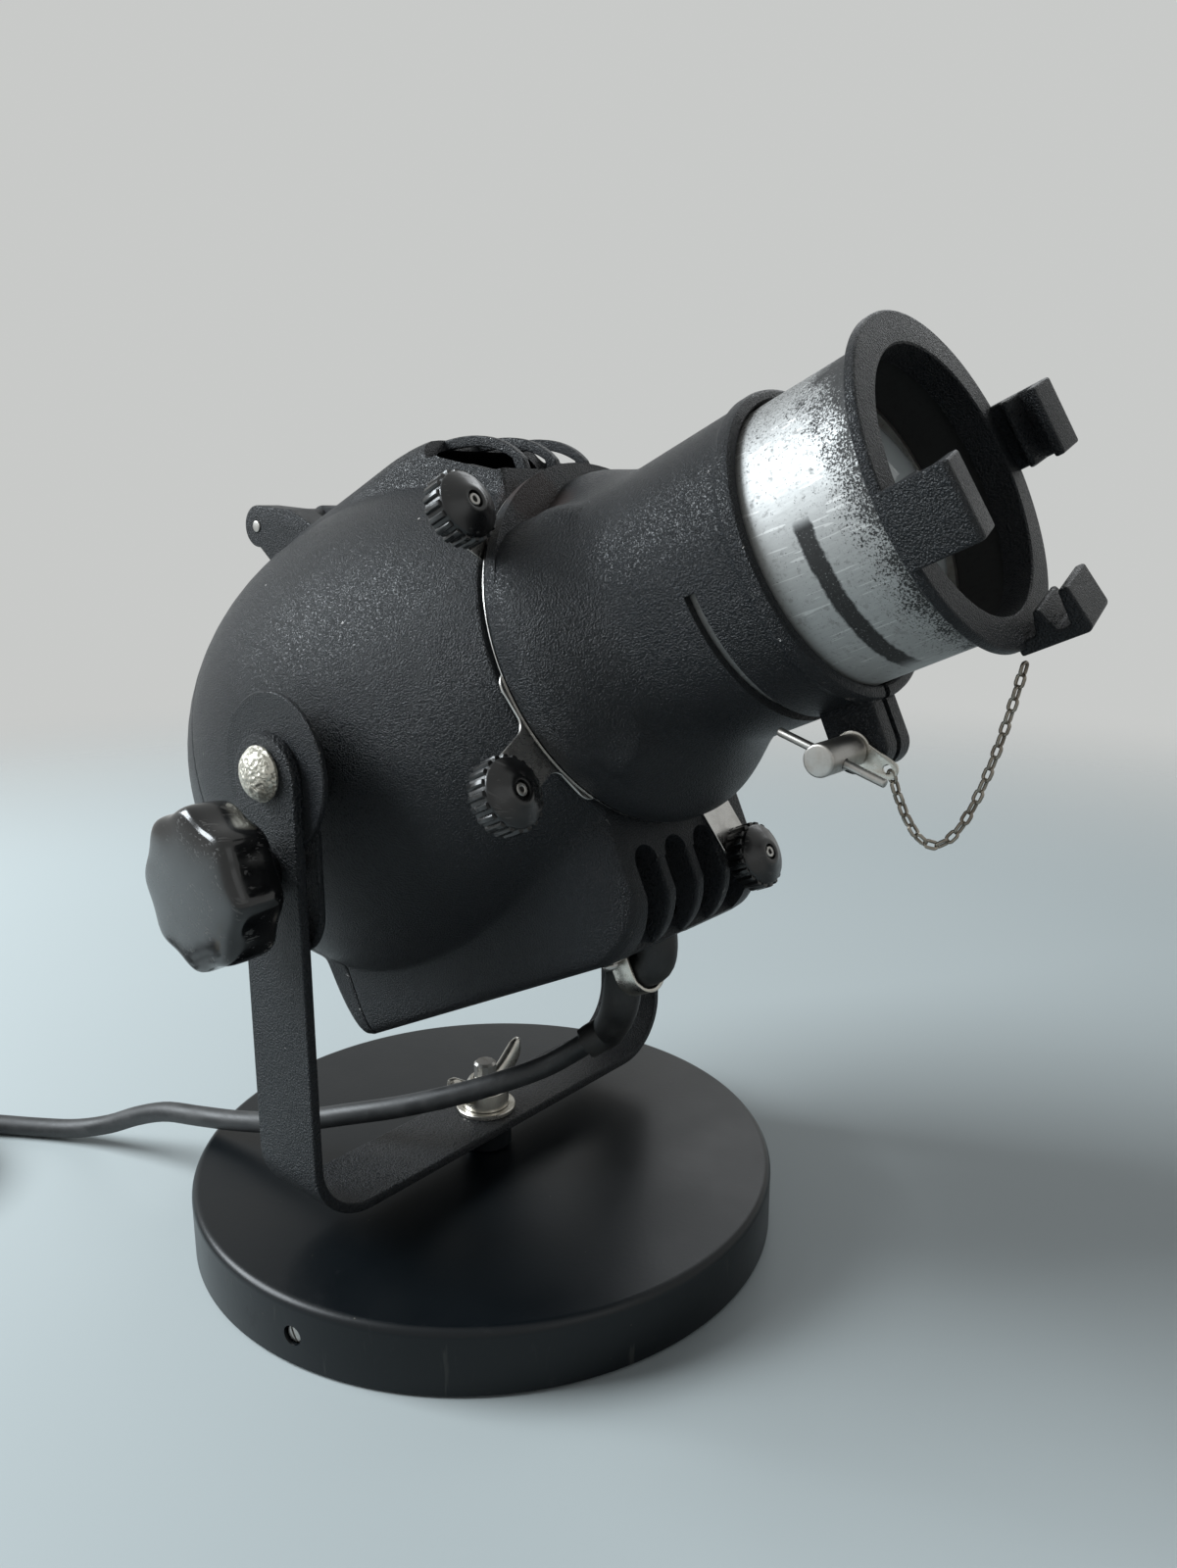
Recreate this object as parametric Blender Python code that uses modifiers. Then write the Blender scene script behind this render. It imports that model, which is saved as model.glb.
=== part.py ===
"""Theatre profile spotlight on a round table base.

Metres, +Z up. The origin is the centre of the base's underside. The tilt axis lies along Y, and the
lens points to +X and up. Head pieces are placed in the optical frame: X forward along the optical
axis from the foot of the tilt axis, Y across, Z up and square to both.
"""
import math

import bmesh
import bpy
from mathutils import Matrix, Vector
from mathutils.geometry import interpolate_bezier

MM = 0.001

# Clearances
SEAT_GAP = 0.3 * MM
RUNNING_GAP = 0.5 * MM

# Round table base
BASE_RADIUS = 125 * MM
BASE_HEIGHT = 27 * MM
BASE_SHEET = 1.6 * MM
BASE_EDGE_RADIUS = 3.5 * MM
COVER_LIFT = 0.8 * MM
FOOT_PAD_THICKNESS = 2.6 * MM
WEIGHT_HEIGHT = 20 * MM
WEIGHT_CLEARANCE = 1 * MM
BOLT_RADIUS = 5 * MM
BOLT_HEAD_RADIUS = 9 * MM
BOLT_HEAD_HEIGHT = 6 * MM
RIM_SCREW_ANGLE = math.radians(-79)
RIM_SCREW_HEIGHT = 13 * MM
RIM_SCREW_RADIUS = 3.6 * MM
RIM_SCREW_LENGTH = 10 * MM
SPACER_RADIUS = 11 * MM
SPACER_HEIGHT = 12 * MM

# Fork
FORK_CLEARANCE = 8 * MM
STRAP_WIDTH = 34 * MM
ARM_TOP_DROP = 3.5 * MM
STRAP_THICKNESS = 4 * MM
FORK_BEND_RADIUS = 26 * MM
PIVOT_HEIGHT = 212.5 * MM
PIVOT_BOLT_RADIUS = 4 * MM
PIVOT_DOME_RADIUS = 10 * MM
PIVOT_DOME_HEIGHT = 6 * MM
TILT = math.radians(24.9)

# Tilt lock
TILT_DISC_RADIUS = 28 * MM
TILT_DISC_THICKNESS = 2.4 * MM
TILT_BOSS_RADIUS = 15 * MM
TILT_WASHER_RADIUS = 17 * MM
STUD_DROP = 35 * MM
STUD_RADIUS = 3.8 * MM
CLAMP_PLATE_TOP = 19 * MM
CLAMP_PLATE_BOTTOM = 67.5 * MM
CLAMP_PLATE_WIDTH = 37 * MM
CLAMP_PLATE_THICKNESS = 2.6 * MM
CLAMP_HEEL = 7 * MM
KNOB_RADIUS = 29 * MM
KNOB_DEPTH = 21 * MM
KNOB_LOBES = 8
KNOB_LOBE_DEPTH = 0.09
KNOB_NECK_RADIUS = 9 * MM
KNOB_NECK_LENGTH = 12 * MM
STUD_SINK = 8 * MM

# Optical axis and lamp house
AXIS_RISE = 5 * MM
HOUSE_WIDEST = -29 * MM
HOUSE_HALF_WIDTH = 92 * MM
HOUSE_HALF_HEIGHT = 100 * MM
HOUSE_REAR_REACH = 118 * MM
HOUSE_WALL = 4 * MM
GATE_RADIUS = 67 * MM
HOUSE_FRONT = 84.7 * MM
COVER_PLANE = -72 * MM
COVER_WALL = 3 * MM
HUMP_HALF_WIDTH = 34 * MM
HUMP_HEIGHT = 99 * MM
HUMP_RIDGE = 28 * MM
HUMP_LIP = 66 * MM
HUMP_SLOT_START = 57.5 * MM
HUMP_SLOT_BOTTOM = 72 * MM
HUMP_SLOT_LEAN = math.radians(-4)
VENT_HALF_WIDTH = 46 * MM
VENT_FRONT_HALF_WIDTH = 34 * MM
VENT_DEPTH = 106 * MM
VENT_SLOPE = 0.032
VENT_REAR = -84 * MM
VENT_REAR_ROUND = 8 * MM
VENT_FRONT_ROUND = 23 * MM
VENT_FACE_DEPTH = 80 * MM
VENT_SLOTS = 4
VENT_PITCH = 17 * MM
HUMP_RIB = 4.4 * MM
VENT_FIN = 5 * MM
GILL_START = 69 * MM
GILL_LENGTH = 44 * MM
GILL_TOP = 70 * MM
HUMP_CORNER = 9
VENT_CORNER = 20
VENT_CORNER_ANGLE = math.radians(23)
VENT_CREASE_ANGLE = math.radians(30)
VENT_CREASE_LIMIT = math.radians(39)
CREASE_BLEND = 1.2 * MM

# Rear cover hinge
HINGE_PIN_X = -66 * MM
HINGE_PIN_Z = 114.6 * MM
HINGE_PIN_RADIUS = 2.5 * MM
HINGE_HALF_WIDTH = 24 * MM
HINGE_KNUCKLE_HALF_WIDTH = 11 * MM
HINGE_KNUCKLE_RADIUS = 7.5 * MM
HINGE_EAR_RADIUS = 9 * MM

# Lamp and reflector
REFLECTOR_FRONT = 40 * MM
REFLECTOR_RADIUS = 62 * MM
REFLECTOR_DEPTH = 92 * MM
REFLECTOR_SHEET = 1.4 * MM
REFLECTOR_NECK_RADIUS = 15 * MM
LAMP_RADIUS = 9 * MM
LAMP_LENGTH = 46 * MM
LAMP_HOLDER_RADIUS = 13 * MM
LAMP_HOLDER_LENGTH = 20 * MM
LAMP_BRACKET_THICKNESS = 2 * MM
LAMP_BRACKET_WIDTH = 26 * MM
LAMP_BRACKET_FOOT = 12 * MM

# Gate and shutters
GATE_GAP = 2.7 * MM
GATE_APERTURE_RADIUS = 36 * MM
GATE_PLATE_THICKNESS = 2 * MM
BLADE_THICKNESS = 0.8 * MM
BLADE_WIDTH = 52 * MM
BLADE_TAIL_WIDTH = 17 * MM
BLADE_REACH = 70 * MM
BLADE_SHOULDER = 40 * MM
SHUTTER_KNOB_RADIUS = 12.5 * MM
SHUTTER_KNOB_DEPTH = 8 * MM
SHUTTER_KNOB_CONE = 3.5 * MM
SHUTTER_KNOB_FLUTES = 16
# Name, angle about the optical axis, and how far the knob stands out past the flange
SHUTTERS = (
    ("upper_near", math.radians(141), 13.8 * MM),
    ("lower_near", math.radians(206.5), 28.5 * MM),
    ("lower_far", math.radians(287.4), 25 * MM),
    ("upper_far", math.radians(38), 34 * MM),
)

# Front barrel
BARREL_FLANGE = 6 * MM
BARREL_BORE = 47 * MM
BARREL_RADIUS = 50 * MM
BARREL_LIP_RADIUS = 51.2 * MM
BARREL_FRONT = 176.8 * MM
SHOULDER_END = 130 * MM
BARREL_STEPS = 36
BLISTER_RADIUS = 10 * MM
CLAMP_SLOT_X = 153 * MM
CLAMP_SLOT_WIDTH = 4 * MM
CLAMP_SLOT_HALF_ANGLE = math.radians(84)
EAR_DROP = 71 * MM
EAR_THICKNESS = 7 * MM
EAR_GAP = 3 * MM
EAR_LENGTH = 20 * MM
CLAMP_SCREW_X = 164 * MM
CLAMP_SCREW_DROP = 63 * MM
CLAMP_SCREW_RADIUS = 2.8 * MM
CLAMP_HEAD_RADIUS = 5.2 * MM
CLAMP_HEAD_LENGTH = 21 * MM
TOMMY_RADIUS = 1.4 * MM
TOMMY_LENGTH = 38 * MM
TOMMY_SLOPE = math.radians(42)
TAG_LENGTH = 12 * MM
TAG_THICKNESS = 1 * MM
TAG_TIP_RADIUS = 3.4 * MM

# Lens tube, holder and lens
TUBE_WALL = 2 * MM
TUBE_REAR = 120 * MM
HOLDER_REAR = 216.2 * MM
HOLDER_THICKNESS = 3.6 * MM
HOLDER_CHAMFER = 0.8 * MM
HOLDER_RADIUS = 52.2 * MM
HOLDER_HOLE = 41.8 * MM
HOLDER_SPIGOT = 6 * MM
LUG_ANGLES = (math.radians(17), math.radians(197), math.radians(287))
LUG_WIDTH = 22 * MM
LUG_REACH = 18.7 * MM
LUG_THICKNESS = 4.5 * MM
LUG_CHANNEL = 3.5 * MM
LUG_TOOTH_BASE = 6 * MM
LUG_TOOTH_HEIGHT = 7 * MM
LUG_HOOK_START = 13.5 * MM
LUG_HOOK_HEIGHT = 10 * MM
LENS_THICKNESS = 4 * MM
LENS_BULGE = 13 * MM
LENS_REAR = 184 * MM
RETAINER_WIDTH = 4 * MM

# Safety chain
CHAIN_LINKS = 15
CHAIN_WIRE_RADIUS = 0.55 * MM
CHAIN_SAG = 38 * MM
CHAIN_END_X = 216 * MM
CHAIN_END_ANGLE = math.radians(279.6)

# Cable
CABLE_RADIUS = 4.5 * MM
SLEEVE_RADIUS = 7.5 * MM
SLEEVE_END_RADIUS = 6.6 * MM
SLEEVE_HOLE_RADIUS = 10.6 * MM
SADDLE_X = 42 * MM
SADDLE_WIDTH = 9 * MM
SADDLE_SHEET = 1.5 * MM
SADDLE_CLEARANCE = 0.8 * MM
COIL_TURNS = 3.25
COIL_MID_RADIUS = 51 * MM
COIL_PITCH = 9.8 * MM
TIE_THICKNESS = 1.2 * MM
TIE_WIDTH = 14 * MM
PLUG_RADIUS = 17 * MM
PLUG_LENGTH = 50 * MM
PIN_RADIUS = 2.4 * MM
PIN_LENGTH = 19 * MM

# Worked out from the sizes above
PIVOT_HALF_SPAN = HOUSE_HALF_WIDTH + FORK_CLEARANCE
FORK_HALF_WIDTH = PIVOT_HALF_SPAN + STRAP_THICKNESS
CROSSBAR_BOTTOM = BASE_HEIGHT + SPACER_HEIGHT + 2 * SEAT_GAP
CROSSBAR_TOP = CROSSBAR_BOTTOM + STRAP_THICKNESS
WASHER_THICKNESS = 1.8 * MM
FRONT_PLANE = HOUSE_FRONT + GATE_GAP
TUBE_RADIUS = BARREL_BORE - RUNNING_GAP
HOLDER_FRONT = HOLDER_REAR + HOLDER_THICKNESS
FRONT_REACH_SIDE = (HOUSE_FRONT - HOUSE_WIDEST) / math.sqrt(1 - (GATE_RADIUS / HOUSE_HALF_WIDTH) ** 2)
FRONT_REACH_RISE = (HOUSE_FRONT - HOUSE_WIDEST) / math.sqrt(1 - (GATE_RADIUS / HOUSE_HALF_HEIGHT) ** 2)

PARTS = "theatre_profile_spotlight"
CUTTERS = "cutters"

MATERIALS = {
    "textured_black": ((0.020, 0.021, 0.023, 1), 0.55, 0.0),
    "satin_black": ((0.012, 0.013, 0.015, 1), 0.38, 0.0),
    "bakelite": ((0.010, 0.010, 0.011, 1), 0.18, 0.0),
    "nickel": ((0.62, 0.59, 0.54, 1), 0.32, 1.0),
    "steel": ((0.50, 0.49, 0.47, 1), 0.38, 1.0),
    "aluminium": ((0.70, 0.70, 0.69, 1), 0.42, 1.0),
    "cast_iron": ((0.10, 0.10, 0.10, 1), 0.7, 0.6),
    "rubber": ((0.018, 0.019, 0.020, 1), 0.6, 0.0),
    "glass": ((0.82, 0.83, 0.80, 1), 0.08, 0.0),
    "ceramic": ((0.80, 0.78, 0.72, 1), 0.5, 0.0),
    "felt": ((0.03, 0.03, 0.03, 1), 0.95, 0.0),
    "brass": ((0.65, 0.50, 0.22, 1), 0.35, 1.0),
}


def clear_scene():
    for obj in list(bpy.data.objects):
        bpy.data.objects.remove(obj, do_unlink=True)


def collection(name):
    group = bpy.data.collections.get(name)
    if group is None:
        group = bpy.data.collections.new(name)
        bpy.context.scene.collection.children.link(group)
    return group


def material(name, finish):
    colour, roughness, metallic = MATERIALS[finish]
    made = bpy.data.materials.new(name)
    made.use_nodes = True
    shader = made.node_tree.nodes["Principled BSDF"]
    shader.inputs["Base Color"].default_value = colour
    shader.inputs["Roughness"].default_value = roughness
    shader.inputs["Metallic"].default_value = metallic
    made.diffuse_color = colour
    return made


def place(obj, parent, location=(0, 0, 0), rotation=(0, 0, 0)):
    obj.parent = parent
    obj.location = location
    obj.rotation_euler = rotation
    return obj


def as_part(obj, name, finish):
    """Names a finished piece, gives it its material and puts it with the parts."""
    obj.name = name
    obj.data.name = name
    obj.data.materials.clear()
    obj.data.materials.append(material(name, finish))
    for group in list(obj.users_collection):
        group.objects.unlink(obj)
    collection(PARTS).objects.link(obj)
    if obj.type == "MESH":
        obj.data.shade_smooth()
        obj.data.set_sharp_from_angle(angle=math.radians(35))
    return obj


def as_cutter(obj):
    for group in list(obj.users_collection):
        group.objects.unlink(obj)
    collection(CUTTERS).objects.link(obj)
    obj.hide_render = True
    obj.display_type = "WIRE"
    return obj


def mesh_object(mesh):
    obj = bpy.data.objects.new(mesh.name, mesh)
    bpy.context.scene.collection.objects.link(obj)
    return obj


def from_bmesh(shape, name="shape"):
    mesh = bpy.data.meshes.new(name)
    shape.to_mesh(mesh)
    shape.free()
    return mesh_object(mesh)


def combine(obj, other, operation):
    """Adds an exact Boolean of another object, which becomes a cutter."""
    as_cutter(other)
    step = obj.modifiers.new(operation.lower(), "BOOLEAN")
    step.operation = operation
    step.solver = "EXACT"
    step.object = other
    return obj


def cut(obj, *others):
    for other in others:
        combine(obj, other, "DIFFERENCE")
    return obj


def join(obj, *others):
    for other in others:
        combine(obj, other, "UNION")
    return obj


def box(size, centre=(0, 0, 0), bevel=0.0, segments=2):
    """A box with its place in its mesh."""
    shape = bmesh.new()
    bmesh.ops.create_cube(shape, size=1, matrix=Matrix.Translation(centre) @ Matrix.Diagonal((*size, 1)))
    obj = from_bmesh(shape, "box")
    if bevel:
        rounding(obj, bevel, segments)
    return obj


def rounding(obj, width, segments=2, angle=math.radians(35)):
    step = obj.modifiers.new("rounding", "BEVEL")
    step.width = width
    step.segments = segments
    step.limit_method = "ANGLE"
    step.angle_limit = angle
    return obj


def rod(radius, start, end, sides=20):
    """A cylinder between two points of its parent's frame."""
    start, end = Vector(start), Vector(end)
    turn = (end - start).to_track_quat("Z", "Y").to_matrix().to_4x4()
    shape = bmesh.new()
    bmesh.ops.create_cone(
        shape,
        cap_ends=True,
        segments=sides,
        radius1=radius,
        radius2=radius,
        depth=(end - start).length,
        matrix=Matrix.Translation((start + end) / 2) @ turn,
    )
    return from_bmesh(shape, "rod")


def arc(centre, radius, start, end, steps):
    """Points of an arc in a flat outline, angles in degrees."""
    points = []
    for i in range(steps + 1):
        angle = math.radians(start + (end - start) * i / steps)
        points.append((centre[0] + radius * math.cos(angle), centre[1] + radius * math.sin(angle)))
    return points


def turned(profile, steps=48):
    """Turns (radius, height) points round the local Z axis, by a Screw on their profile."""
    hollow = min(radius for radius, height in profile) > 0
    area = 0
    for (r0, z0), (r1, z1) in zip(profile, profile[1:] + profile[:1]):
        area += r0 * z1 - r1 * z0
    if area > 0:
        profile = profile[::-1]
    mesh = bpy.data.meshes.new("profile")
    edges = [(i, i + 1) for i in range(len(profile) - 1)]
    if hollow:
        edges.append((len(profile) - 1, 0))
    mesh.from_pydata([(radius, 0, height) for radius, height in profile], edges, [])
    obj = mesh_object(mesh)
    step = obj.modifiers.new("turned", "SCREW")
    step.axis = "Z"
    step.steps = steps
    step.render_steps = steps
    step.use_merge_vertices = True
    step.merge_threshold = 0.00001
    step.use_smooth_shade = True
    return obj


def as_mesh(curve_object):
    """Turns a curve object into a mesh with its caps welded on."""
    bpy.context.view_layer.update()
    evaluated = curve_object.evaluated_get(bpy.context.evaluated_depsgraph_get())
    mesh = bpy.data.meshes.new_from_object(evaluated)
    shape = bmesh.new()
    shape.from_mesh(mesh)
    bmesh.ops.remove_doubles(shape, verts=shape.verts, dist=0.000002)
    shape.to_mesh(mesh)
    shape.free()
    obj = mesh_object(mesh)
    obj.matrix_world = curve_object.matrix_world
    bpy.data.objects.remove(curve_object, do_unlink=True)
    return obj


def plate(outline, thickness, holes=()):
    """A flat outline in local XY, thickness along Z about its middle."""
    curve = bpy.data.curves.new("outline", "CURVE")
    curve.dimensions = "2D"
    curve.fill_mode = "BOTH"
    curve.extrude = thickness / 2
    for points in (outline, *holes):
        spline = curve.splines.new("POLY")
        spline.points.add(len(points) - 1)
        for point, (x, y) in zip(spline.points, points):
            point.co = (x, y, 0, 1)
        spline.use_cyclic_u = True
    obj = bpy.data.objects.new("outline", curve)
    bpy.context.scene.collection.objects.link(obj)
    return as_mesh(obj)


def tube(points, radius, resolution=2, radii=None):
    """A round tube through points, with filled caps."""
    curve = bpy.data.curves.new("tube", "CURVE")
    curve.dimensions = "3D"
    curve.bevel_depth = radius
    curve.bevel_resolution = resolution
    curve.use_fill_caps = True
    curve.twist_mode = "MINIMUM"
    spline = curve.splines.new("POLY")
    spline.points.add(len(points) - 1)
    for i, point in enumerate(points):
        spline.points[i].co = (*point, 1)
        if radii:
            spline.points[i].radius = radii[i] / radius
    obj = bpy.data.objects.new("tube", curve)
    bpy.context.scene.collection.objects.link(obj)
    return obj


def loft(rings, cap_start=True, cap_end=True):
    """Skins rings of as many points each into one closed form."""
    shape = bmesh.new()
    layers = [[shape.verts.new(point) for point in ring] for ring in rings]
    for first, second in zip(layers, layers[1:]):
        for i in range(len(first)):
            j = (i + 1) % len(first)
            shape.faces.new((first[i], first[j], second[j], second[i]))
    if cap_start:
        shape.faces.new(layers[0][::-1])
    if cap_end:
        shape.faces.new(layers[-1])
    bmesh.ops.recalc_face_normals(shape, faces=shape.faces)
    return from_bmesh(shape, "loft")


def smooth_route(points, spacing):
    """Points a spacing apart along a smooth curve through a route's own points."""
    route = [Vector(point) for point in points]
    fine = []
    for i in range(len(route) - 1):
        before = route[max(i - 1, 0)]
        after = route[min(i + 2, len(route) - 1)]
        start, end = route[i], route[i + 1]
        reach = (end - start).length / 3
        leave = start + (end - before).normalized() * reach
        arrive = end - (after - start).normalized() * reach
        fine += interpolate_bezier(start, leave, arrive, end, 24)[:-1]
    fine.append(route[-1])
    lengths = [0]
    for a, b in zip(fine, fine[1:]):
        lengths.append(lengths[-1] + (b - a).length)
    count = max(2, round(lengths[-1] / spacing))
    even = []
    i = 0
    for step in range(count + 1):
        target = lengths[-1] * step / count
        while i < len(fine) - 2 and lengths[i + 1] < target:
            i += 1
        share = (target - lengths[i]) / max(lengths[i + 1] - lengths[i], 1e-9)
        even.append(fine[i].lerp(fine[i + 1], min(max(share, 0), 1)))
    return even


def route_length(points):
    return sum((b - a).length for a, b in zip(points, points[1:]))


# Frames that the pieces hang from


def empty(name, parent=None, location=(0, 0, 0), rotation=(0, 0, 0)):
    obj = bpy.data.objects.new(name, None)
    obj.empty_display_size = 20 * MM
    collection(PARTS).objects.link(obj)
    return place(obj, parent, location, rotation)


def head_matrix():
    """The optical frame at rest, in world terms."""
    turn = Matrix.Rotation(-TILT, 4, "Y")
    return Matrix.Translation((0, 0, PIVOT_HEIGHT)) @ turn @ Matrix.Translation((0, 0, AXIS_RISE))


def in_world(point):
    return head_matrix() @ Vector(point)


ALONG_X = (0, math.pi / 2, 0)
ALONG_Y = (-math.pi / 2, 0, 0)
OUTLINE_XZ = (math.pi / 2, 0, 0)
OUTLINE_YZ = (math.pi / 2, 0, math.pi / 2)


# Base


def make_base(world):
    inner = BASE_RADIUS - BASE_SHEET
    top = BASE_HEIGHT
    edge = arc((BASE_RADIUS - BASE_EDGE_RADIUS, top - BASE_EDGE_RADIUS), BASE_EDGE_RADIUS, 0, 90, 3)
    inner_edge = BASE_EDGE_RADIUS - BASE_SHEET
    bend = arc((inner - inner_edge, top - BASE_SHEET - inner_edge), inner_edge, 90, 0, 1)
    bore = BOLT_RADIUS + SEAT_GAP
    profile = [(inner, COVER_LIFT), (BASE_RADIUS, COVER_LIFT), *edge, (bore, top), (bore, top - BASE_SHEET), *bend]
    cover = as_part(place(turned(profile, 40), world), "base_cover", "satin_black")
    outward = Vector((math.cos(RIM_SCREW_ANGLE), math.sin(RIM_SCREW_ANGLE), 0))
    height = Vector((0, 0, RIM_SCREW_HEIGHT))
    hole = RIM_SCREW_RADIUS + SEAT_GAP
    cut(cover, rod(hole, outward * (BASE_RADIUS - 6 * MM) + height, outward * (BASE_RADIUS + 6 * MM) + height))

    weight_bottom = FOOT_PAD_THICKNESS + SEAT_GAP
    weight_top = weight_bottom + WEIGHT_HEIGHT
    weight_radius = inner - WEIGHT_CLEARANCE
    well = BOLT_HEAD_RADIUS + SEAT_GAP
    well_top = weight_bottom + BOLT_HEAD_HEIGHT + SEAT_GAP
    profile = [
        (well, weight_bottom),
        (weight_radius, weight_bottom),
        (weight_radius, weight_top),
        (bore, weight_top),
        (bore, well_top),
        (well, well_top),
    ]
    weight = as_part(place(turned(profile, 24), world), "base_weight", "cast_iron")
    screw_start = weight_radius - RIM_SCREW_LENGTH
    reach = outward * (screw_start - SEAT_GAP) + height
    cut(weight, rod(hole, reach, outward * (BASE_RADIUS + 6 * MM) + height))
    screw_end = screw_start + RIM_SCREW_LENGTH
    screw = rod(RIM_SCREW_RADIUS, outward * screw_start + height, outward * screw_end + height)
    as_part(place(screw, world), "rim_screw", "steel")
    slot = box((3 * MM, 2 * RIM_SCREW_RADIUS + MM, 1.2 * MM))
    slot.matrix_world = Matrix.Translation(outward * screw_end + height) @ Matrix.Rotation(RIM_SCREW_ANGLE, 4, "Z")
    cut(screw, slot)

    pad_radius = inner - SEAT_GAP
    pad = turned([(0, 0), (pad_radius, 0), (pad_radius, FOOT_PAD_THICKNESS), (0, FOOT_PAD_THICKNESS)], 40)
    as_part(place(pad, world), "foot_pad", "felt")

    head_bottom = weight_bottom
    head_top = head_bottom + BOLT_HEAD_HEIGHT
    bolt_top = CROSSBAR_TOP + 22 * MM
    profile = [
        (0, head_bottom),
        (BOLT_HEAD_RADIUS, head_bottom),
        (BOLT_HEAD_RADIUS, head_top),
        (BOLT_RADIUS, head_top),
        (BOLT_RADIUS, bolt_top - MM),
        (BOLT_RADIUS - MM, bolt_top),
        (0, bolt_top),
    ]
    as_part(place(turned(profile, 12), world), "base_bolt", "steel")
    low = BASE_HEIGHT + SEAT_GAP
    high = low + SPACER_HEIGHT
    spacer = turned([(bore, low), (SPACER_RADIUS, low), (SPACER_RADIUS, high), (bore, high)], 16)
    as_part(place(spacer, world), "fork_spacer", "satin_black")


def make_wing_nut(world):
    low = CROSSBAR_TOP + SEAT_GAP
    high = low + WASHER_THICKNESS
    bore = BOLT_RADIUS + SEAT_GAP
    washer = turned([(bore, low), (13 * MM, low), (13 * MM, high), (bore, high)], 16)
    as_part(place(washer, world), "bolt_washer", "nickel")
    foot = high + SEAT_GAP
    hub = [(bore, foot), (10 * MM, foot), (9 * MM, foot + 7 * MM), (7 * MM, foot + 12 * MM), (bore, foot + 12 * MM)]
    nut = as_part(place(turned(hub, 16), world), "wing_nut", "nickel")
    for side in (1, -1):
        tip = (side * 20.5 * MM, 18.5 * MM)
        root = side * 6.6 * MM
        start, end = (-60, 150) if side > 0 else (240, 30)
        outline = [(root, 1.5 * MM), (side * 9.5 * MM, 1.5 * MM)]
        outline += arc(tip, 5 * MM, start, end, 8)
        outline += [(root, 11 * MM)]
        wing = rounding(plate(outline, 3.4 * MM), 0.8 * MM, 1)
        place(wing, world, (0, 0, foot), (math.pi / 2, 0, math.radians(98)))
        join(nut, wing)


# Fork and tilt lock


def fork_path(offset):
    """Half of the U, from its lower bend to the arm's top, moved in by an offset."""
    bend = FORK_BEND_RADIUS
    centre = (FORK_HALF_WIDTH - bend, CROSSBAR_BOTTOM + bend)
    return [*arc(centre, bend - offset, 270, 360, 5), (FORK_HALF_WIDTH - offset, PIVOT_HEIGHT + STRAP_WIDTH)]


def make_fork(pan):
    outer = fork_path(0)
    inner = fork_path(STRAP_THICKNESS)
    left = [(-y, z) for y, z in outer[::-1]]
    left_inner = [(-y, z) for y, z in inner]
    outline = left + outer + inner[::-1] + left_inner
    fork = as_part(plate(outline, STRAP_WIDTH), "fork", "textured_black")
    place(fork, pan, rotation=OUTLINE_YZ)
    half = STRAP_WIDTH / 2
    top = PIVOT_HEIGHT - ARM_TOP_DROP
    round_top = arc((0, top), half + 0.3 * MM, 0, 180, 10)
    sides = [(-half - MM, 0), (half + MM, 0), (half + MM, top), *round_top, (-half - MM, top)]
    side_view = plate(sides, 3 * FORK_HALF_WIDTH)
    combine(fork, place(side_view, pan, rotation=OUTLINE_XZ), "INTERSECT")
    reach = 2 * FORK_HALF_WIDTH
    pivot_hole = rod(PIVOT_BOLT_RADIUS + SEAT_GAP, (0, -reach, PIVOT_HEIGHT), (0, reach, PIVOT_HEIGHT))
    stud_z = PIVOT_HEIGHT - STUD_DROP
    stud_hole = rod(STUD_RADIUS + SEAT_GAP, (0, -reach, stud_z), (0, -50 * MM, stud_z))
    bolt_hole = rod(BOLT_RADIUS + SEAT_GAP, (0, 0, 0), (0, 0, 2 * CROSSBAR_TOP))
    for hole in (pivot_hole, stud_hole, bolt_hole):
        cut(fork, place(hole, pan))

    for name, side in (("near", -1), ("far", 1)):
        face = FORK_HALF_WIDTH + SEAT_GAP
        dome = [(0, face), (PIVOT_DOME_RADIUS, face), (PIVOT_DOME_RADIUS, face + 1.4 * MM)]
        for i in range(1, 5):
            angle = math.radians(90 * i / 4)
            rise = face + 1.4 * MM + (PIVOT_DOME_HEIGHT - 1.4 * MM) * math.sin(angle)
            dome.append((PIVOT_DOME_RADIUS * math.cos(angle) if i < 4 else 0, rise))
        shank_end = PIVOT_HALF_SPAN - 13 * MM
        profile = [(0, shank_end), (PIVOT_BOLT_RADIUS, shank_end), (PIVOT_BOLT_RADIUS, face), *dome[1:]]
        bolt = turned(profile, 16)
        turn = (math.pi / 2, 0, 0) if side < 0 else (-math.pi / 2, 0, 0)
        as_part(place(bolt, pan, (0, 0, PIVOT_HEIGHT), turn), "pivot_bolt_" + name, "nickel")


def lobed_ring(radius, depth, height, count=4 * KNOB_LOBES):
    ring = []
    for i in range(count):
        angle = 2 * math.pi * i / count
        scale = 1 - depth * (0.5 - 0.5 * math.cos(KNOB_LOBES * angle)) ** 0.8
        ring.append((radius * scale * math.cos(angle), radius * scale * math.sin(angle), height))
    return ring


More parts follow.
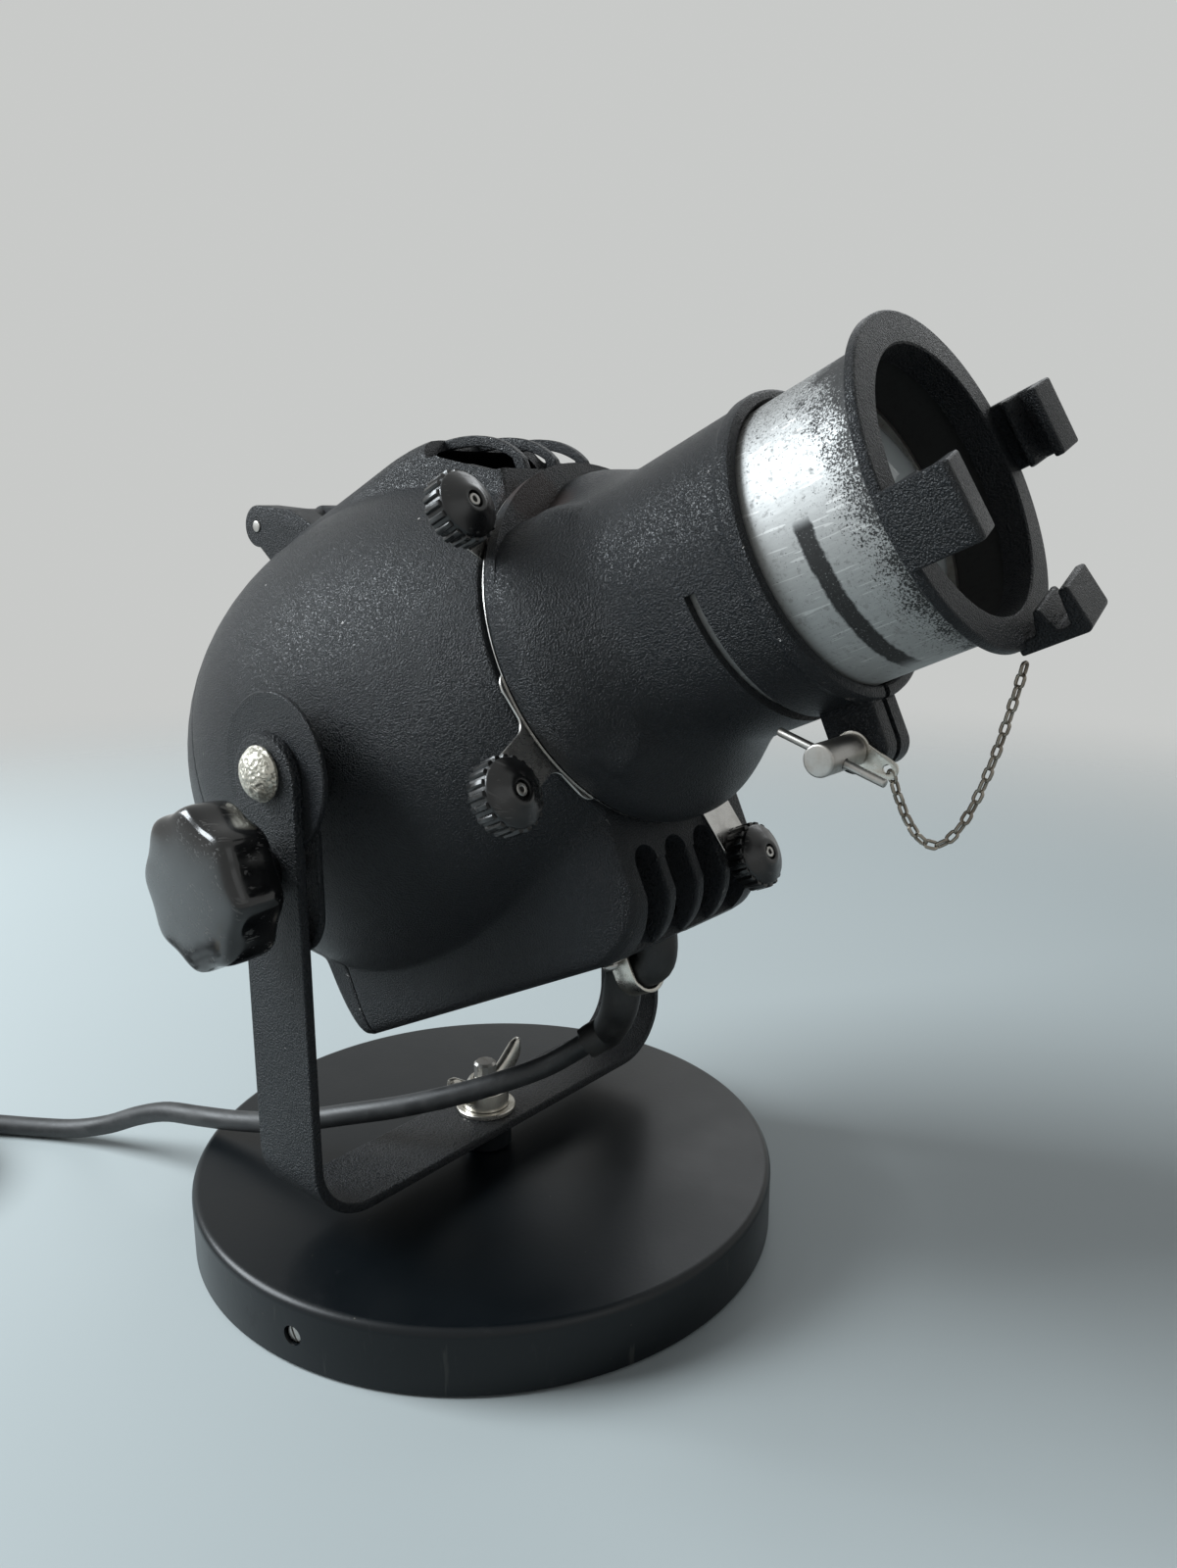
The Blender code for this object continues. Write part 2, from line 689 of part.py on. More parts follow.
def make_tilt_lock(pan, lock_axis):
    half = CLAMP_PLATE_WIDTH / 2
    top = PIVOT_HEIGHT - CLAMP_PLATE_TOP
    bottom = PIVOT_HEIGHT - CLAMP_PLATE_BOTTOM
    corners = arc((0, bottom + half), half, 180, 360, 12)
    outline = [(half, top), (-half, top), *corners]
    inner_face = PIVOT_HALF_SPAN - TILT_DISC_THICKNESS - 3 * SEAT_GAP
    middle = inner_face - CLAMP_PLATE_THICKNESS / 2
    clamp = as_part(plate(outline, CLAMP_PLATE_THICKNESS), "clamp_plate", "textured_black")
    place(clamp, pan, (0, -middle, 0), OUTLINE_XZ)
    heel_depth = PIVOT_HALF_SPAN - SEAT_GAP - inner_face + CLAMP_PLATE_THICKNESS / 2
    heel_y = -(PIVOT_HALF_SPAN - SEAT_GAP - heel_depth / 2)
    join(clamp, place(box((0.6 * STRAP_WIDTH, heel_depth, CLAMP_HEEL), (0, heel_y, bottom + CLAMP_HEEL)), pan))
    stud_z = PIVOT_HEIGHT - STUD_DROP
    hole = rod(STUD_RADIUS + SEAT_GAP, (0, -2 * FORK_HALF_WIDTH, stud_z), (0, -50 * MM, stud_z))
    cut(clamp, place(hole, pan))

    neck = FORK_HALF_WIDTH + SEAT_GAP
    back = neck + KNOB_NECK_LENGTH
    front = back + KNOB_DEPTH
    stud_start = inner_face - CLAMP_PLATE_THICKNESS - 1.5 * MM
    rings = [
        lobed_ring(0.92 * KNOB_RADIUS, KNOB_LOBE_DEPTH, back),
        lobed_ring(KNOB_RADIUS, KNOB_LOBE_DEPTH, back + KNOB_DEPTH * 0.5),
        lobed_ring(0.99 * KNOB_RADIUS, KNOB_LOBE_DEPTH, front - 3 * MM),
        lobed_ring(0.955 * KNOB_RADIUS, KNOB_LOBE_DEPTH * 0.95, front - 1.2 * MM),
        lobed_ring(0.89 * KNOB_RADIUS, KNOB_LOBE_DEPTH * 0.8, front - 0.3 * MM),
        lobed_ring(0.5 * KNOB_RADIUS, 0, front),
    ]
    knob = as_part(place(loft(rings), lock_axis, rotation=(math.pi / 2, 0, 0)), "lock_knob", "bakelite")
    neck_rod = rod(KNOB_NECK_RADIUS, (0, -neck, 0), (0, -back - 2 * MM, 0), 24)
    stud_bore = rod(STUD_RADIUS + SEAT_GAP, (0, -neck + MM, 0), (0, -back - STUD_SINK - SEAT_GAP, 0), 20)
    join(knob, place(neck_rod, lock_axis))
    cut(knob, place(stud_bore, lock_axis))
    stud = rod(STUD_RADIUS, (0, -stud_start, 0), (0, -back - STUD_SINK, 0), 12)
    as_part(place(stud, lock_axis), "knob_stud", "steel")


def make_tilt_disc(optical):
    """The friction disc on the near boss and the plain washer on the far one."""
    inner = PIVOT_HALF_SPAN - SEAT_GAP - TILT_DISC_THICKNESS
    outer = PIVOT_HALF_SPAN - SEAT_GAP
    bore = PIVOT_BOLT_RADIUS + SEAT_GAP
    discs = (("tilt_disc", 1, TILT_DISC_RADIUS, 24), ("tilt_washer", -1, TILT_WASHER_RADIUS, 16))
    for name, side, radius, steps in discs:
        disc = turned([(bore, inner), (radius, inner), (radius, outer), (bore, outer)], steps)
        turn = (side * math.pi / 2, 0, 0)
        as_part(place(disc, optical, (0, 0, -AXIS_RISE), turn), name, "textured_black")


# Lamp house


def round_off(x, start, reach):
    """1 before the start of a rounding, falling along a quarter ellipse over its reach."""
    share = min(max((x - start) / reach, 0), 1)
    return math.sqrt(1 - share * share)


def rounded_box(across, up, half_width, height, power):
    if height <= 0 or half_width <= 0:
        return 0
    return ((abs(across) / half_width) ** power + (up / height) ** power) ** (-1 / power)


def hump_height(x):
    if x < HUMP_RIDGE:
        return HUMP_HEIGHT * round_off(-x, -HOUSE_WIDEST, HOUSE_REAR_REACH)
    return HUMP_LIP + (HUMP_HEIGHT - HUMP_LIP) * round_off(x, HUMP_RIDGE, HOUSE_FRONT + MM - HUMP_RIDGE)


def vent_floor(x):
    """Depth of the vent box's sloping floor."""
    return VENT_DEPTH + VENT_SLOPE * (HOUSE_FRONT - VENT_FRONT_ROUND - x)


def vent_depth(x, front):
    rise = vent_floor(x) - VENT_FACE_DEPTH
    if x < VENT_REAR:
        return 0
    rear = round_off(-x, -VENT_REAR - VENT_REAR_ROUND, VENT_REAR_ROUND)
    return VENT_FACE_DEPTH + rise * min(rear, round_off(x, front - VENT_FRONT_ROUND, VENT_FRONT_ROUND + MM))


def vent_half_width(x):
    narrow = VENT_HALF_WIDTH - VENT_FRONT_HALF_WIDTH
    return VENT_FRONT_HALF_WIDTH + narrow * round_off(x, HOUSE_FRONT - VENT_FRONT_ROUND, VENT_FRONT_ROUND + MM)


def oval_radius(across, up, half_width, half_height):
    return 1 / math.sqrt((across / half_width) ** 2 + (up / half_height) ** 2)


def section_angles(x, half_width, half_height, count):
    """Even steps about the axis, two a side moved to the vent box's corner and to its crease."""
    angles = [2 * math.pi * (i + 0.5) / count for i in range(count)]
    vent_width = vent_half_width(x)
    corner = math.atan2(vent_width, vent_depth(max(x, VENT_REAR + VENT_REAR_ROUND), HOUSE_FRONT))
    crease = VENT_CREASE_ANGLE
    for trial in range(4):
        reach = oval_radius(math.sin(crease), math.cos(crease), half_width, half_height)
        crease = math.asin(min(vent_width / reach, math.sin(VENT_CREASE_LIMIT)))
    down = 1.5 * math.pi
    step = 2 * math.pi / count
    for side in (1, -1):
        nearest = round((down + side * VENT_CORNER_ANGLE) / step - 0.5)
        angles[nearest] = down + side * corner
        angles[nearest + side] = down + side * crease
    return angles


def house_section(x, inset=0.0, front=HOUSE_FRONT, count=44):
    """One section of the lamp house: an oval with the top hump and the bottom vent box blended on."""
    if x < HOUSE_WIDEST:
        side_reach = rise_reach = HOUSE_REAR_REACH - inset
    else:
        side_reach, rise_reach = FRONT_REACH_SIDE - inset, FRONT_REACH_RISE - inset
    half_width = (HOUSE_HALF_WIDTH - inset) * math.sqrt(1 - ((x - HOUSE_WIDEST) / side_reach) ** 2)
    half_height = (HOUSE_HALF_HEIGHT - inset) * math.sqrt(1 - ((x - HOUSE_WIDEST) / rise_reach) ** 2)
    ring = []
    for angle in section_angles(x, half_width, half_height, count):
        across, up = math.cos(angle), math.sin(angle)
        oval = oval_radius(across, up, half_width, half_height)
        if up > 0:
            bulge = rounded_box(across, up, HUMP_HALF_WIDTH - inset, hump_height(x) - inset, HUMP_CORNER)
        elif up < 0 and x < front:
            bulge = rounded_box(across, -up, vent_half_width(x) - inset, vent_depth(x, front) - inset, VENT_CORNER)
        else:
            bulge = 0
        crease = CREASE_BLEND * math.log1p(math.exp(-abs(oval - bulge) / CREASE_BLEND))
        radius = max(oval, bulge) + crease
        ring.append((x, radius * across, radius * up))
    return ring


def spaced(start, end, count):
    return [start + (end - start) * i / count for i in range(count + 1)]


def make_lamp_house(optical):
    rear = COVER_PLANE + SEAT_GAP / 2
    slope = HOUSE_FRONT - VENT_FRONT_ROUND
    stations = spaced(rear, slope, 7) + spaced(slope, HOUSE_FRONT, 5)[1:]
    house = as_part(place(loft([house_section(x) for x in stations]), optical), "lamp_house", "textured_black")
    hollow_front = HOUSE_FRONT - 4.2 * MM
    fin_back = HOUSE_FRONT - 14 * MM
    hollow = [house_section(x, HOUSE_WALL, fin_back, 36) for x in spaced(rear - 3 * MM, hollow_front, 7)]
    gate = rod(GATE_RADIUS - 7 * MM, (hollow_front - 2 * MM, 0, 0), (HOUSE_FRONT + 2 * MM, 0, 0), 48)
    cut(house, place(loft(hollow), optical), place(gate, optical))

    for side in (1, -1):
        base = HOUSE_HALF_WIDTH - HOUSE_WALL + MM
        boss_face = PIVOT_HALF_SPAN - 2 * SEAT_GAP - TILT_DISC_THICKNESS
        boss = rod(TILT_BOSS_RADIUS, (0, side * base, -AXIS_RISE), (0, side * boss_face, -AXIS_RISE), 24)
        bore_reach = boss_face - 12 * MM
        bore = rod(PIVOT_BOLT_RADIUS + SEAT_GAP, (0, side * bore_reach, -AXIS_RISE),
                   (0, side * 2 * boss_face, -AXIS_RISE), 16)
        join(house, place(boss, optical))
        cut(house, place(bore, optical))

    first = -(VENT_SLOTS - 1) / 2
    for i in range(VENT_SLOTS):
        y = (first + i) * VENT_PITCH
        width = VENT_PITCH - HUMP_RIB
        slot_length = 2 * (HOUSE_FRONT - HUMP_SLOT_START)
        slot_height = HUMP_HEIGHT
        rib_slot = box((slot_length, width, slot_height),
                       (HUMP_SLOT_START + slot_length / 2, y, HUMP_SLOT_BOTTOM + slot_height / 2))
        gill_height = 2 * (VENT_DEPTH - GILL_TOP)
        gill = box((GILL_LENGTH, VENT_PITCH - VENT_FIN, gill_height),
                   (GILL_START + GILL_LENGTH / 2, y, -GILL_TOP - gill_height / 2))
        cut(house, place(rib_slot, optical, rotation=(0, HUMP_SLOT_LEAN, 0)), place(gill, optical))

    entry, below = sleeve_entry()
    along = (entry - below).normalized() * 12 * MM
    cut(house, place(rod(SLEEVE_HOLE_RADIUS, below - along, entry + along, 20), optical))

    pin = (HINGE_PIN_X, HINGE_PIN_Z)
    foot = HOUSE_HALF_HEIGHT - 4 * MM
    outline = arc(pin, HINGE_EAR_RADIUS, 55, 250, 7)
    outline += [(HINGE_PIN_X + 4 * MM, foot - 4 * MM), (HINGE_PIN_X + 42 * MM, foot - 3 * MM)]
    outline += [(HINGE_PIN_X + 34 * MM, foot + 5 * MM), (HINGE_PIN_X + 24 * MM, HINGE_PIN_Z - 3 * MM)]
    ear_width = HINGE_HALF_WIDTH - HINGE_KNUCKLE_HALF_WIDTH
    for side in (1, -1):
        middle = side * (HINGE_HALF_WIDTH + HINGE_KNUCKLE_HALF_WIDTH) / 2
        ear = place(plate(outline, ear_width), optical, (0, middle, 0), OUTLINE_XZ)
        bore = rod(HINGE_PIN_RADIUS + SEAT_GAP, (HINGE_PIN_X, side * 5 * MM, HINGE_PIN_Z),
                   (HINGE_PIN_X, side * 40 * MM, HINGE_PIN_Z), 12)
        join(house, ear)
        cut(house, place(bore, optical))


def make_rear_cover(cover_axis):
    """The hinged rear cap. Its frame stands on the hinge pin."""
    shift = (-HINGE_PIN_X, 0, -HINGE_PIN_Z)
    front = COVER_PLANE - SEAT_GAP / 2
    rear = HOUSE_WIDEST - HOUSE_REAR_REACH
    dome = VENT_REAR - MM
    box_end = [front, VENT_REAR + 5 * MM, VENT_REAR + 1.5 * MM]
    stations = box_end + [dome + (rear - dome) * share for share in (0, 0.25, 0.5, 0.72, 0.89, 0.98)]
    cover = place(loft([house_section(x) for x in stations]), cover_axis, shift)
    as_part(cover, "rear_cover", "textured_black")
    inner_rear = rear + COVER_WALL
    hollow = [house_section(dome + (inner_rear - dome) * share, COVER_WALL, count=32)
              for share in (0, 0.4, 0.75, 0.95)]
    hollow.insert(0, house_section(VENT_REAR + COVER_WALL + 2 * MM, COVER_WALL, count=32))
    hollow.insert(0, house_section(front + 2 * MM, COVER_WALL, count=32))
    cut(cover, place(loft(hollow), cover_axis, shift))
    half = HINGE_KNUCKLE_HALF_WIDTH - RUNNING_GAP
    seam = front - HINGE_PIN_X - SEAT_GAP
    shoulder = HOUSE_HALF_HEIGHT - HINGE_PIN_Z
    outline = arc((0, 0), HINGE_KNUCKLE_RADIUS, -110, 150, 8)
    outline += [(seam - 18 * MM, shoulder - 8 * MM), (seam - 15 * MM, shoulder - 17 * MM)]
    outline += [(seam, shoulder - 11 * MM), (seam, shoulder)]
    arm = place(plate(outline, 2 * half), cover_axis, rotation=OUTLINE_XZ)
    bore = rod(HINGE_PIN_RADIUS + RUNNING_GAP, (0, -40 * MM, 0), (0, 40 * MM, 0), 12)
    join(cover, arm)
    cut(cover, place(bore, cover_axis))


def make_hinge_pin(optical):
    reach = HINGE_HALF_WIDTH + 0.6 * MM
    pin = rod(HINGE_PIN_RADIUS, (HINGE_PIN_X, -reach, HINGE_PIN_Z), (HINGE_PIN_X, reach, HINGE_PIN_Z), 12)
    as_part(place(pin, optical), "hinge_pin", "steel")


def make_lamp(optical):
    """Reflector with its seating flange, lamp, holder and bracket."""
    seat = math.sqrt(1 - ((REFLECTOR_FRONT - HOUSE_WIDEST) / FRONT_REACH_SIDE) ** 2)
    flange = HOUSE_HALF_WIDTH * seat - HOUSE_WALL - 1.2 * MM
    outer, inner = [], []
    steps = 3
    for i in range(steps + 1):
        angle = math.pi / 2 * i / steps * 0.86
        x = REFLECTOR_FRONT - REFLECTOR_DEPTH * math.sin(angle)
        outer.append((REFLECTOR_RADIUS * math.cos(angle), x))
        inner.append(((REFLECTOR_RADIUS - REFLECTOR_SHEET) * math.cos(angle), x + REFLECTOR_SHEET))
    front = REFLECTOR_FRONT + REFLECTOR_SHEET
    profile = [(flange, front), (flange, REFLECTOR_FRONT), *outer, *inner[:0:-1],
               (REFLECTOR_RADIUS - REFLECTOR_SHEET, front)]
    reflector = as_part(place(turned(profile, 20), optical, rotation=ALONG_X), "reflector", "aluminium")
    neck = REFLECTOR_FRONT - REFLECTOR_DEPTH
    cut(reflector, place(rod(REFLECTOR_NECK_RADIUS, (neck - 30 * MM, 0, 0), (neck + 60 * MM, 0, 0), 32), optical))

    holder_front = neck - 8 * MM
    bracket_x = holder_front - LAMP_HOLDER_LENGTH / 2
    holder = [(0, holder_front - LAMP_HOLDER_LENGTH), (LAMP_HOLDER_RADIUS, holder_front - LAMP_HOLDER_LENGTH),
              (LAMP_HOLDER_RADIUS, holder_front), (0, holder_front)]
    ceramic = as_part(place(turned(holder, 12), optical, rotation=ALONG_X), "lamp_holder", "ceramic")
    lamp_start = holder_front + SEAT_GAP
    bulb_end = lamp_start + LAMP_LENGTH
    profile = [(0, lamp_start), (LAMP_RADIUS, lamp_start)]
    profile += [(r, bulb_end - LAMP_RADIUS + x) for r, x in arc((0, 0), LAMP_RADIUS, 0, 90, 4)[:-1]]
    profile.append((0, bulb_end))
    as_part(place(turned(profile, 12), optical, rotation=ALONG_X), "lamp", "glass")

    floor = -vent_floor(bracket_x + LAMP_BRACKET_FOOT) + HOUSE_WALL + SEAT_GAP
    top = LAMP_HOLDER_RADIUS + 5 * MM
    size = (LAMP_BRACKET_THICKNESS, LAMP_BRACKET_WIDTH, top - floor)
    bracket = box(size, (bracket_x, 0, (top + floor) / 2))
    foot = box((LAMP_BRACKET_FOOT, LAMP_BRACKET_WIDTH, LAMP_BRACKET_THICKNESS),
               (bracket_x + LAMP_BRACKET_FOOT / 2 - LAMP_BRACKET_THICKNESS / 2, 0, floor + LAMP_BRACKET_THICKNESS / 2))
    as_part(place(bracket, optical), "lamp_bracket", "steel")
    join(bracket, place(foot, optical))
    groove = LAMP_HOLDER_RADIUS - 2 * MM
    hole = rod(groove, (bracket_x - 9 * MM, 0, 0), (bracket_x + 9 * MM, 0, 0), 20)
    cut(bracket, place(hole, optical))
    gap = LAMP_BRACKET_THICKNESS / 2 + SEAT_GAP
    ring = turned([(groove - SEAT_GAP, -gap), (LAMP_HOLDER_RADIUS + 3 * MM, -gap),
                   (LAMP_HOLDER_RADIUS + 3 * MM, gap), (groove - SEAT_GAP, gap)], 12)
    cut(ceramic, place(ring, optical, (bracket_x, 0, 0), ALONG_X))


# Gate and shutters


def make_gate(optical):
    outer = GATE_RADIUS - 7 * MM - SEAT_GAP
    front = HOUSE_FRONT - MM
    rear = front - GATE_PLATE_THICKNESS
    plate_ring = turned([(GATE_APERTURE_RADIUS, rear), (outer, rear), (outer, front),
                         (GATE_APERTURE_RADIUS, front)], 24)
    as_part(place(plate_ring, optical, rotation=ALONG_X), "gate_plate", "steel")


def blade_outline(inner_edge, knob_place):
    """Blade in its own frame: X outward along its slide, Y across."""
    half = BLADE_WIDTH / 2
    tail = BLADE_TAIL_WIDTH / 2
    shoulder = inner_edge + BLADE_SHOULDER
    end = knob_place
    return [
        (inner_edge, -half),
        (shoulder - 5 * MM, -half),
        (shoulder, -half + 6 * MM),
        (shoulder + 7 * MM, -tail),
        *arc((end, 0), tail, -90, 90, 8),
        (shoulder + 7 * MM, tail),
        (shoulder, half - 6 * MM),
        (shoulder - 5 * MM, half),
        (inner_edge, half),
    ]


def fluted_ring(radius, height, count=SHUTTER_KNOB_FLUTES, depth=0.09):
    ring = []
    for i in range(count * 2):
        angle = 2 * math.pi * i / (count * 2)
        scale = 1 - depth * (i % 2)
        ring.append((radius * scale * math.cos(angle), radius * scale * math.sin(angle), height))
    return ring


def make_shutters(optical):
    for index, (name, angle, knob_stand) in enumerate(SHUTTERS):
        knob_place = GATE_RADIUS + knob_stand
        slide = empty("slide_" + name, optical, rotation=(angle, 0, 0))
        rear = HOUSE_FRONT + SEAT_GAP + (index % 2) * (BLADE_THICKNESS + SEAT_GAP)
        middle = rear + BLADE_THICKNESS / 2
        inner_edge = knob_place - BLADE_REACH
        blade = plate(blade_outline(inner_edge, knob_place), BLADE_THICKNESS)
        # local X of the outline points outward (Y of the slide frame), its normal along the optical axis
        place(blade, slide, (middle, 0, 0), OUTLINE_YZ)
        as_part(blade, "shutter_blade_" + name, "steel")
        back = rear + BLADE_THICKNESS + SEAT_GAP
        front = back + SHUTTER_KNOB_DEPTH
        radius = SHUTTER_KNOB_RADIUS
        rings = [
            fluted_ring(radius, back),
            fluted_ring(radius, front - 0.6 * MM),
            fluted_ring(0.93 * radius, front, depth=0),
            fluted_ring(0.42 * radius, front + SHUTTER_KNOB_CONE, depth=0),
        ]
        rings = [[(height, x + knob_place, y) for x, y, height in ring] for ring in rings]
        knob = as_part(place(loft(rings), slide), "shutter_knob_" + name, "bakelite")
        dimple = rod(2.6 * MM, (front + MM, knob_place, 0), (front + 9 * MM, knob_place, 0), 8)
        cut(knob, place(dimple, slide))


# Front barrel and its clamp


def make_front_barrel(optical):
    flange_end = FRONT_PLANE + BARREL_FLANGE
    run = SHOULDER_END - flange_end
    drop = GATE_RADIUS - BARREL_RADIUS
    outer = [(GATE_RADIUS - MM, FRONT_PLANE), (GATE_RADIUS, FRONT_PLANE + MM), (GATE_RADIUS, flange_end)]
    steps = 6
    for i in range(1, steps + 1):
        share = i / steps
        outer.append((GATE_RADIUS - drop * (0.5 - 0.5 * math.cos(math.pi * share)) ** 0.9, flange_end + run * share))
    lip = 2.4 * MM
    outer += [(BARREL_RADIUS, BARREL_FRONT - 3 * lip), (BARREL_LIP_RADIUS, BARREL_FRONT - 2 * lip),
              (BARREL_LIP_RADIUS, BARREL_FRONT - 0.6 * lip), (BARREL_LIP_RADIUS - 0.6 * lip, BARREL_FRONT)]
    wall = 4.5 * MM
    solid = [(0, FRONT_PLANE), *outer, (0, BARREL_FRONT)]
    barrel = place(turned(solid, BARREL_STEPS), optical, rotation=ALONG_X)
    as_part(barrel, "front_barrel", "textured_black")

    for corner in range(4):
        angle = math.radians(45 + 90 * corner)
        across, up = math.cos(angle), math.sin(angle)
        stand = GATE_RADIUS - 9 * MM
        start = (FRONT_PLANE + 3.5 * MM, stand * across, stand * up)
        stand_end = BARREL_RADIUS + 2 * MM
        end = (FRONT_PLANE + 27 * MM, stand_end * across, stand_end * up)
        blister = tube(blister_points(start, end), BLISTER_RADIUS, 2, blister_radii())
        join(barrel, place(as_mesh(blister), optical))
    gate_radius = GATE_RADIUS - wall - 3 * MM
    bore = [(0, FRONT_PLANE - MM), (gate_radius, FRONT_PLANE - MM), (gate_radius, flange_end),
            (BARREL_BORE, SHOULDER_END - 20 * MM), (BARREL_BORE, BARREL_FRONT + MM), (0, BARREL_FRONT + MM)]

    ear_top = -BARREL_BORE - 1.5 * MM
    ear_rear = CLAMP_SLOT_X + CLAMP_SLOT_WIDTH / 2 + MM
    ear_front = BARREL_FRONT - 2 * MM
    half = EAR_GAP / 2 + EAR_THICKNESS
    round_radius = 7.5 * MM
    outline = [(ear_rear, ear_top), (ear_rear, -EAR_DROP + round_radius)]
    outline += arc((ear_rear + round_radius, -EAR_DROP + round_radius), round_radius, 180, 270, 5)
    outline += arc((ear_front - round_radius, -EAR_DROP + round_radius), round_radius, 270, 360, 5)
    outline += [(ear_front, ear_top)]
    ears = plate(outline, 2 * half)
    join(barrel, place(ears, optical, rotation=OUTLINE_XZ))
    hollow = turned(bore, BARREL_STEPS)
    half_step = Matrix.Rotation(math.pi / BARREL_STEPS, 4, "X")
    cut(barrel, place(hollow, optical, rotation=(half_step @ Matrix.Rotation(math.pi / 2, 4, "Y")).to_euler()))
    split = box((60 * MM, EAR_GAP, 60 * MM), (CLAMP_SLOT_X + 30 * MM, 0, -BARREL_BORE - 20 * MM))
    screw_bore = rod(CLAMP_SCREW_RADIUS + SEAT_GAP, (CLAMP_SCREW_X, -40 * MM, -CLAMP_SCREW_DROP),
                     (CLAMP_SCREW_X, 40 * MM, -CLAMP_SCREW_DROP))
    cut(barrel, place(split, optical), place(clamp_slot(), optical), place(screw_bore, optical))
    for angle in (90, 174, 247, 338):
        angle = math.radians(angle)
        stand = GATE_RADIUS - 4.4 * MM
        across, up = stand * math.cos(angle), stand * math.sin(angle)
        post = rod(2.6 * MM, (HOUSE_FRONT + SEAT_GAP, across, up), (FRONT_PLANE + 2 * MM, across, up), 8)
        join(barrel, place(post, optical))


def blister_points(start, end):
    start, end = Vector(start), Vector(end)
    return [start.lerp(end, share) for share in (0, 0.12, 0.35, 0.65, 0.88, 1)]


def blister_radii():
    return [BLISTER_RADIUS * share for share in (0.55, 0.85, 1, 0.97, 0.66, 0.3)]


def clamp_slot():
    """A slot round the barrel's lower half, as an arc swept about the optical axis."""
    rings = []
    steps = 17
    inner, outer = BARREL_BORE - 3 * MM, BARREL_RADIUS + 5 * MM
    half = CLAMP_SLOT_WIDTH / 2
    for i in range(steps + 1):
        angle = -math.pi / 2 - CLAMP_SLOT_HALF_ANGLE + 2 * CLAMP_SLOT_HALF_ANGLE * i / steps
        across, up = math.cos(angle), math.sin(angle)
        corners = ((-half, inner), (half, inner), (half, outer), (-half, outer))
        rings.append([(CLAMP_SLOT_X + x, radius * across, radius * up) for x, radius in corners])
    return loft(rings)


def make_clamp(optical, screw_axis, tommy_slide):
    half = EAR_GAP / 2 + EAR_THICKNESS
    tag_room = TAG_THICKNESS + 2 * SEAT_GAP
    collar = half + tag_room
    head_end = collar + CLAMP_HEAD_LENGTH
    profile = [
        (0, -half - 4 * MM),
        (CLAMP_SCREW_RADIUS, -half - 4 * MM),
        (CLAMP_SCREW_RADIUS, collar),
        (CLAMP_HEAD_RADIUS, collar),
        (CLAMP_HEAD_RADIUS, head_end - MM),
        (CLAMP_HEAD_RADIUS - MM, head_end),
        (0, head_end),
    ]
    screw = as_part(place(turned(profile, 20), screw_axis, rotation=(math.pi / 2, 0, 0)), "clamp_screw", "steel")
    bar_y = -(collar + 0.62 * CLAMP_HEAD_LENGTH)
    along = Vector((math.cos(TOMMY_SLOPE), 0, -math.sin(TOMMY_SLOPE)))
    reach = along * TOMMY_LENGTH / 2
    middle = Vector((0, bar_y, 0))
    bore = rod(TOMMY_RADIUS + SEAT_GAP, middle - reach, middle + reach, 12)
    cut(screw, place(bore, screw_axis))
    shift = Vector((0, -bar_y, 0))
    bar = rod(TOMMY_RADIUS, middle + shift - reach, middle + shift + reach, 12)
    as_part(place(bar, tommy_slide), "tommy_bar", "steel")

    ring = CLAMP_SCREW_RADIUS + SEAT_GAP
    tip = (9 * MM, -9 * MM)
    outline = arc((0, 0), 6 * MM, 0, 270, 10) + arc(tip, TAG_TIP_RADIUS, -100, 10, 4)
    tag = plate(outline, TAG_THICKNESS, [arc((0, 0), ring, 0, 330, 11)])
    tag_y = -(half + SEAT_GAP + TAG_THICKNESS / 2)
    place(tag, optical, (CLAMP_SCREW_X, tag_y, -CLAMP_SCREW_DROP), OUTLINE_XZ)
    as_part(tag, "chain_tag", "nickel")
    eye = rod(1.5 * MM, (CLAMP_SCREW_X + tip[0], -30 * MM, tip[1] - CLAMP_SCREW_DROP),
              (CLAMP_SCREW_X + tip[0], 30 * MM, tip[1] - CLAMP_SCREW_DROP), 12)
    cut(tag, place(eye, optical))
    away = (TAG_TIP_RADIUS + SEAT_GAP + 2 * CHAIN_WIRE_RADIUS) * math.sqrt(0.5)
    return Vector((CLAMP_SCREW_X + tip[0] + away, tag_y, tip[1] - away - CLAMP_SCREW_DROP))


# Lens tube, holder and lens


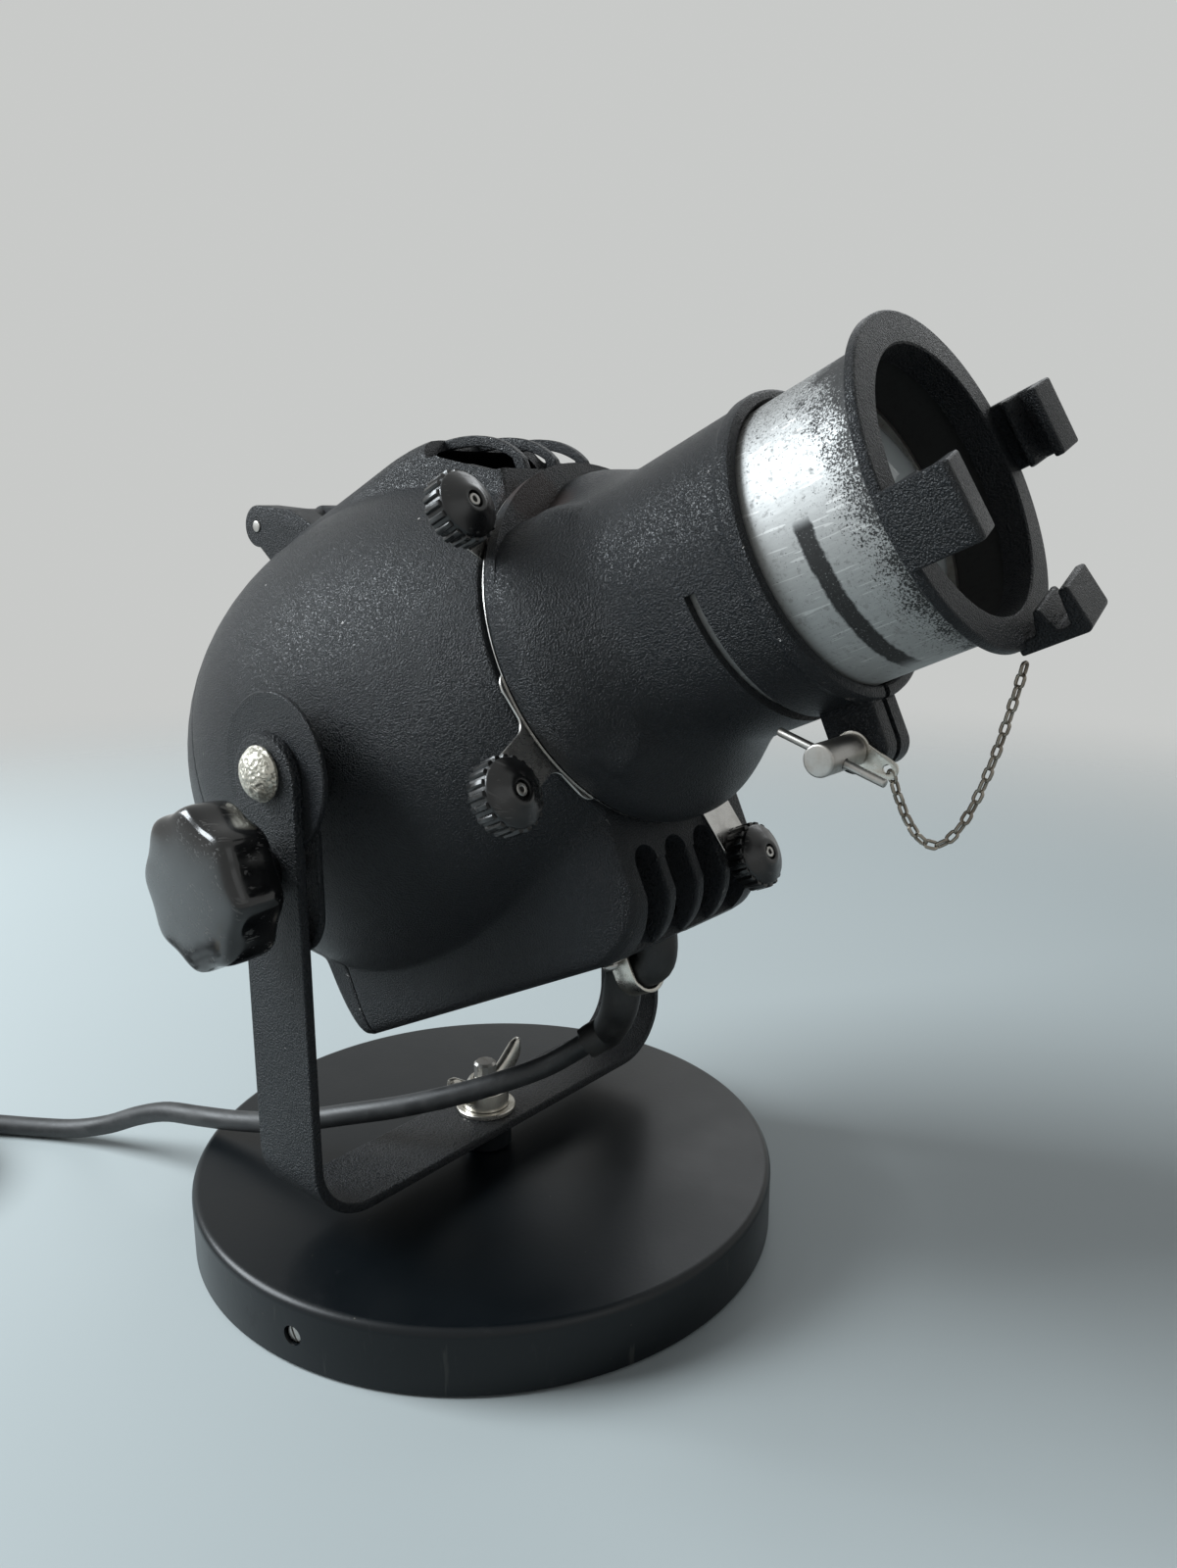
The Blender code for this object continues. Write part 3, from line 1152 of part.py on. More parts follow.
def make_lens_tube(focus):
    inner = TUBE_RADIUS - TUBE_WALL
    front = HOLDER_REAR - SEAT_GAP
    profile = [(inner, TUBE_REAR), (TUBE_RADIUS, TUBE_REAR), (TUBE_RADIUS, front), (inner, front)]
    as_part(place(turned(profile, 36), focus, rotation=ALONG_X), "lens_tube", "aluminium")

    spigot = inner - SEAT_GAP
    soft = HOLDER_CHAMFER
    profile = [
        (HOLDER_HOLE, HOLDER_REAR - HOLDER_SPIGOT),
        (spigot, HOLDER_REAR - HOLDER_SPIGOT),
        (spigot, HOLDER_REAR),
        (HOLDER_RADIUS - soft, HOLDER_REAR),
        (HOLDER_RADIUS, HOLDER_REAR + soft),
        (HOLDER_RADIUS, HOLDER_FRONT - soft),
        (HOLDER_RADIUS - soft, HOLDER_FRONT),
        (HOLDER_HOLE, HOLDER_FRONT),
    ]
    holder = place(turned(profile, 36), focus, rotation=ALONG_X)
    as_part(holder, "colour_frame_holder", "textured_black")
    for angle in LUG_ANGLES:
        join(holder, place(lug(), focus, rotation=(angle - math.pi / 2, 0, 0)))

    lens_radius = inner - SEAT_GAP
    edge_front = LENS_REAR + LENS_THICKNESS
    sphere = (lens_radius**2 + LENS_BULGE**2) / (2 * LENS_BULGE)
    profile = [(0, LENS_REAR), (lens_radius, LENS_REAR), (lens_radius, edge_front)]
    steps = 5
    top_angle = math.asin(lens_radius / sphere)
    for i in range(1, steps):
        angle = top_angle * (1 - i / steps)
        profile.append((sphere * math.sin(angle), edge_front + LENS_BULGE - sphere * (1 - math.cos(angle))))
    profile.append((0, edge_front + LENS_BULGE))
    as_part(place(turned(profile, 24), focus, rotation=ALONG_X), "lens", "glass")
    rim = edge_front + SEAT_GAP + 1.6 * MM
    for name, low in (("lens_retainer", rim), ("lens_seat", LENS_REAR - SEAT_GAP - RETAINER_WIDTH)):
        depth = 2.2 * MM
        ring = turned([(lens_radius - depth, low), (lens_radius, low), (lens_radius, low + RETAINER_WIDTH),
                       (lens_radius - depth, low + RETAINER_WIDTH)], 20)
        as_part(place(ring, focus, rotation=ALONG_X), name, "steel")


def lug():
    """A lug with its two channels, outline in X and Z, standing at the top of the holder."""
    outer = HOLDER_RADIUS + 0.8 * MM
    floor = outer - LUG_THICKNESS
    root, end = HOLDER_REAR + MM, HOLDER_FRONT + LUG_REACH
    tooth = HOLDER_FRONT + LUG_CHANNEL
    hook = HOLDER_FRONT + LUG_HOOK_START
    outline = [
        (root, outer),
        (end - 2 * MM, outer),
        (end, outer - 2 * MM),
        (end - 1.4 * MM, floor - LUG_HOOK_HEIGHT),
        (hook + 0.8 * MM, floor - LUG_HOOK_HEIGHT),
        (hook, floor + 0.6 * MM),
        (tooth + LUG_TOOTH_BASE, floor + 0.6 * MM),
        (tooth + LUG_TOOTH_BASE / 2 + 0.8 * MM, floor - LUG_TOOTH_HEIGHT),
        (tooth + LUG_TOOTH_BASE / 2 - 0.8 * MM, floor - LUG_TOOTH_HEIGHT),
        (tooth, floor),
        (root, floor),
    ]
    solid = place(plate(outline, LUG_WIDTH), None, rotation=OUTLINE_XZ)
    bpy.context.view_layer.update()
    solid.data.transform(solid.matrix_world)
    solid.rotation_euler = (0, 0, 0)
    return rounding(solid, 0.5 * MM, 1)


# Safety chain


def chain_route(start, end):
    """Points along the chain's sag between its two ends, with gravity down the world's Z."""
    points = []
    steps = 60
    for i in range(steps + 1):
        share = i / steps
        point = start.lerp(end, share)
        point.z -= CHAIN_SAG * 4 * share * (1 - share)
        points.append(point)
    return points


def make_chain(start):
    stand = HOLDER_RADIUS + 4 * MM
    end = in_world((CHAIN_END_X, stand * math.cos(CHAIN_END_ANGLE), stand * math.sin(CHAIN_END_ANGLE)))
    route = chain_route(in_world(start), end)
    path = smooth_route(route, route_length(route) / CHAIN_LINKS)
    pitch = route_length(path) / (len(path) - 1)
    length = pitch + 3.5 * CHAIN_WIRE_RADIUS
    groups = [bmesh.new(), bmesh.new()]
    for i in range(len(path) - 1):
        along = (path[i + 1] - path[i]).normalized()
        turn = along.to_track_quat("X", "Y").to_matrix().to_4x4()
        roll = Matrix.Rotation(math.radians(45 + 90 * (i % 2)), 4, "X")
        link = chain_link(length)
        matrix = Matrix.Translation((path[i] + path[i + 1]) / 2) @ turn @ roll
        bmesh.ops.transform(link, matrix=matrix, verts=link.verts)
        mesh = bpy.data.meshes.new("link")
        link.to_mesh(mesh)
        link.free()
        groups[i % 2].from_mesh(mesh)
        bpy.data.meshes.remove(mesh)
    odd, even = from_bmesh(groups[0], "links"), from_bmesh(groups[1], "links")
    as_part(odd, "safety_chain", "steel")
    join(odd, even)


def chain_link(length):
    """One oval wire link, long along X and flat in XY."""
    shape = bmesh.new()
    half_width = 2.6 * CHAIN_WIRE_RADIUS
    straight = length / 2 - half_width - CHAIN_WIRE_RADIUS
    corners, sides = 6, 4
    rings = []
    for i in range(corners):
        angle = 2 * math.pi * (i + 0.5) / corners
        centre = Vector((half_width * math.cos(angle), half_width * math.sin(angle), 0))
        centre.x += math.copysign(max(straight, 0), math.cos(angle))
        outward = Vector((math.cos(angle), math.sin(angle), 0))
        ring = []
        for k in range(sides):
            turn = 2 * math.pi * k / sides
            offset = outward * math.cos(turn) + Vector((0, 0, 1)) * math.sin(turn)
            ring.append(shape.verts.new(centre + offset * CHAIN_WIRE_RADIUS))
        rings.append(ring)
    for i in range(corners):
        first, second = rings[i], rings[(i + 1) % corners]
        for k in range(sides):
            n = (k + 1) % sides
            shape.faces.new((first[k], first[n], second[n], second[k]))
    bmesh.ops.recalc_face_normals(shape, faces=shape.faces)
    return shape


# Cable

# The sleeve's own bend behind the saddle, in mm
SLEEVE_BEND = (73.3, 2.0, 111.5)

# The free cable's own points in mm: from the sleeve over the base, off its rim and along the table
CABLE_ROUTE = (
    (56.1, 3.3, 90.7),
    (49.5, 1.2, 84.6),
    (40.8, -4.1, 78.4),
    (23.7, -21.0, 70.2),
    (-2.3, -40.6, 60.6),
    (-33.0, -56.3, 51.2),
    (-60.0, -65.6, 42.5),
    (-90.0, -72.0, 35.4),
    (-111.0, -77.0, 32.4),
    (-131.0, -80.5, 28.5),
    (-152.0, -84.5, 20.0),
    (-171.0, -90.0, 11.0),
    (-189.0, -97.5, 6.0),
    (-206.0, -107.0, 4.8),
    (-223.5, -118.0, 4.8),
    (-241.0, -130.5, 5.0),
    (-259.0, -145.0, 5.6),
)


def make_cable():
    route = [Vector(point) * MM for point in CABLE_ROUTE]
    path = smooth_route(route, 2.4 * 2 * CABLE_RADIUS)
    heading = (path[-1] - path[-2]).normalized()
    heading.z = 0
    heading.normalize()
    as_part(tube(path, CABLE_RADIUS), "mains_cable", "rubber")
    start_heading = (path[1] - path[0]).normalized()

    coil, centre = coil_points(path[-1] + heading * SEAT_GAP, heading)
    as_part(tube(coil, CABLE_RADIUS, 1), "cable_coil", "rubber")
    print("coil gap to itself, mm:", round(least_gap(coil) / MM, 2))
    print("cable length, m:", round(route_length(path) + route_length(coil), 3))
    make_tie(centre)
    make_plug(coil[-1], (coil[-1] - coil[-2]).normalized())
    make_sleeve(path[0], start_heading)


def coil_points(start, heading):
    """A round coil in two layers: inward below, outward above, then a straight run to the plug."""
    outer = COIL_MID_RADIUS + COIL_TURNS / 4 * COIL_PITCH
    left = Vector((-heading.y, heading.x, 0))
    lead = 2 * CABLE_RADIUS
    first = start + heading * lead
    centre = first + left * outer
    centre.z = 0
    phase = math.atan2(-left.y, -left.x)
    low = CABLE_RADIUS + TIE_THICKNESS + SEAT_GAP
    layer = 2 * CABLE_RADIUS + 0.8 * MM
    points = [start.copy()]
    steps = round(24 * COIL_TURNS)
    half_way = COIL_TURNS / 2
    for i in range(steps + 1):
        turns = COIL_TURNS * i / steps
        inward = half_way - abs(turns - half_way)
        radius = outer - COIL_PITCH * inward
        climb = min(max((turns - half_way) / 0.5 + 0.5, 0), 1)
        rise = layer * (0.5 - 0.5 * math.cos(math.pi * climb))
        settle = min(turns / 0.15, 1)
        height = start.z + (low - start.z) * settle
        angle = phase + 2 * math.pi * turns
        points.append(Vector((centre.x + radius * math.cos(angle), centre.y + radius * math.sin(angle),
                              height + rise)))
    leave = (points[-1] - points[-2])
    leave.z = 0
    leave.normalize()
    end_height = PLUG_RADIUS + SEAT_GAP
    base_height = points[-1].z
    tail = points[-1].copy()
    for i in range(1, 6):
        share = i / 5
        point = tail + leave * (11 * MM * i)
        point.z = base_height + (end_height - base_height) * (0.5 - 0.5 * math.cos(math.pi * share))
        points.append(point)
    last = points[-1] + leave * lead
    points.append(last)
    return points, centre


def least_gap(points):
    """The least gap of a tube to itself, measured between turns."""
    nearest = 1.0
    for i, a in enumerate(points):
        for j in range(i + 8, len(points) - 1):
            b, c = points[j], points[j + 1]
            share = min(max((a - b).dot(c - b) / (c - b).length_squared, 0), 1)
            nearest = min(nearest, (a - b.lerp(c, share)).length)
    return nearest - 2 * CABLE_RADIUS


def make_tie(centre):
    """A flat strap round all the turns."""
    spread = COIL_TURNS / 2 * COIL_PITCH / 2 + CABLE_RADIUS + 2.5 * MM
    height = 4 * CABLE_RADIUS + TIE_THICKNESS + 2.2 * MM
    outer_x, outer_z = spread + TIE_THICKNESS, height / 2 + TIE_THICKNESS
    inner_x, inner_z = spread, height / 2 - 0.2 * MM
    outline = [(-outer_x, -outer_z), (outer_x, -outer_z), (outer_x, outer_z), (-outer_x, outer_z)]
    hole = [(-inner_x, -inner_z), (inner_x, -inner_z), (inner_x, inner_z), (-inner_x, inner_z)]
    tie = plate(outline, TIE_WIDTH, [hole])
    turn = math.radians(200)
    spot = centre + Vector((math.cos(turn), math.sin(turn), 0)) * COIL_MID_RADIUS
    spot.z = outer_z
    place(tie, None, spot, (math.pi / 2, 0, turn))
    as_part(tie, "coil_tie", "felt")


def make_plug(entry, heading):
    gap = SEAT_GAP
    profile = [
        (0, gap),
        (6 * MM, gap),
        (7 * MM, 12 * MM),
        (PLUG_RADIUS - 3 * MM, 18 * MM),
        (PLUG_RADIUS, 26 * MM),
        (PLUG_RADIUS, PLUG_LENGTH - 2 * MM),
        (PLUG_RADIUS - 2 * MM, PLUG_LENGTH),
        (0, PLUG_LENGTH),
    ]
    turn = heading.to_track_quat("Z", "Y").to_euler()
    plug = as_part(place(turned(profile, 16), None, entry, turn), "plug_body", "rubber")
    spacing = 7 * MM
    for index, name in enumerate(("earth", "live", "neutral")):
        angle = math.radians(90 + 120 * index)
        x, y = spacing * math.cos(angle), spacing * math.sin(angle)
        radius = PIN_RADIUS if index else PIN_RADIUS * 1.3
        sink = 6 * MM
        pin = rod(radius, (x, y, PLUG_LENGTH - sink), (x, y, PLUG_LENGTH + PIN_LENGTH), 12)
        place(pin, None, entry, turn)
        as_part(pin, "plug_pin_" + name, "brass")
        socket = rod(radius + gap, (x, y, PLUG_LENGTH - sink - gap), (x, y, PLUG_LENGTH + 9 * MM), 12)
        cut(plug, place(socket, None, entry, turn))


def sleeve_entry():
    """Two points on the line along which the sleeve comes out of the vent box's floor."""
    inside = SADDLE_X + 20 * MM
    outside = SADDLE_X + 16.5 * MM
    return Vector((inside, 0, -vent_floor(inside) + 5 * MM)), Vector((outside, 0, -vent_floor(outside) - 2 * MM))


def make_sleeve(cable_start, heading):
    """The rubber sleeve: out of the vent box's floor, under the saddle, down to the cable."""
    floor = -vent_floor(SADDLE_X - SADDLE_WIDTH / 2) - SLEEVE_RADIUS - SEAT_GAP
    optical_points = [
        *sleeve_entry(),
        (SADDLE_X + 11 * MM, 0, floor + 1.5 * MM),
        (SADDLE_X + SADDLE_WIDTH / 2, 0, floor),
        (SADDLE_X, 0, floor),
        (SADDLE_X - SADDLE_WIDTH / 2, 0, floor),
        (SADDLE_X - 0.8 * SADDLE_WIDTH, 0, floor),
    ]
    end = cable_start - heading * SEAT_GAP
    route = [in_world(point) for point in optical_points]
    route += [Vector(SLEEVE_BEND) * MM, end - heading * 10 * MM, end - heading * 5 * MM, end]
    path = smooth_route(route, 5.5 * MM)
    radii = []
    for i in range(len(path)):
        share = i / (len(path) - 1)
        radii.append(SLEEVE_RADIUS + (SLEEVE_END_RADIUS - SLEEVE_RADIUS) * max(0, share - 0.5) * 2)
    as_part(as_mesh(tube(path, SLEEVE_RADIUS, 2, radii)), "cable_sleeve", "rubber")


def make_saddle(optical):
    """The bent strap that holds the sleeve under the vent box, and its two screws."""
    inner = SLEEVE_RADIUS + SADDLE_CLEARANCE
    outer = inner + SADDLE_SHEET
    drop = -vent_floor(SADDLE_X - SADDLE_WIDTH / 2) - SEAT_GAP
    centre = (0, drop - SLEEVE_RADIUS)
    foot = outer + 8 * MM
    outline = [(foot, drop), (inner + 0.1 * MM, drop)]
    outline += arc(centre, inner, 0, -180, 10)
    outline += [(-inner - 0.1 * MM, drop), (-foot, drop), (-foot, drop - SADDLE_SHEET), (-outer, drop - SADDLE_SHEET)]
    outline += arc(centre, outer, 180, 360, 10)
    outline += [(outer, drop - SADDLE_SHEET), (foot, drop - SADDLE_SHEET)]
    saddle = plate(outline, SADDLE_WIDTH)
    place(saddle, optical, (SADDLE_X, 0, 0), OUTLINE_YZ)
    as_part(saddle, "cable_saddle", "nickel")
    for name, side in (("near", -1), ("far", 1)):
        y = side * (foot - 4 * MM)
        hole = rod(1.9 * MM, (SADDLE_X, y, drop - 9 * MM), (SADDLE_X, y, drop + 9 * MM), 12)
        cut(saddle, place(hole, optical))
        low = drop - SADDLE_SHEET - SEAT_GAP
        profile = [(0, low - 2.2 * MM), (2.2 * MM, low - 2.2 * MM), (3.4 * MM, low - 1.2 * MM), (3.4 * MM, low),
                   (1.6 * MM, low), (1.6 * MM, drop + 0.3 * SEAT_GAP), (0, drop + 0.3 * SEAT_GAP)]
        screw = turned(profile, 8)
        as_part(place(screw, optical, (SADDLE_X, y, 0)), "saddle_screw_" + name, "steel")


def main():
    clear_scene()
    world = empty("base_frame")
    pan = empty("pan_axis", world)
    lock_axis = empty("lock_axis", pan, (0, 0, PIVOT_HEIGHT - STUD_DROP))
    tilt = empty("tilt_axis", pan, (0, 0, PIVOT_HEIGHT), (0, -TILT, 0))
    optical = empty("optical_axis", tilt, (0, 0, AXIS_RISE))
    cover_axis = empty("cover_axis", optical, (HINGE_PIN_X, 0, HINGE_PIN_Z))
    focus = empty("focus_axis", optical)
    screw_axis = empty("clamp_screw_axis", optical, (CLAMP_SCREW_X, 0, -CLAMP_SCREW_DROP))
    bar_y = EAR_GAP / 2 + EAR_THICKNESS + TAG_THICKNESS + 2 * SEAT_GAP + 0.62 * CLAMP_HEAD_LENGTH
    tommy_slide = empty("tommy_axis", screw_axis, (0, -bar_y, 0))
    bpy.context.view_layer.update()

    make_base(world)
    make_wing_nut(world)
    make_fork(pan)
    make_tilt_lock(pan, lock_axis)
    make_tilt_disc(optical)
    make_lamp_house(optical)
    make_rear_cover(cover_axis)
    make_hinge_pin(optical)
    make_lamp(optical)
    make_gate(optical)
    make_shutters(optical)
    make_front_barrel(optical)
    chain_start = make_clamp(optical, screw_axis, tommy_slide)
    make_lens_tube(focus)
    make_chain(chain_start)
    make_saddle(optical)
    make_cable()


main()
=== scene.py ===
"""Looks of a theatre profile spotlight on a round table base.

Metres, +Z up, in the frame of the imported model. Head pieces are made in the optical frame: X forward along
the optical axis from the foot of the tilt axis, Y across, Z up and square to both.
"""
from math import asin, atan2, copysign, cos, degrees, exp, log1p, pi, radians, sin, sqrt

import bmesh
import bpy
from bpy.props import FloatProperty, FloatVectorProperty, IntProperty, PointerProperty
from mathutils import Matrix, Vector, noise


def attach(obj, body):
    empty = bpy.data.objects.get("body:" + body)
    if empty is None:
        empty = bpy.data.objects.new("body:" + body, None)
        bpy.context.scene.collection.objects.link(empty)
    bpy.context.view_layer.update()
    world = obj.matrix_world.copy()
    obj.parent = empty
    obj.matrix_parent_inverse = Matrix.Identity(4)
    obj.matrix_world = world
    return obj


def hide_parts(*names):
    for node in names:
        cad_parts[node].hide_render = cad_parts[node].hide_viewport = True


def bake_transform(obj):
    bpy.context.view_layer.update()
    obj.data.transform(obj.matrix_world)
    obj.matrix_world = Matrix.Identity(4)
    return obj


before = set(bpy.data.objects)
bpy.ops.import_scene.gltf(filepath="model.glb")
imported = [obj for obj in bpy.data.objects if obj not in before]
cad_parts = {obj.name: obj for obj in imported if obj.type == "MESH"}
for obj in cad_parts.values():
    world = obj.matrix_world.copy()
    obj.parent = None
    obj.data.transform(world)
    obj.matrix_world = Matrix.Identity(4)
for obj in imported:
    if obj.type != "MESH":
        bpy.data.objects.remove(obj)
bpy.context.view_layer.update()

bl_info = {
    "name": "Theatre profile spotlight",
    "version": (1, 0, 0),
    "blender": (4, 5, 0),
    "location": "View3D > Sidebar > Spotlight",
    "description": "Builds the finished pieces of a profile spotlight around its packed frame",
    "category": "Object",
}

MM = 0.001
SEAT_GAP = 0.3 * MM
RUNNING_GAP = 0.5 * MM

# Base
BASE_RADIUS = 125 * MM
BASE_HEIGHT = 27 * MM
BASE_SHEET = 1.6 * MM
BASE_EDGE_RADIUS = 3.5 * MM
COVER_LIFT = 0.8 * MM
BOLT_RADIUS = 5 * MM
RIM_SCREW_ANGLE = radians(-79)
RIM_SCREW_HEIGHT = 13 * MM
RIM_SCREW_RADIUS = 3.6 * MM
SPACER_RADIUS = 11 * MM
SPACER_HEIGHT = 12 * MM

# Fork and tilt lock
FORK_HALF_WIDTH = 104 * MM
STRAP_WIDTH = 34 * MM
STRAP_THICKNESS = 4 * MM
FORK_BEND_RADIUS = 26 * MM
ARM_TOP_DROP = 3.5 * MM
PIVOT_HEIGHT = 212.5 * MM
PIVOT_BOLT_RADIUS = 4 * MM
PIVOT_DOME_RADIUS = 10 * MM
PIVOT_DOME_HEIGHT = 6 * MM
TILT = radians(24.9)
TILT_DISC_RADIUS = 28 * MM
TILT_DISC_THICKNESS = 2.4 * MM
TILT_WASHER_RADIUS = 17 * MM
STUD_DROP = 35 * MM
STUD_HEIGHT = PIVOT_HEIGHT - STUD_DROP
STUD_RADIUS = 3.8 * MM
CLAMP_PLATE_TOP = 19 * MM
CLAMP_PLATE_BOTTOM = 67.5 * MM
CLAMP_PLATE_WIDTH = 37 * MM
CLAMP_PLATE_THICKNESS = 2.6 * MM
KNOB_RADIUS = 29 * MM
KNOB_LOBES = 8
KNOB_LOBE_DEPTH = 0.09
KNOB_NECK_RADIUS = 9 * MM
KNOB_NECK_LENGTH = 12 * MM
STUD_SINK = 8 * MM
# Share of the knob's radius, height in mm and share of the lobes' depth
LOCK_KNOB_SECTIONS = (
    (0.86, 0.0, 0.6), (0.905, 0.25, 0.85), (0.945, 1.0, 1.0), (0.975, 2.6, 1.0), (0.992, 5.5, 1.0),
    (1.0, 10.0, 1.0), (1.0, 14.0, 1.0), (0.995, 15.8, 1.0), (0.982, 17.2, 1.0), (0.96, 18.2, 0.98),
    (0.93, 18.9, 0.94), (0.895, 19.3, 0.88), (0.85, 19.6, 0.8), (0.78, 19.9, 0.66), (0.66, 20.25, 0.42),
    (0.5, 20.6, 0.2), (0.3, 20.85, 0.05), (0.12, 20.98, 0),
)
PIVOT_HALF_SPAN = FORK_HALF_WIDTH - STRAP_THICKNESS
CROSSBAR_BOTTOM = BASE_HEIGHT + SPACER_HEIGHT + 2 * SEAT_GAP
CROSSBAR_TOP = CROSSBAR_BOTTOM + STRAP_THICKNESS
WASHER_THICKNESS = 1.8 * MM
WING_START = 5.6 * MM
WING_REACH = 19.6 * MM

# Lamp house
AXIS_RISE = 5 * MM
HOUSE_WIDEST = -29 * MM
HOUSE_HALF_WIDTH = 92 * MM
HOUSE_HALF_HEIGHT = 100 * MM
HOUSE_REAR_REACH = 118 * MM
HOUSE_WALL = 4 * MM
GATE_RADIUS = 67 * MM
HOUSE_FRONT = 84.7 * MM
COVER_PLANE = -72 * MM
HUMP_HALF_WIDTH = 34 * MM
HUMP_HEIGHT = 99 * MM
HUMP_RIDGE = 28 * MM
HUMP_LIP = 66 * MM
HUMP_SLOT_START = 57.5 * MM
HUMP_SLOT_BOTTOM = 72 * MM
HUMP_RIB = 4.4 * MM
HUMP_FLANK_REAR = 86 * MM
HUMP_FLANK_FRONT = 68.5 * MM
HUMP_FLANK_TOP = 130 * MM
VENT_HALF_WIDTH = 46 * MM
VENT_FRONT_HALF_WIDTH = 34 * MM
VENT_DEPTH = 106 * MM
VENT_SLOPE = 0.032
VENT_REAR = -84 * MM
VENT_REAR_ROUND = 8 * MM
VENT_FRONT_ROUND = 23 * MM
VENT_FACE_DEPTH = 80 * MM
VENT_PITCH = 17 * MM
HUMP_CORNER = 9
VENT_CORNER = 20
CREASE_BLEND = 1.2 * MM
HUMP_SLOT_LEAN = radians(-4)
GILL_LENGTH = 44 * MM
SLEEVE_HOLE_RADIUS = 10.6 * MM
COVER_WALL = 3 * MM
VENT_FIN = 5 * MM
FIN_BACK = HOUSE_FRONT - 14 * MM
GILL_START = 69 * MM
GILL_TOP = 70 * MM
FRONT_REACH_SIDE = (HOUSE_FRONT - HOUSE_WIDEST) / sqrt(1 - (GATE_RADIUS / HOUSE_HALF_WIDTH) ** 2)
FRONT_REACH_RISE = (HOUSE_FRONT - HOUSE_WIDEST) / sqrt(1 - (GATE_RADIUS / HOUSE_HALF_HEIGHT) ** 2)
TILT_BOSS_RADIUS = 15 * MM

# Hinge
HINGE_PIN_X = -66 * MM
HINGE_PIN_Z = 114.6 * MM
HINGE_PIN_RADIUS = 2.5 * MM
HINGE_HALF_WIDTH = 24 * MM
HINGE_KNUCKLE_HALF_WIDTH = 11 * MM
HINGE_KNUCKLE_RADIUS = 7.5 * MM
HINGE_EAR_RADIUS = 9 * MM
HINGE_BORE_REACH = 40 * MM

# Gate and shutters
GATE_GAP = 2.7 * MM
FRONT_PLANE = HOUSE_FRONT + GATE_GAP
BLADE_THICKNESS = 0.8 * MM
BLADE_WIDTH = 52 * MM
BLADE_TAIL_WIDTH = 17 * MM
BLADE_REACH = 70 * MM
BLADE_SHOULDER = 40 * MM
SHUTTER_KNOB_RADIUS = 12.5 * MM
SHIM_GAP = 0.06 * MM
SHIM_WIDTH = 3.7 * MM
# Share of the knob's radius, height in mm and depth of the flutes
SHUTTER_KNOB_SECTIONS = (
    (0.96, 0.0, 0.055), (1.0, 0.5, 0.09), (1.0, 6.6, 0.09), (0.985, 7.1, 0.085), (0.93, 7.15, 0.03),
    (0.9, 7.2, 0), (0.895, 7.9, 0), (0.87, 8.25, 0), (0.62, 9.7, 0), (0.43, 11.0, 0), (0.36, 11.5, 0),
    (0.29, 11.65, 0), (0.24, 11.5, 0), (0.215, 10.6, 0), (0.205, 10.0, 0),
)
SHUTTERS = (
    ("upper_near", radians(141), 80.8 * MM),
    ("lower_near", radians(206.5), 95.5 * MM),
    ("lower_far", radians(287.4), 92 * MM),
    ("upper_far", radians(38), 101 * MM),
)

# Front barrel and clamp
BARREL_FLANGE = 6 * MM
FLANGE_END = FRONT_PLANE + BARREL_FLANGE
BARREL_BORE = 47 * MM
BARREL_RADIUS = 50 * MM
BARREL_LIP_RADIUS = 51.2 * MM
BARREL_FRONT = 176.8 * MM
SHOULDER_END = 130 * MM
BLISTER_RADIUS = 10 * MM
BLISTER_START = 3.5 * MM
BLISTER_LENGTH = 23.5 * MM
# Hollows in the shoulder's foot, with their places from the top and their spreads in degrees
POCKET_DEPTH = 11.5 * MM
POCKET_ANGLE = 29
POCKET_SPREAD = 19
TOP_POCKET_DEPTH = 4 * MM
TOP_POCKET_SPREAD = 18
# Posts that hold the barrel off the lamp house, in degrees round the gate
POST_ANGLES = (90, 174, 247, 338)
POST_RADIUS = 2.6 * MM
CLAMP_SLOT_X = 153 * MM
CLAMP_SLOT_WIDTH = 4 * MM
CLAMP_SLOT_HALF_ANGLE = radians(84)
EAR_DROP = 71 * MM
EAR_THICKNESS = 7 * MM
EAR_GAP = 3 * MM
EARS_HALF = EAR_GAP / 2 + EAR_THICKNESS
CLAMP_SCREW_X = 164 * MM
CLAMP_SCREW_DROP = 63 * MM
CLAMP_SCREW_RADIUS = 2.8 * MM
CLAMP_HEAD_RADIUS = 5.2 * MM
CLAMP_HEAD_LENGTH = 21 * MM
TOMMY_RADIUS = 1.4 * MM
TOMMY_LENGTH = 38 * MM
TOMMY_SLOPE = radians(42)
TAG_THICKNESS = 1 * MM
TAG_TIP_RADIUS = 3.4 * MM
TAG_TIP = (9 * MM, -9 * MM)
TAG_Y = -(EARS_HALF + SEAT_GAP + TAG_THICKNESS / 2)

# Lens tube and colour frame holder
TUBE_RADIUS = BARREL_BORE - RUNNING_GAP
TUBE_WALL = 2 * MM
TUBE_REAR = 120 * MM
HOLDER_REAR = 216.2 * MM
HOLDER_THICKNESS = 3.6 * MM
HOLDER_FRONT = HOLDER_REAR + HOLDER_THICKNESS
HOLDER_RADIUS = 52.2 * MM
HOLDER_HOLE = 41.8 * MM
HOLDER_SPIGOT = 6 * MM
LUG_ANGLES = (radians(17), radians(197), radians(287))
LUG_WIDTH = 22 * MM
LUG_REACH = 18.7 * MM
LUG_THICKNESS = 4.5 * MM
LUG_CHANNEL = 3.5 * MM
LUG_TOOTH_BASE = 6 * MM
LUG_TOOTH_HEIGHT = 7 * MM
LUG_HOOK_START = 13.5 * MM
LUG_HOOK_HEIGHT = 10 * MM
LENS_THICKNESS = 4 * MM
LENS_BULGE = 17 * MM
LENS_REAR = 184 * MM
RETAINER_WIDTH = 4 * MM

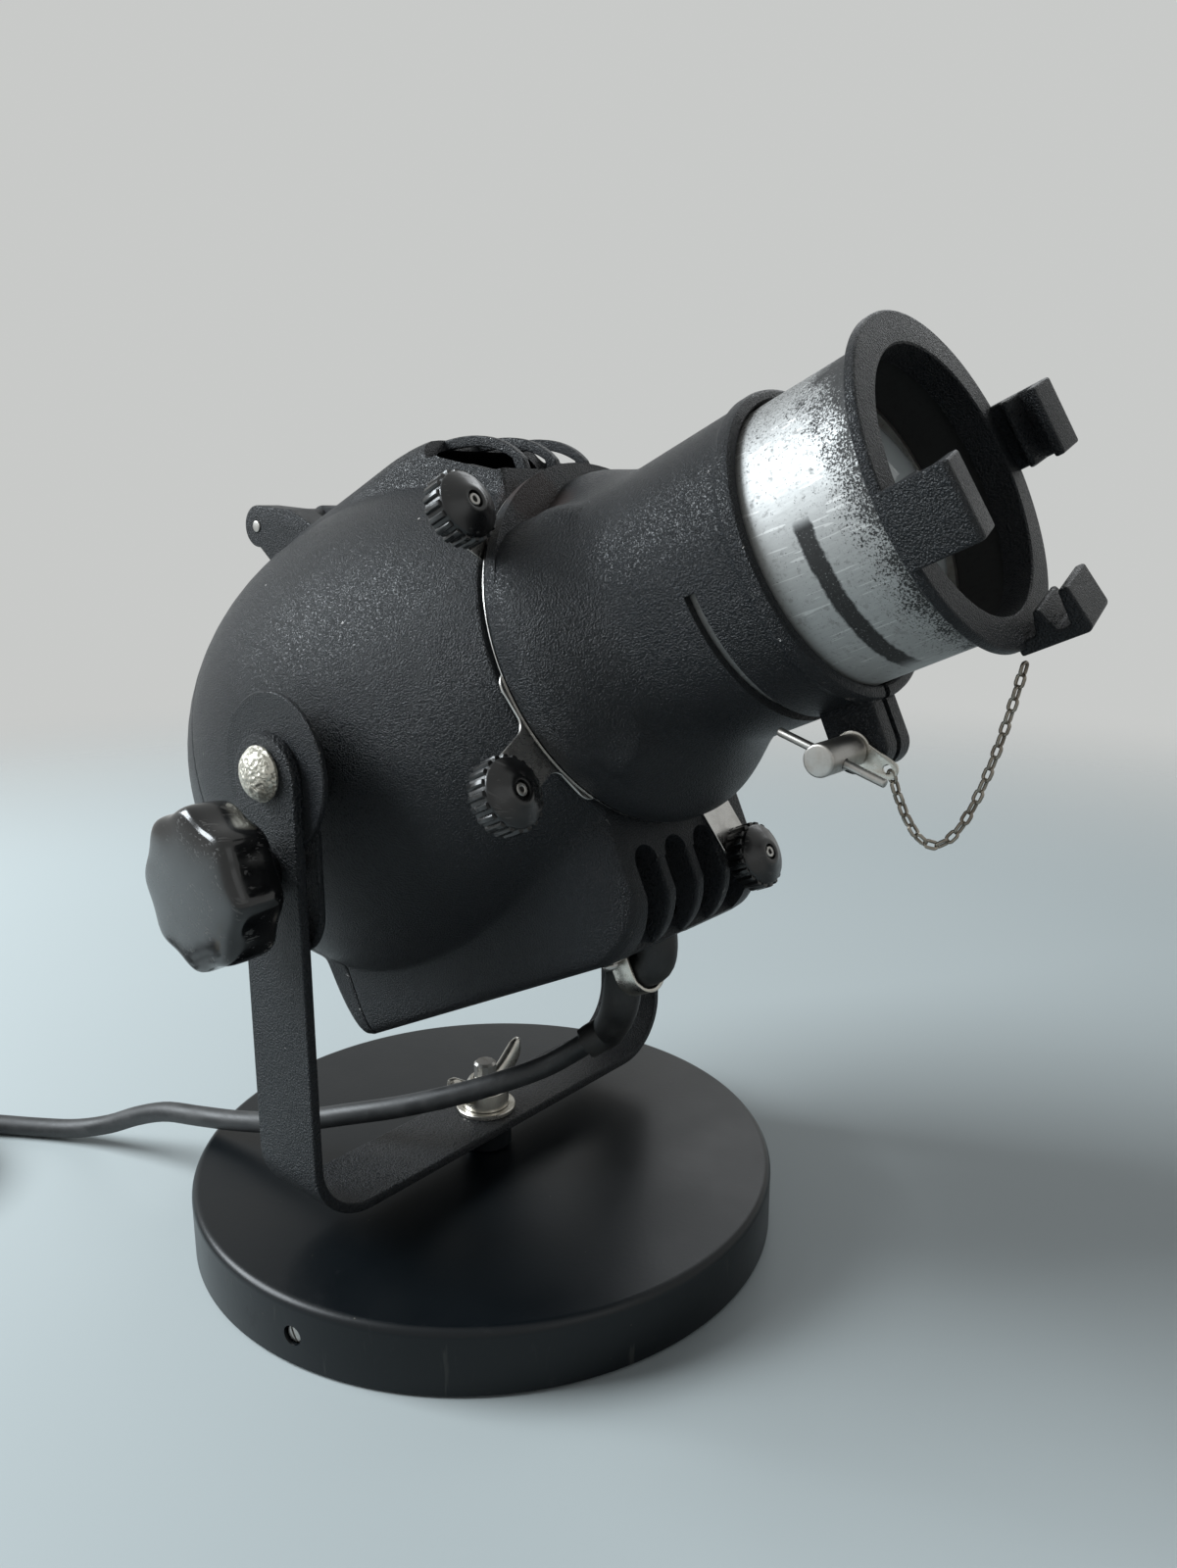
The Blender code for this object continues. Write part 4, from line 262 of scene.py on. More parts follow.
# Safety chain
CHAIN_SAG = 38 * MM
CHAIN_END_X = 216 * MM
CHAIN_END_ANGLE = radians(279.6)

# Cable
CABLE_RADIUS = 4.5 * MM
SLEEVE_RADIUS = 7.5 * MM
SLEEVE_END_RADIUS = 6.6 * MM
SADDLE_X = 42 * MM
SADDLE_WIDTH = 9 * MM
SADDLE_SHEET = 1.5 * MM
SADDLE_CLEARANCE = 0.8 * MM
SLEEVE_BEND = (73.3, 2.0, 111.5)
COIL_TURNS = 3.25
COIL_MID_RADIUS = 51 * MM
COIL_PITCH = 9.8 * MM
TIE_THICKNESS = 1.2 * MM
TIE_WIDTH = 14 * MM
PLUG_RADIUS = 17 * MM
PLUG_LENGTH = 50 * MM
PIN_RADIUS = 2.4 * MM
PIN_LENGTH = 19 * MM
CABLE_ROUTE = (
    (56.1, 3.3, 90.7),
    (49.5, 1.2, 84.6),
    (40.8, -4.1, 78.4),
    (23.7, -21.0, 70.2),
    (-2.3, -40.6, 60.6),
    (-33.0, -56.3, 51.2),
    (-60.0, -65.6, 42.5),
    (-90.0, -72.0, 35.4),
    (-111.0, -77.0, 32.4),
    (-131.0, -80.5, 28.5),
    (-152.0, -84.5, 20.0),
    (-171.0, -90.0, 11.0),
    (-189.0, -97.5, 6.0),
    (-206.0, -107.0, 4.8),
    (-223.5, -118.0, 4.8),
    (-241.0, -130.5, 5.0),
    (-259.0, -145.0, 5.6),
)

# Studio
FLOOR_REACH = 6
FLOOR_FADE = (0.55, 1.5)
SKY_COLOUR = (0.9, 0.95, 1.0)
BACKDROP_COLOUR = (0.58, 0.59, 0.58)

# Camera, from the photograph's angle
CAMERA_PLACE = (0.3399, -0.3340, 0.3019)
CAMERA_RIGHT = (0.76517, 0.64383, 0.0009)
CAMERA_UP = (-0.14836, 0.17496, 0.97333)
CAMERA_LENS = 36.06

# Finishes
FINE_RELIEF = 0.05 * MM
WEAR_FACE = 2.3 * MM
WEAR_ANGLE = radians(14)

# Frames of the pieces
HEAD = (
    Matrix.Translation((0, 0, PIVOT_HEIGHT))
    @ Matrix.Rotation(-TILT, 4, "Y")
    @ Matrix.Translation((0, 0, AXIS_RISE))
)
ALONG_X = Matrix.Rotation(pi / 2, 4, "Y")
TOWARD_NEAR = Matrix.Rotation(pi / 2, 4, "X")
TOWARD_FAR = Matrix.Rotation(-pi / 2, 4, "X")
OUTLINE_XZ = Matrix.Rotation(pi / 2, 4, "X")
OUTLINE_YZ = Matrix.Rotation(pi / 2, 4, "Z") @ Matrix.Rotation(pi / 2, 4, "X")


def shifted(x, y, z):
    return Matrix.Translation((x, y, z))


# Settings that a user may change


class SpotlightFinishes(bpy.types.PropertyGroup):
    """Colours and wear of the spotlight's surfaces."""

    paint_colour: FloatVectorProperty(
        name="Casting paint", description="Colour of the textured paint on the castings",
        subtype="COLOR", size=3, min=0, max=1, default=(0.0030, 0.0050, 0.0076))
    base_colour: FloatVectorProperty(
        name="Base paint", description="Colour of the smooth paint on the base",
        subtype="COLOR", size=3, min=0, max=1, default=(0.0018, 0.0036, 0.0052))
    bakelite_colour: FloatVectorProperty(
        name="Bakelite", description="Colour of the knobs", subtype="COLOR", size=3,
        min=0, max=1, default=(0.0040, 0.0042, 0.0046))
    tube_colour: FloatVectorProperty(
        name="Lens tube", description="Colour of the bare aluminium tube",
        subtype="COLOR", size=3, min=0, max=1, default=(0.44, 0.445, 0.44))
    grain_depth: FloatProperty(
        name="Grain depth", description="Depth of the paint's grain", unit="LENGTH",
        min=0, max=0.001, default=0.00060)
    wear: FloatProperty(
        name="Wear", description="Share of the worn spots and chips", min=0, max=1, default=0.5)


class SpotlightChain(bpy.types.PropertyGroup):
    """Sizes of the safety chain."""

    link_pitch: FloatProperty(
        name="Link pitch", description="Distance between links", unit="LENGTH",
        min=0.002, max=0.008, default=0.0037)
    wire: FloatProperty(
        name="Wire radius", description="Radius of the chain's wire", unit="LENGTH",
        min=0.0002, max=0.001, default=0.00056)
    sides: IntProperty(name="Wire sides", description="Faces round the wire", min=4, max=16, default=8)


class SpotlightStage(bpy.types.PropertyGroup):
    """Floor and light of the studio."""

    floor_colour: FloatVectorProperty(
        name="Floor", description="Colour of the floor", subtype="COLOR", size=3,
        min=0, max=1, default=(0.52, 0.57, 0.57))
    key_power: FloatProperty(
        name="Key light", description="Power of the large soft light", unit="POWER",
        min=0, max=200, default=58)
    rim_power: FloatProperty(
        name="Rim light", description="Power of the light behind the lamp", unit="POWER",
        min=0, max=200, default=3.5)
    sky: FloatProperty(name="Sky", description="Strength of the even light", min=0, max=2, default=0.16)


# Shaping


def tidy(shape):
    bmesh.ops.remove_doubles(shape, verts=shape.verts, dist=0.000002)
    bmesh.ops.recalc_face_normals(shape, faces=shape.faces)
    return shape


def moved(shape, matrix):
    bmesh.ops.transform(shape, matrix=matrix, verts=shape.verts)
    return shape


def together(*shapes):
    """Several shapes in one bmesh, each keeping its own faces."""
    whole = bmesh.new()
    for shape in shapes:
        mesh = bpy.data.meshes.new("join")
        shape.to_mesh(mesh)
        shape.free()
        whole.from_mesh(mesh)
        bpy.data.meshes.remove(mesh)
    return whole


def soften(shape, width, segments=2, angle=30):
    """Bevels the edges that turn by more than an angle in degrees."""
    limit = radians(angle)
    edges = [e for e in shape.edges if len(e.link_faces) == 2 and e.calc_face_angle(0) > limit]
    bmesh.ops.bevel(shape, geom=edges, offset=width, offset_type="OFFSET", segments=segments,
                    profile=0.5, affect="EDGES", clamp_overlap=True, material=-1)
    return shape


def turned(profile, steps=96, closed=False):
    """Spins (radius, height) points about the local Z axis."""
    shape = bmesh.new()
    verts = [shape.verts.new((radius, 0, height)) for radius, height in profile]
    edges = [shape.edges.new(pair) for pair in zip(verts, verts[1:])]
    if closed:
        edges.append(shape.edges.new((verts[-1], verts[0])))
    bmesh.ops.spin(shape, geom=verts + edges, cent=(0, 0, 0), axis=(0, 0, 1), dvec=(0, 0, 0),
                   angle=2 * pi, steps=steps, use_merge=True, use_duplicate=False)
    return tidy(shape)


def slab(outline, thickness, holes=()):
    """An outline in XY made solid, its thickness along Z about its middle."""
    shape = bmesh.new()
    edges = []
    for points in (outline, *holes):
        verts = [shape.verts.new((x, y, -thickness / 2)) for x, y in points]
        edges += [shape.edges.new(pair) for pair in zip(verts, verts[1:] + verts[:1])]
    if holes:
        bmesh.ops.triangle_fill(shape, edges=edges, use_beauty=True, use_dissolve=False)
    else:
        shape.faces.new(verts)
    raised = bmesh.ops.extrude_face_region(shape, geom=shape.faces[:])
    top = [v for v in raised["geom"] if isinstance(v, bmesh.types.BMVert)]
    bmesh.ops.translate(shape, verts=top, vec=(0, 0, thickness))
    bmesh.ops.recalc_face_normals(shape, faces=shape.faces)
    return shape


def skin(rings, caps=True):
    """Bridges rings of as many points each, and closes the ends."""
    shape = bmesh.new()
    loops = []
    for ring in rings:
        verts = [shape.verts.new(point) for point in ring]
        loops.append([shape.edges.new(pair) for pair in zip(verts, verts[1:] + verts[:1])])
    for first, second in zip(loops, loops[1:]):
        bmesh.ops.bridge_loops(shape, edges=first + second)
    if caps:
        bmesh.ops.edgeloop_fill(shape, edges=loops[0])
        bmesh.ops.edgeloop_fill(shape, edges=loops[-1])
    bmesh.ops.recalc_face_normals(shape, faces=shape.faces)
    return shape


def rod(radius, start, end, sides=32, rounded=0.0):
    """A cylinder between two points."""
    start, end = Vector(start), Vector(end)
    turn = facing(end - start)
    shape = bmesh.new()
    bmesh.ops.create_cone(shape, cap_ends=True, segments=sides, radius1=radius, radius2=radius,
                          depth=(end - start).length, matrix=Matrix.Translation((start + end) / 2) @ turn)
    return soften(shape, rounded, 3, 60) if rounded else shape


def facing(direction, axis="Z"):
    """The turn that points an axis along a direction."""
    return direction.to_track_quat(axis, "Y").to_matrix().to_4x4()


def round_angles(count):
    return [2 * pi * i / count for i in range(count)]


def block(size, centre, rounded=0.0, segments=3):
    shape = bmesh.new()
    bmesh.ops.create_cube(shape, size=1, matrix=Matrix.Translation(centre) @ Matrix.Diagonal((*size, 1)))
    return soften(shape, rounded, segments) if rounded else shape


def arc(centre, radius, start, end, steps):
    """Points of an arc in a flat outline, angles in degrees."""
    points = []
    for i in range(steps + 1):
        angle = radians(start + (end - start) * i / steps)
        points.append((centre[0] + radius * cos(angle), centre[1] + radius * sin(angle)))
    return points


def swept(points, radii, sides=16):
    """Skins a round section along points, turned as little as it can."""
    points = [Vector(p) for p in points]
    side = None
    rings = []
    for i, point in enumerate(points):
        ahead = points[min(i + 1, len(points) - 1)] - points[max(i - 1, 0)]
        ahead.normalize()
        if side is None:
            side = ahead.orthogonal().normalized()
        side = (side - ahead * side.dot(ahead)).normalized()
        other = ahead.cross(side)
        radius = radii[i] if isinstance(radii, list) else radii
        ring = []
        for angle in round_angles(sides):
            ring.append(point + (side * cos(angle) + other * sin(angle)) * radius)
        rings.append(ring)
    return skin(rings)


def smooth_route(points, spacing):
    """Points a spacing apart along a smooth curve through a route's own points."""
    route = [Vector(point) for point in points]
    fine = []
    for i in range(len(route) - 1):
        before, after = route[max(i - 1, 0)], route[min(i + 2, len(route) - 1)]
        start, end = route[i], route[i + 1]
        reach = (end - start).length / 3
        leave = start + (end - before).normalized() * reach
        arrive = end - (after - start).normalized() * reach
        for k in range(24):
            t = k / 24
            s = 1 - t
            fine.append(start * s**3 + leave * 3 * s * s * t + arrive * 3 * s * t * t + end * t**3)
    fine.append(route[-1])
    lengths = [0]
    for a, b in zip(fine, fine[1:]):
        lengths.append(lengths[-1] + (b - a).length)
    count = max(2, round(lengths[-1] / spacing))
    even = []
    i = 0
    for step in range(count + 1):
        target = lengths[-1] * step / count
        while i < len(fine) - 2 and lengths[i + 1] < target:
            i += 1
        share = (target - lengths[i]) / max(lengths[i + 1] - lengths[i], 1e-9)
        even.append(fine[i].lerp(fine[i + 1], min(max(share, 0), 1)))
    return even


def route_length(points):
    return sum((b - a).length for a, b in zip(points, points[1:]))


def boolean(shape, others, operation="DIFFERENCE"):
    """One shape with others cut from it or added to it."""
    host = loose("host", shape)
    tools = [loose("tool", other) for other in others]
    for tool in tools:
        step = host.modifiers.new("step", "BOOLEAN")
        step.operation = operation
        step.solver = "MANIFOLD"
        step.object = tool
    bpy.context.view_layer.update()
    made = bpy.data.meshes.new_from_object(host.evaluated_get(bpy.context.evaluated_depsgraph_get()))
    result = bmesh.new()
    result.from_mesh(made)
    bpy.data.meshes.remove(made)
    for obj in (host, *tools):
        mesh = obj.data
        bpy.data.objects.remove(obj)
        bpy.data.meshes.remove(mesh)
    if not result.faces:
        raise RuntimeError("a cut left nothing of a piece")
    return result


def loose(name, shape):
    mesh = bpy.data.meshes.new(name)
    shape.to_mesh(mesh)
    shape.free()
    obj = bpy.data.objects.new(name, mesh)
    bpy.context.scene.collection.objects.link(obj)
    return obj


def mark_wear(shape):
    """Marks the narrow faces along outward edges, for the paint to wear through there."""
    layer = shape.verts.layers.float.new("wear")
    narrow = WEAR_FACE**2
    for edge in shape.edges:
        if len(edge.link_faces) != 2 or not edge.is_convex or edge.calc_face_angle(0) < WEAR_ANGLE:
            continue
        for vert in edge.verts:
            if all(face.calc_area() < narrow for face in vert.link_faces):
                vert[layer] = 1
    return shape


def piece(name, shape, matrix, body, finish, replaced=(), angle=32):
    """Puts a finished shape in the scene with its finish, on its body, in place of its CAD nodes."""
    moved(shape, matrix)
    mark_wear(shape)
    obj = loose(name, shape)
    obj.data.shade_smooth()
    obj.data.set_sharp_from_angle(angle=radians(angle))
    obj.data.materials.append(finish)
    if body:
        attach(obj, body)
    if replaced:
        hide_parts(*replaced)
    return obj


# Shading


class Signal:
    """A shader socket that takes part in arithmetic."""

    def __init__(self, finish, socket):
        self.finish = finish
        self.socket = socket

    def calculate(self, operation, first, second):
        return self.finish.add("ShaderNodeMath", {"operation": operation}, {0: first, 1: second})

    def __add__(self, other):
        return self.calculate("ADD", self, other)

    def __radd__(self, other):
        return self.calculate("ADD", other, self)

    def __sub__(self, other):
        return self.calculate("SUBTRACT", self, other)

    def __rsub__(self, other):
        return self.calculate("SUBTRACT", other, self)

    def __mul__(self, other):
        return self.calculate("MULTIPLY", self, other)

    def __rmul__(self, other):
        return self.calculate("MULTIPLY", other, self)

    def __truediv__(self, other):
        return self.calculate("DIVIDE", self, other)

    def __pow__(self, other):
        return self.calculate("POWER", self, other)

    def most(self, other):
        return self.calculate("MAXIMUM", self, other)

    def least(self, other):
        return self.calculate("MINIMUM", self, other)


class Finish:
    """A material whose nodes are added one by one."""

    def __init__(self, name, metallic=0.0, coat=0.0, coat_roughness=0.1, ior=1.5):
        self.material = bpy.data.materials.new(name)
        self.material.use_nodes = True
        self.tree = self.material.node_tree
        self.shader = self.tree.nodes["Principled BSDF"]
        self.shader.inputs["Metallic"].default_value = metallic
        self.shader.inputs["Coat Weight"].default_value = coat
        self.shader.inputs["Coat Roughness"].default_value = coat_roughness
        self.shader.inputs["IOR"].default_value = ior
        self.object_place = self.add("ShaderNodeTexCoord", {}, {}, "Object")

    def add(self, kind, settings, values, output=0):
        node = self.tree.nodes.new(kind)
        for name, value in settings.items():
            setattr(node, name, value)
        for name, value in values.items():
            if isinstance(value, Signal):
                self.tree.links.new(value.socket, node.inputs[name])
            else:
                node.inputs[name].default_value = value
        return Signal(self, node.outputs[output])

    def placed(self, stretch=(1, 1, 1), turn=(0, 0, 0), centre=(0, 0, 0)):
        """Object coordinates with a stretch, a turn and a new centre."""
        back = [-c for c in centre]
        here = self.add("ShaderNodeVectorMath", {"operation": "ADD"}, {0: self.object_place, 1: back})
        turned_place = self.add("ShaderNodeMapping", {"vector_type": "POINT"},
                                {"Vector": here, "Rotation": turn})
        return self.add("ShaderNodeVectorMath", {"operation": "MULTIPLY"}, {0: turned_place, 1: stretch})

    def noise(self, size, detail=2.0, roughness=0.5, place=None, distortion=0.0):
        values = {"Vector": place or self.object_place, "Scale": 1 / size, "Detail": detail,
                  "Roughness": roughness, "Distortion": distortion}
        return self.add("ShaderNodeTexNoise", {"noise_dimensions": "3D"}, values)

    def cells(self, size, feature="F1"):
        values = {"Vector": self.object_place, "Scale": 1 / size}
        return self.add("ShaderNodeTexVoronoi", {"feature": feature}, values, "Distance")

    def between(self, value, low, high, to_low=0.0, to_high=1.0):
        """A smooth step from one value to another."""
        values = {"Value": value, "From Min": low, "From Max": high, "To Min": to_low, "To Max": to_high}
        return self.add("ShaderNodeMapRange", {"interpolation_type": "SMOOTHSTEP"}, values)

    def mix(self, share, first, second):
        settings = {"data_type": "RGBA"}
        first = (*first, 1) if isinstance(first, tuple) and len(first) == 3 else first
        second = (*second, 1) if isinstance(second, tuple) and len(second) == 3 else second
        return self.add("ShaderNodeMix", settings, {0: share, 6: first, 7: second}, 2)

    def attribute(self, name):
        return self.add("ShaderNodeAttribute", {"attribute_name": name}, {}, "Fac")

    def axis(self, name):
        return self.add("ShaderNodeSeparateXYZ", {}, {"Vector": self.object_place}, name)

    def relief(self, height, depth, strength=1.0):
        values = {"Height": height, "Distance": depth, "Strength": strength}
        return self.add("ShaderNodeBump", {}, values)

    def finish(self, **values):
        for name, value in values.items():
            socket = self.shader.inputs[name.replace("_", " ")]
            if isinstance(value, Signal):
                self.tree.links.new(value.socket, socket)
            elif isinstance(value, tuple) and len(value) == 3:
                socket.default_value = (*value, 1)
            else:
                socket.default_value = value
        return self.material


# Base


def make_base(look):
    edge = arc((BASE_RADIUS - BASE_EDGE_RADIUS, BASE_HEIGHT - BASE_EDGE_RADIUS), BASE_EDGE_RADIUS, 0, 90, 14)
    inner = BASE_RADIUS - BASE_SHEET
    bore = BOLT_RADIUS + SEAT_GAP
    underside = BASE_HEIGHT - BASE_SHEET
    foot = COVER_LIFT
    profile = [(inner, foot), (BASE_RADIUS - 0.4 * MM, foot), (BASE_RADIUS, foot + 0.4 * MM), *edge,
               (bore, BASE_HEIGHT), (bore, underside), (inner - 2 * MM, underside), (inner, underside - 2 * MM)]
    cover = turned(profile, 240, closed=True)
    outward = Vector((cos(RIM_SCREW_ANGLE), sin(RIM_SCREW_ANGLE), 0))
    height = Vector((0, 0, RIM_SCREW_HEIGHT))
    hole = RIM_SCREW_RADIUS + SEAT_GAP
    near, far = outward * (BASE_RADIUS - 6 * MM) + height, outward * (BASE_RADIUS + 6 * MM) + height
    cover = boolean(cover, [rod(hole, near, far, 40)])
    piece("base_cover_skin", cover, Matrix(), "base", look["satin_paint"], ["base_cover"])

    face = BASE_RADIUS - 1.0 * MM
    head = [(0, 0), (RIM_SCREW_RADIUS, 0), (RIM_SCREW_RADIUS, 4 * MM)]
    head += [(RIM_SCREW_RADIUS - 0.5 * MM, 4.6 * MM), (RIM_SCREW_RADIUS * 0.5, 4.95 * MM), (0, 5.05 * MM)]
    screw = turned(head, 40)
    slot = block((0.9 * MM, 10 * MM, 2.4 * MM), (0, 0, 5.2 * MM))
    screw = boolean(screw, [moved(slot, Matrix.Rotation(radians(25), 4, "Z"))])
    place = Matrix.Translation(outward * (face - 5 * MM) + height) @ facing(outward)
    piece("rim_screw_head", screw, place, "base", look["steel"], ["rim_screw"])


def make_spindle(look):
    """What stands on the base's middle round its bolt: the spacer, the washer and the wing nut."""
    bore = BOLT_RADIUS + SEAT_GAP
    low = BASE_HEIGHT + SEAT_GAP
    high = low + SPACER_HEIGHT
    soft = 0.6 * MM
    ring = [(bore, low), (SPACER_RADIUS - soft, low), (SPACER_RADIUS, low + soft), (SPACER_RADIUS, high - soft),
            (SPACER_RADIUS - soft, high), (bore, high)]
    piece("spacer_sleeve", turned(ring, 80, closed=True), Matrix(), "base", look["satin_paint"],
          ["fork_spacer"])

    foot = CROSSBAR_TOP + SEAT_GAP
    soft = 0.4 * MM
    rim = 13 * MM
    top = foot + WASHER_THICKNESS
    ring = [(bore, foot), (rim, foot), (rim, top - soft), (rim - soft, top), (bore, top)]
    piece("washer_disc", turned(ring, 80, closed=True), Matrix(), "base", look["nickel"],
          ["bolt_washer"])

    foot = top + SEAT_GAP
    hub = [(bore, foot), (10.2 * MM, foot), (10.2 * MM, foot + 2.2 * MM)]
    hub += arc((9.4 * MM, foot + 7 * MM), 0.6 * MM, 0, 60, 4)
    hub += [(7.4 * MM, foot + 11.4 * MM), (6.8 * MM, foot + 12 * MM), (bore, foot + 12 * MM)]
    solids = []
    for side in (1, -1):
        solids.append(moved(wing(side), shifted(0, 0, foot) @ Matrix.Rotation(radians(98), 4, "Z")))
    nut = boolean(turned(hub, 96, closed=True), solids, "UNION")
    piece("wing_nut_casting", nut, Matrix(), "wing_nut", look["nickel"], ["wing_nut"], 40)


def wing(side):
    """One ear of the wing nut, swelling toward its round tip."""
    rings = []
    steps = 20
    for i in range(steps + 1):
        share = i / steps
        gone = share
        if share > 0.75:
            gone = 0.75 + 0.25 * sin((share - 0.75) / 0.25 * pi / 2)
        reach = WING_START + WING_REACH * gone
        swell = sqrt(max(1 - max((share - 0.72) / 0.28, 0) ** 2, 0.0004))
        middle = (6.8 + 11.4 * share**1.25) * MM
        half_height = (5.4 + 0.5 * share) * MM * swell
        half_depth = (2.2 + 0.4 * sin(pi * share)) * MM * max(swell, 0.12)
        ring = []
        for angle in round_angles(28):
            across, up = cos(angle), sin(angle)
            ring.append((side * reach, half_depth * copysign(abs(across) ** 0.7, across),
                         middle + half_height * copysign(abs(up) ** 0.8, up)))
        rings.append(ring)
    return skin(rings)


# Fork and tilt lock


def strap_section(centre, inward, width, thickness, corner=0.9 * MM):
    """A rounded rectangle across the strap: its width along X, its thickness along a direction."""
    ring = []
    corner = min(corner, 0.49 * thickness, 0.49 * width)
    for across, deep, start in ((1, 1, 0), (-1, 1, 90), (-1, -1, 180), (1, -1, 270)):
        middle = (across * (width / 2 - corner), deep * (thickness / 2 - corner))
        for x, v in arc(middle, corner, start, start + 90, 4):
            ring.append(Vector((x, 0, 0)) + centre + inward * v)
    return ring


def make_fork(look):
    half = STRAP_WIDTH / 2
    top = PIVOT_HEIGHT - ARM_TOP_DROP
    bend = FORK_BEND_RADIUS
    middle = STRAP_THICKNESS / 2
    tip = half + 0.25 * MM
    side = []
    for i in range(25):
        rise = tip * sin(radians(90 - 90 * i / 24))
        narrow = sqrt(max(tip**2 - rise**2, (0.5 * MM) ** 2))
        side.append((Vector((0, FORK_HALF_WIDTH - middle, top + rise)), Vector((0, -1, 0)),
                     2 * min(narrow, half)))
    for height in (PIVOT_HEIGHT - 60 * MM, CROSSBAR_BOTTOM + bend + 40 * MM):
        side.append((Vector((0, FORK_HALF_WIDTH - middle, height)), Vector((0, -1, 0)), STRAP_WIDTH))
    centre = (FORK_HALF_WIDTH - bend, CROSSBAR_BOTTOM + bend)
    for i in range(17):
        angle = radians(-90 * i / 16)
        out = Vector((0, cos(angle), sin(angle)))
        place = Vector((0, centre[0], centre[1])) + out * (bend - middle)
        side.append((place, -out, STRAP_WIDTH))
    rings = [strap_section(*part, STRAP_THICKNESS) for part in side]
    for place, inward, width in reversed(side):
        mirrored = [Vector((p.x, -p.y, p.z)) for p in strap_section(place, inward, width, STRAP_THICKNESS)]
        rings.append(mirrored)
    fork = skin(rings)
    reach = 2 * FORK_HALF_WIDTH
    holes = [
        rod(PIVOT_BOLT_RADIUS + SEAT_GAP, (0, -reach, PIVOT_HEIGHT), (0, reach, PIVOT_HEIGHT), 40),
        rod(STUD_RADIUS + SEAT_GAP, (0, -reach, STUD_HEIGHT), (0, -50 * MM, STUD_HEIGHT), 40),
        rod(BOLT_RADIUS + SEAT_GAP, (0, 0, 0), (0, 0, 2 * CROSSBAR_TOP), 40),
    ]
    fork = boolean(fork, holes)
    piece("fork_strap", fork, Matrix(), "fork", look["strap_paint"], ["fork"])

    for name, side, turn in (("near", -1, TOWARD_NEAR), ("far", 1, TOWARD_FAR)):
        face = FORK_HALF_WIDTH + SEAT_GAP
        dome = [(0, PIVOT_HALF_SPAN - 13 * MM), (PIVOT_BOLT_RADIUS, PIVOT_HALF_SPAN - 13 * MM),
                (PIVOT_BOLT_RADIUS, face), (PIVOT_DOME_RADIUS - 0.3 * MM, face)]
        dome += arc((PIVOT_DOME_RADIUS - 0.5 * MM, face + 0.9 * MM), 0.5 * MM, 0, 60, 4)
        for i in range(1, 15):
            angle = radians(90 * i / 14)
            radius = (PIVOT_DOME_RADIUS - 0.7 * MM) * cos(angle) if i < 14 else 0
            dome.append((radius, face + 1.4 * MM + (PIVOT_DOME_HEIGHT - 1.5 * MM) * sin(angle)))
        piece("pivot_dome_" + name, turned(dome, 64), shifted(0, 0, PIVOT_HEIGHT) @ turn, "fork",
              look["hammered_nickel"], ["pivot_bolt_" + name])


def lobed_ring(radius, depth, height, count=20 * KNOB_LOBES):
    ring = []
    for angle in round_angles(count):
        scale = 1 - 0.85 * depth * (0.5 - 0.5 * cos(KNOB_LOBES * angle)) ** 0.9
        ring.append((radius * scale * cos(angle), radius * scale * sin(angle), height))
    return ring


def make_tilt_lock(look):
    half = CLAMP_PLATE_WIDTH / 2
    top = PIVOT_HEIGHT - CLAMP_PLATE_TOP
    bottom = PIVOT_HEIGHT - CLAMP_PLATE_BOTTOM
    outline = [(half, top), (-half, top), *arc((0, bottom + half), half, 180, 360, 40)]
    inner_face = PIVOT_HALF_SPAN - TILT_DISC_THICKNESS - 3 * SEAT_GAP
    middle = inner_face - CLAMP_PLATE_THICKNESS / 2
    clamp = soften(slab(outline, CLAMP_PLATE_THICKNESS), 0.6 * MM, 3, 60)
    moved(clamp, shifted(0, -middle, 0) @ OUTLINE_XZ)
    stud_ends = [(0, y, STUD_HEIGHT) for y in (-2 * FORK_HALF_WIDTH, 0)]
    clamp = boolean(clamp, [rod(STUD_RADIUS + SEAT_GAP, *stud_ends, 40)])
    heel_depth = PIVOT_HALF_SPAN - SEAT_GAP - inner_face + CLAMP_PLATE_THICKNESS / 2
    heel_y = -(PIVOT_HALF_SPAN - SEAT_GAP - heel_depth / 2)
    heel = block((0.6 * STRAP_WIDTH, heel_depth, 7 * MM), (0, heel_y, bottom + 7 * MM), 0.5 * MM)
    piece("clamp_cheek", boolean(clamp, [heel], "UNION"), Matrix(), "fork", look["strap_paint"],
          ["clamp_plate"])

    neck = FORK_HALF_WIDTH + SEAT_GAP
    back = neck + KNOB_NECK_LENGTH
    grip = skin([lobed_ring(share * KNOB_RADIUS, KNOB_LOBE_DEPTH * lobes, back + height * MM)
                 for share, height, lobes in LOCK_KNOB_SECTIONS])
    collar = [(0, neck), (KNOB_NECK_RADIUS - 0.5 * MM, neck), (KNOB_NECK_RADIUS, neck + 0.5 * MM),
              (KNOB_NECK_RADIUS, back - 2.4 * MM), (KNOB_NECK_RADIUS + 0.8 * MM, back - 0.8 * MM),
              (KNOB_NECK_RADIUS + 2.6 * MM, back + 0.6 * MM), (0, back + 0.6 * MM)]
    knob = boolean(grip, [turned(collar, 96)], "UNION")
    bore_end = back + STUD_SINK + SEAT_GAP
    bore = rod(STUD_RADIUS + SEAT_GAP, (0, 0, neck - MM), (0, 0, bore_end), 40)
    knob = boolean(knob, [bore])
    place = shifted(0, 0, STUD_HEIGHT) @ TOWARD_NEAR
    piece("lock_knob_grip", knob, place, "lock_knob", look["bakelite"], ["lock_knob"], 50)


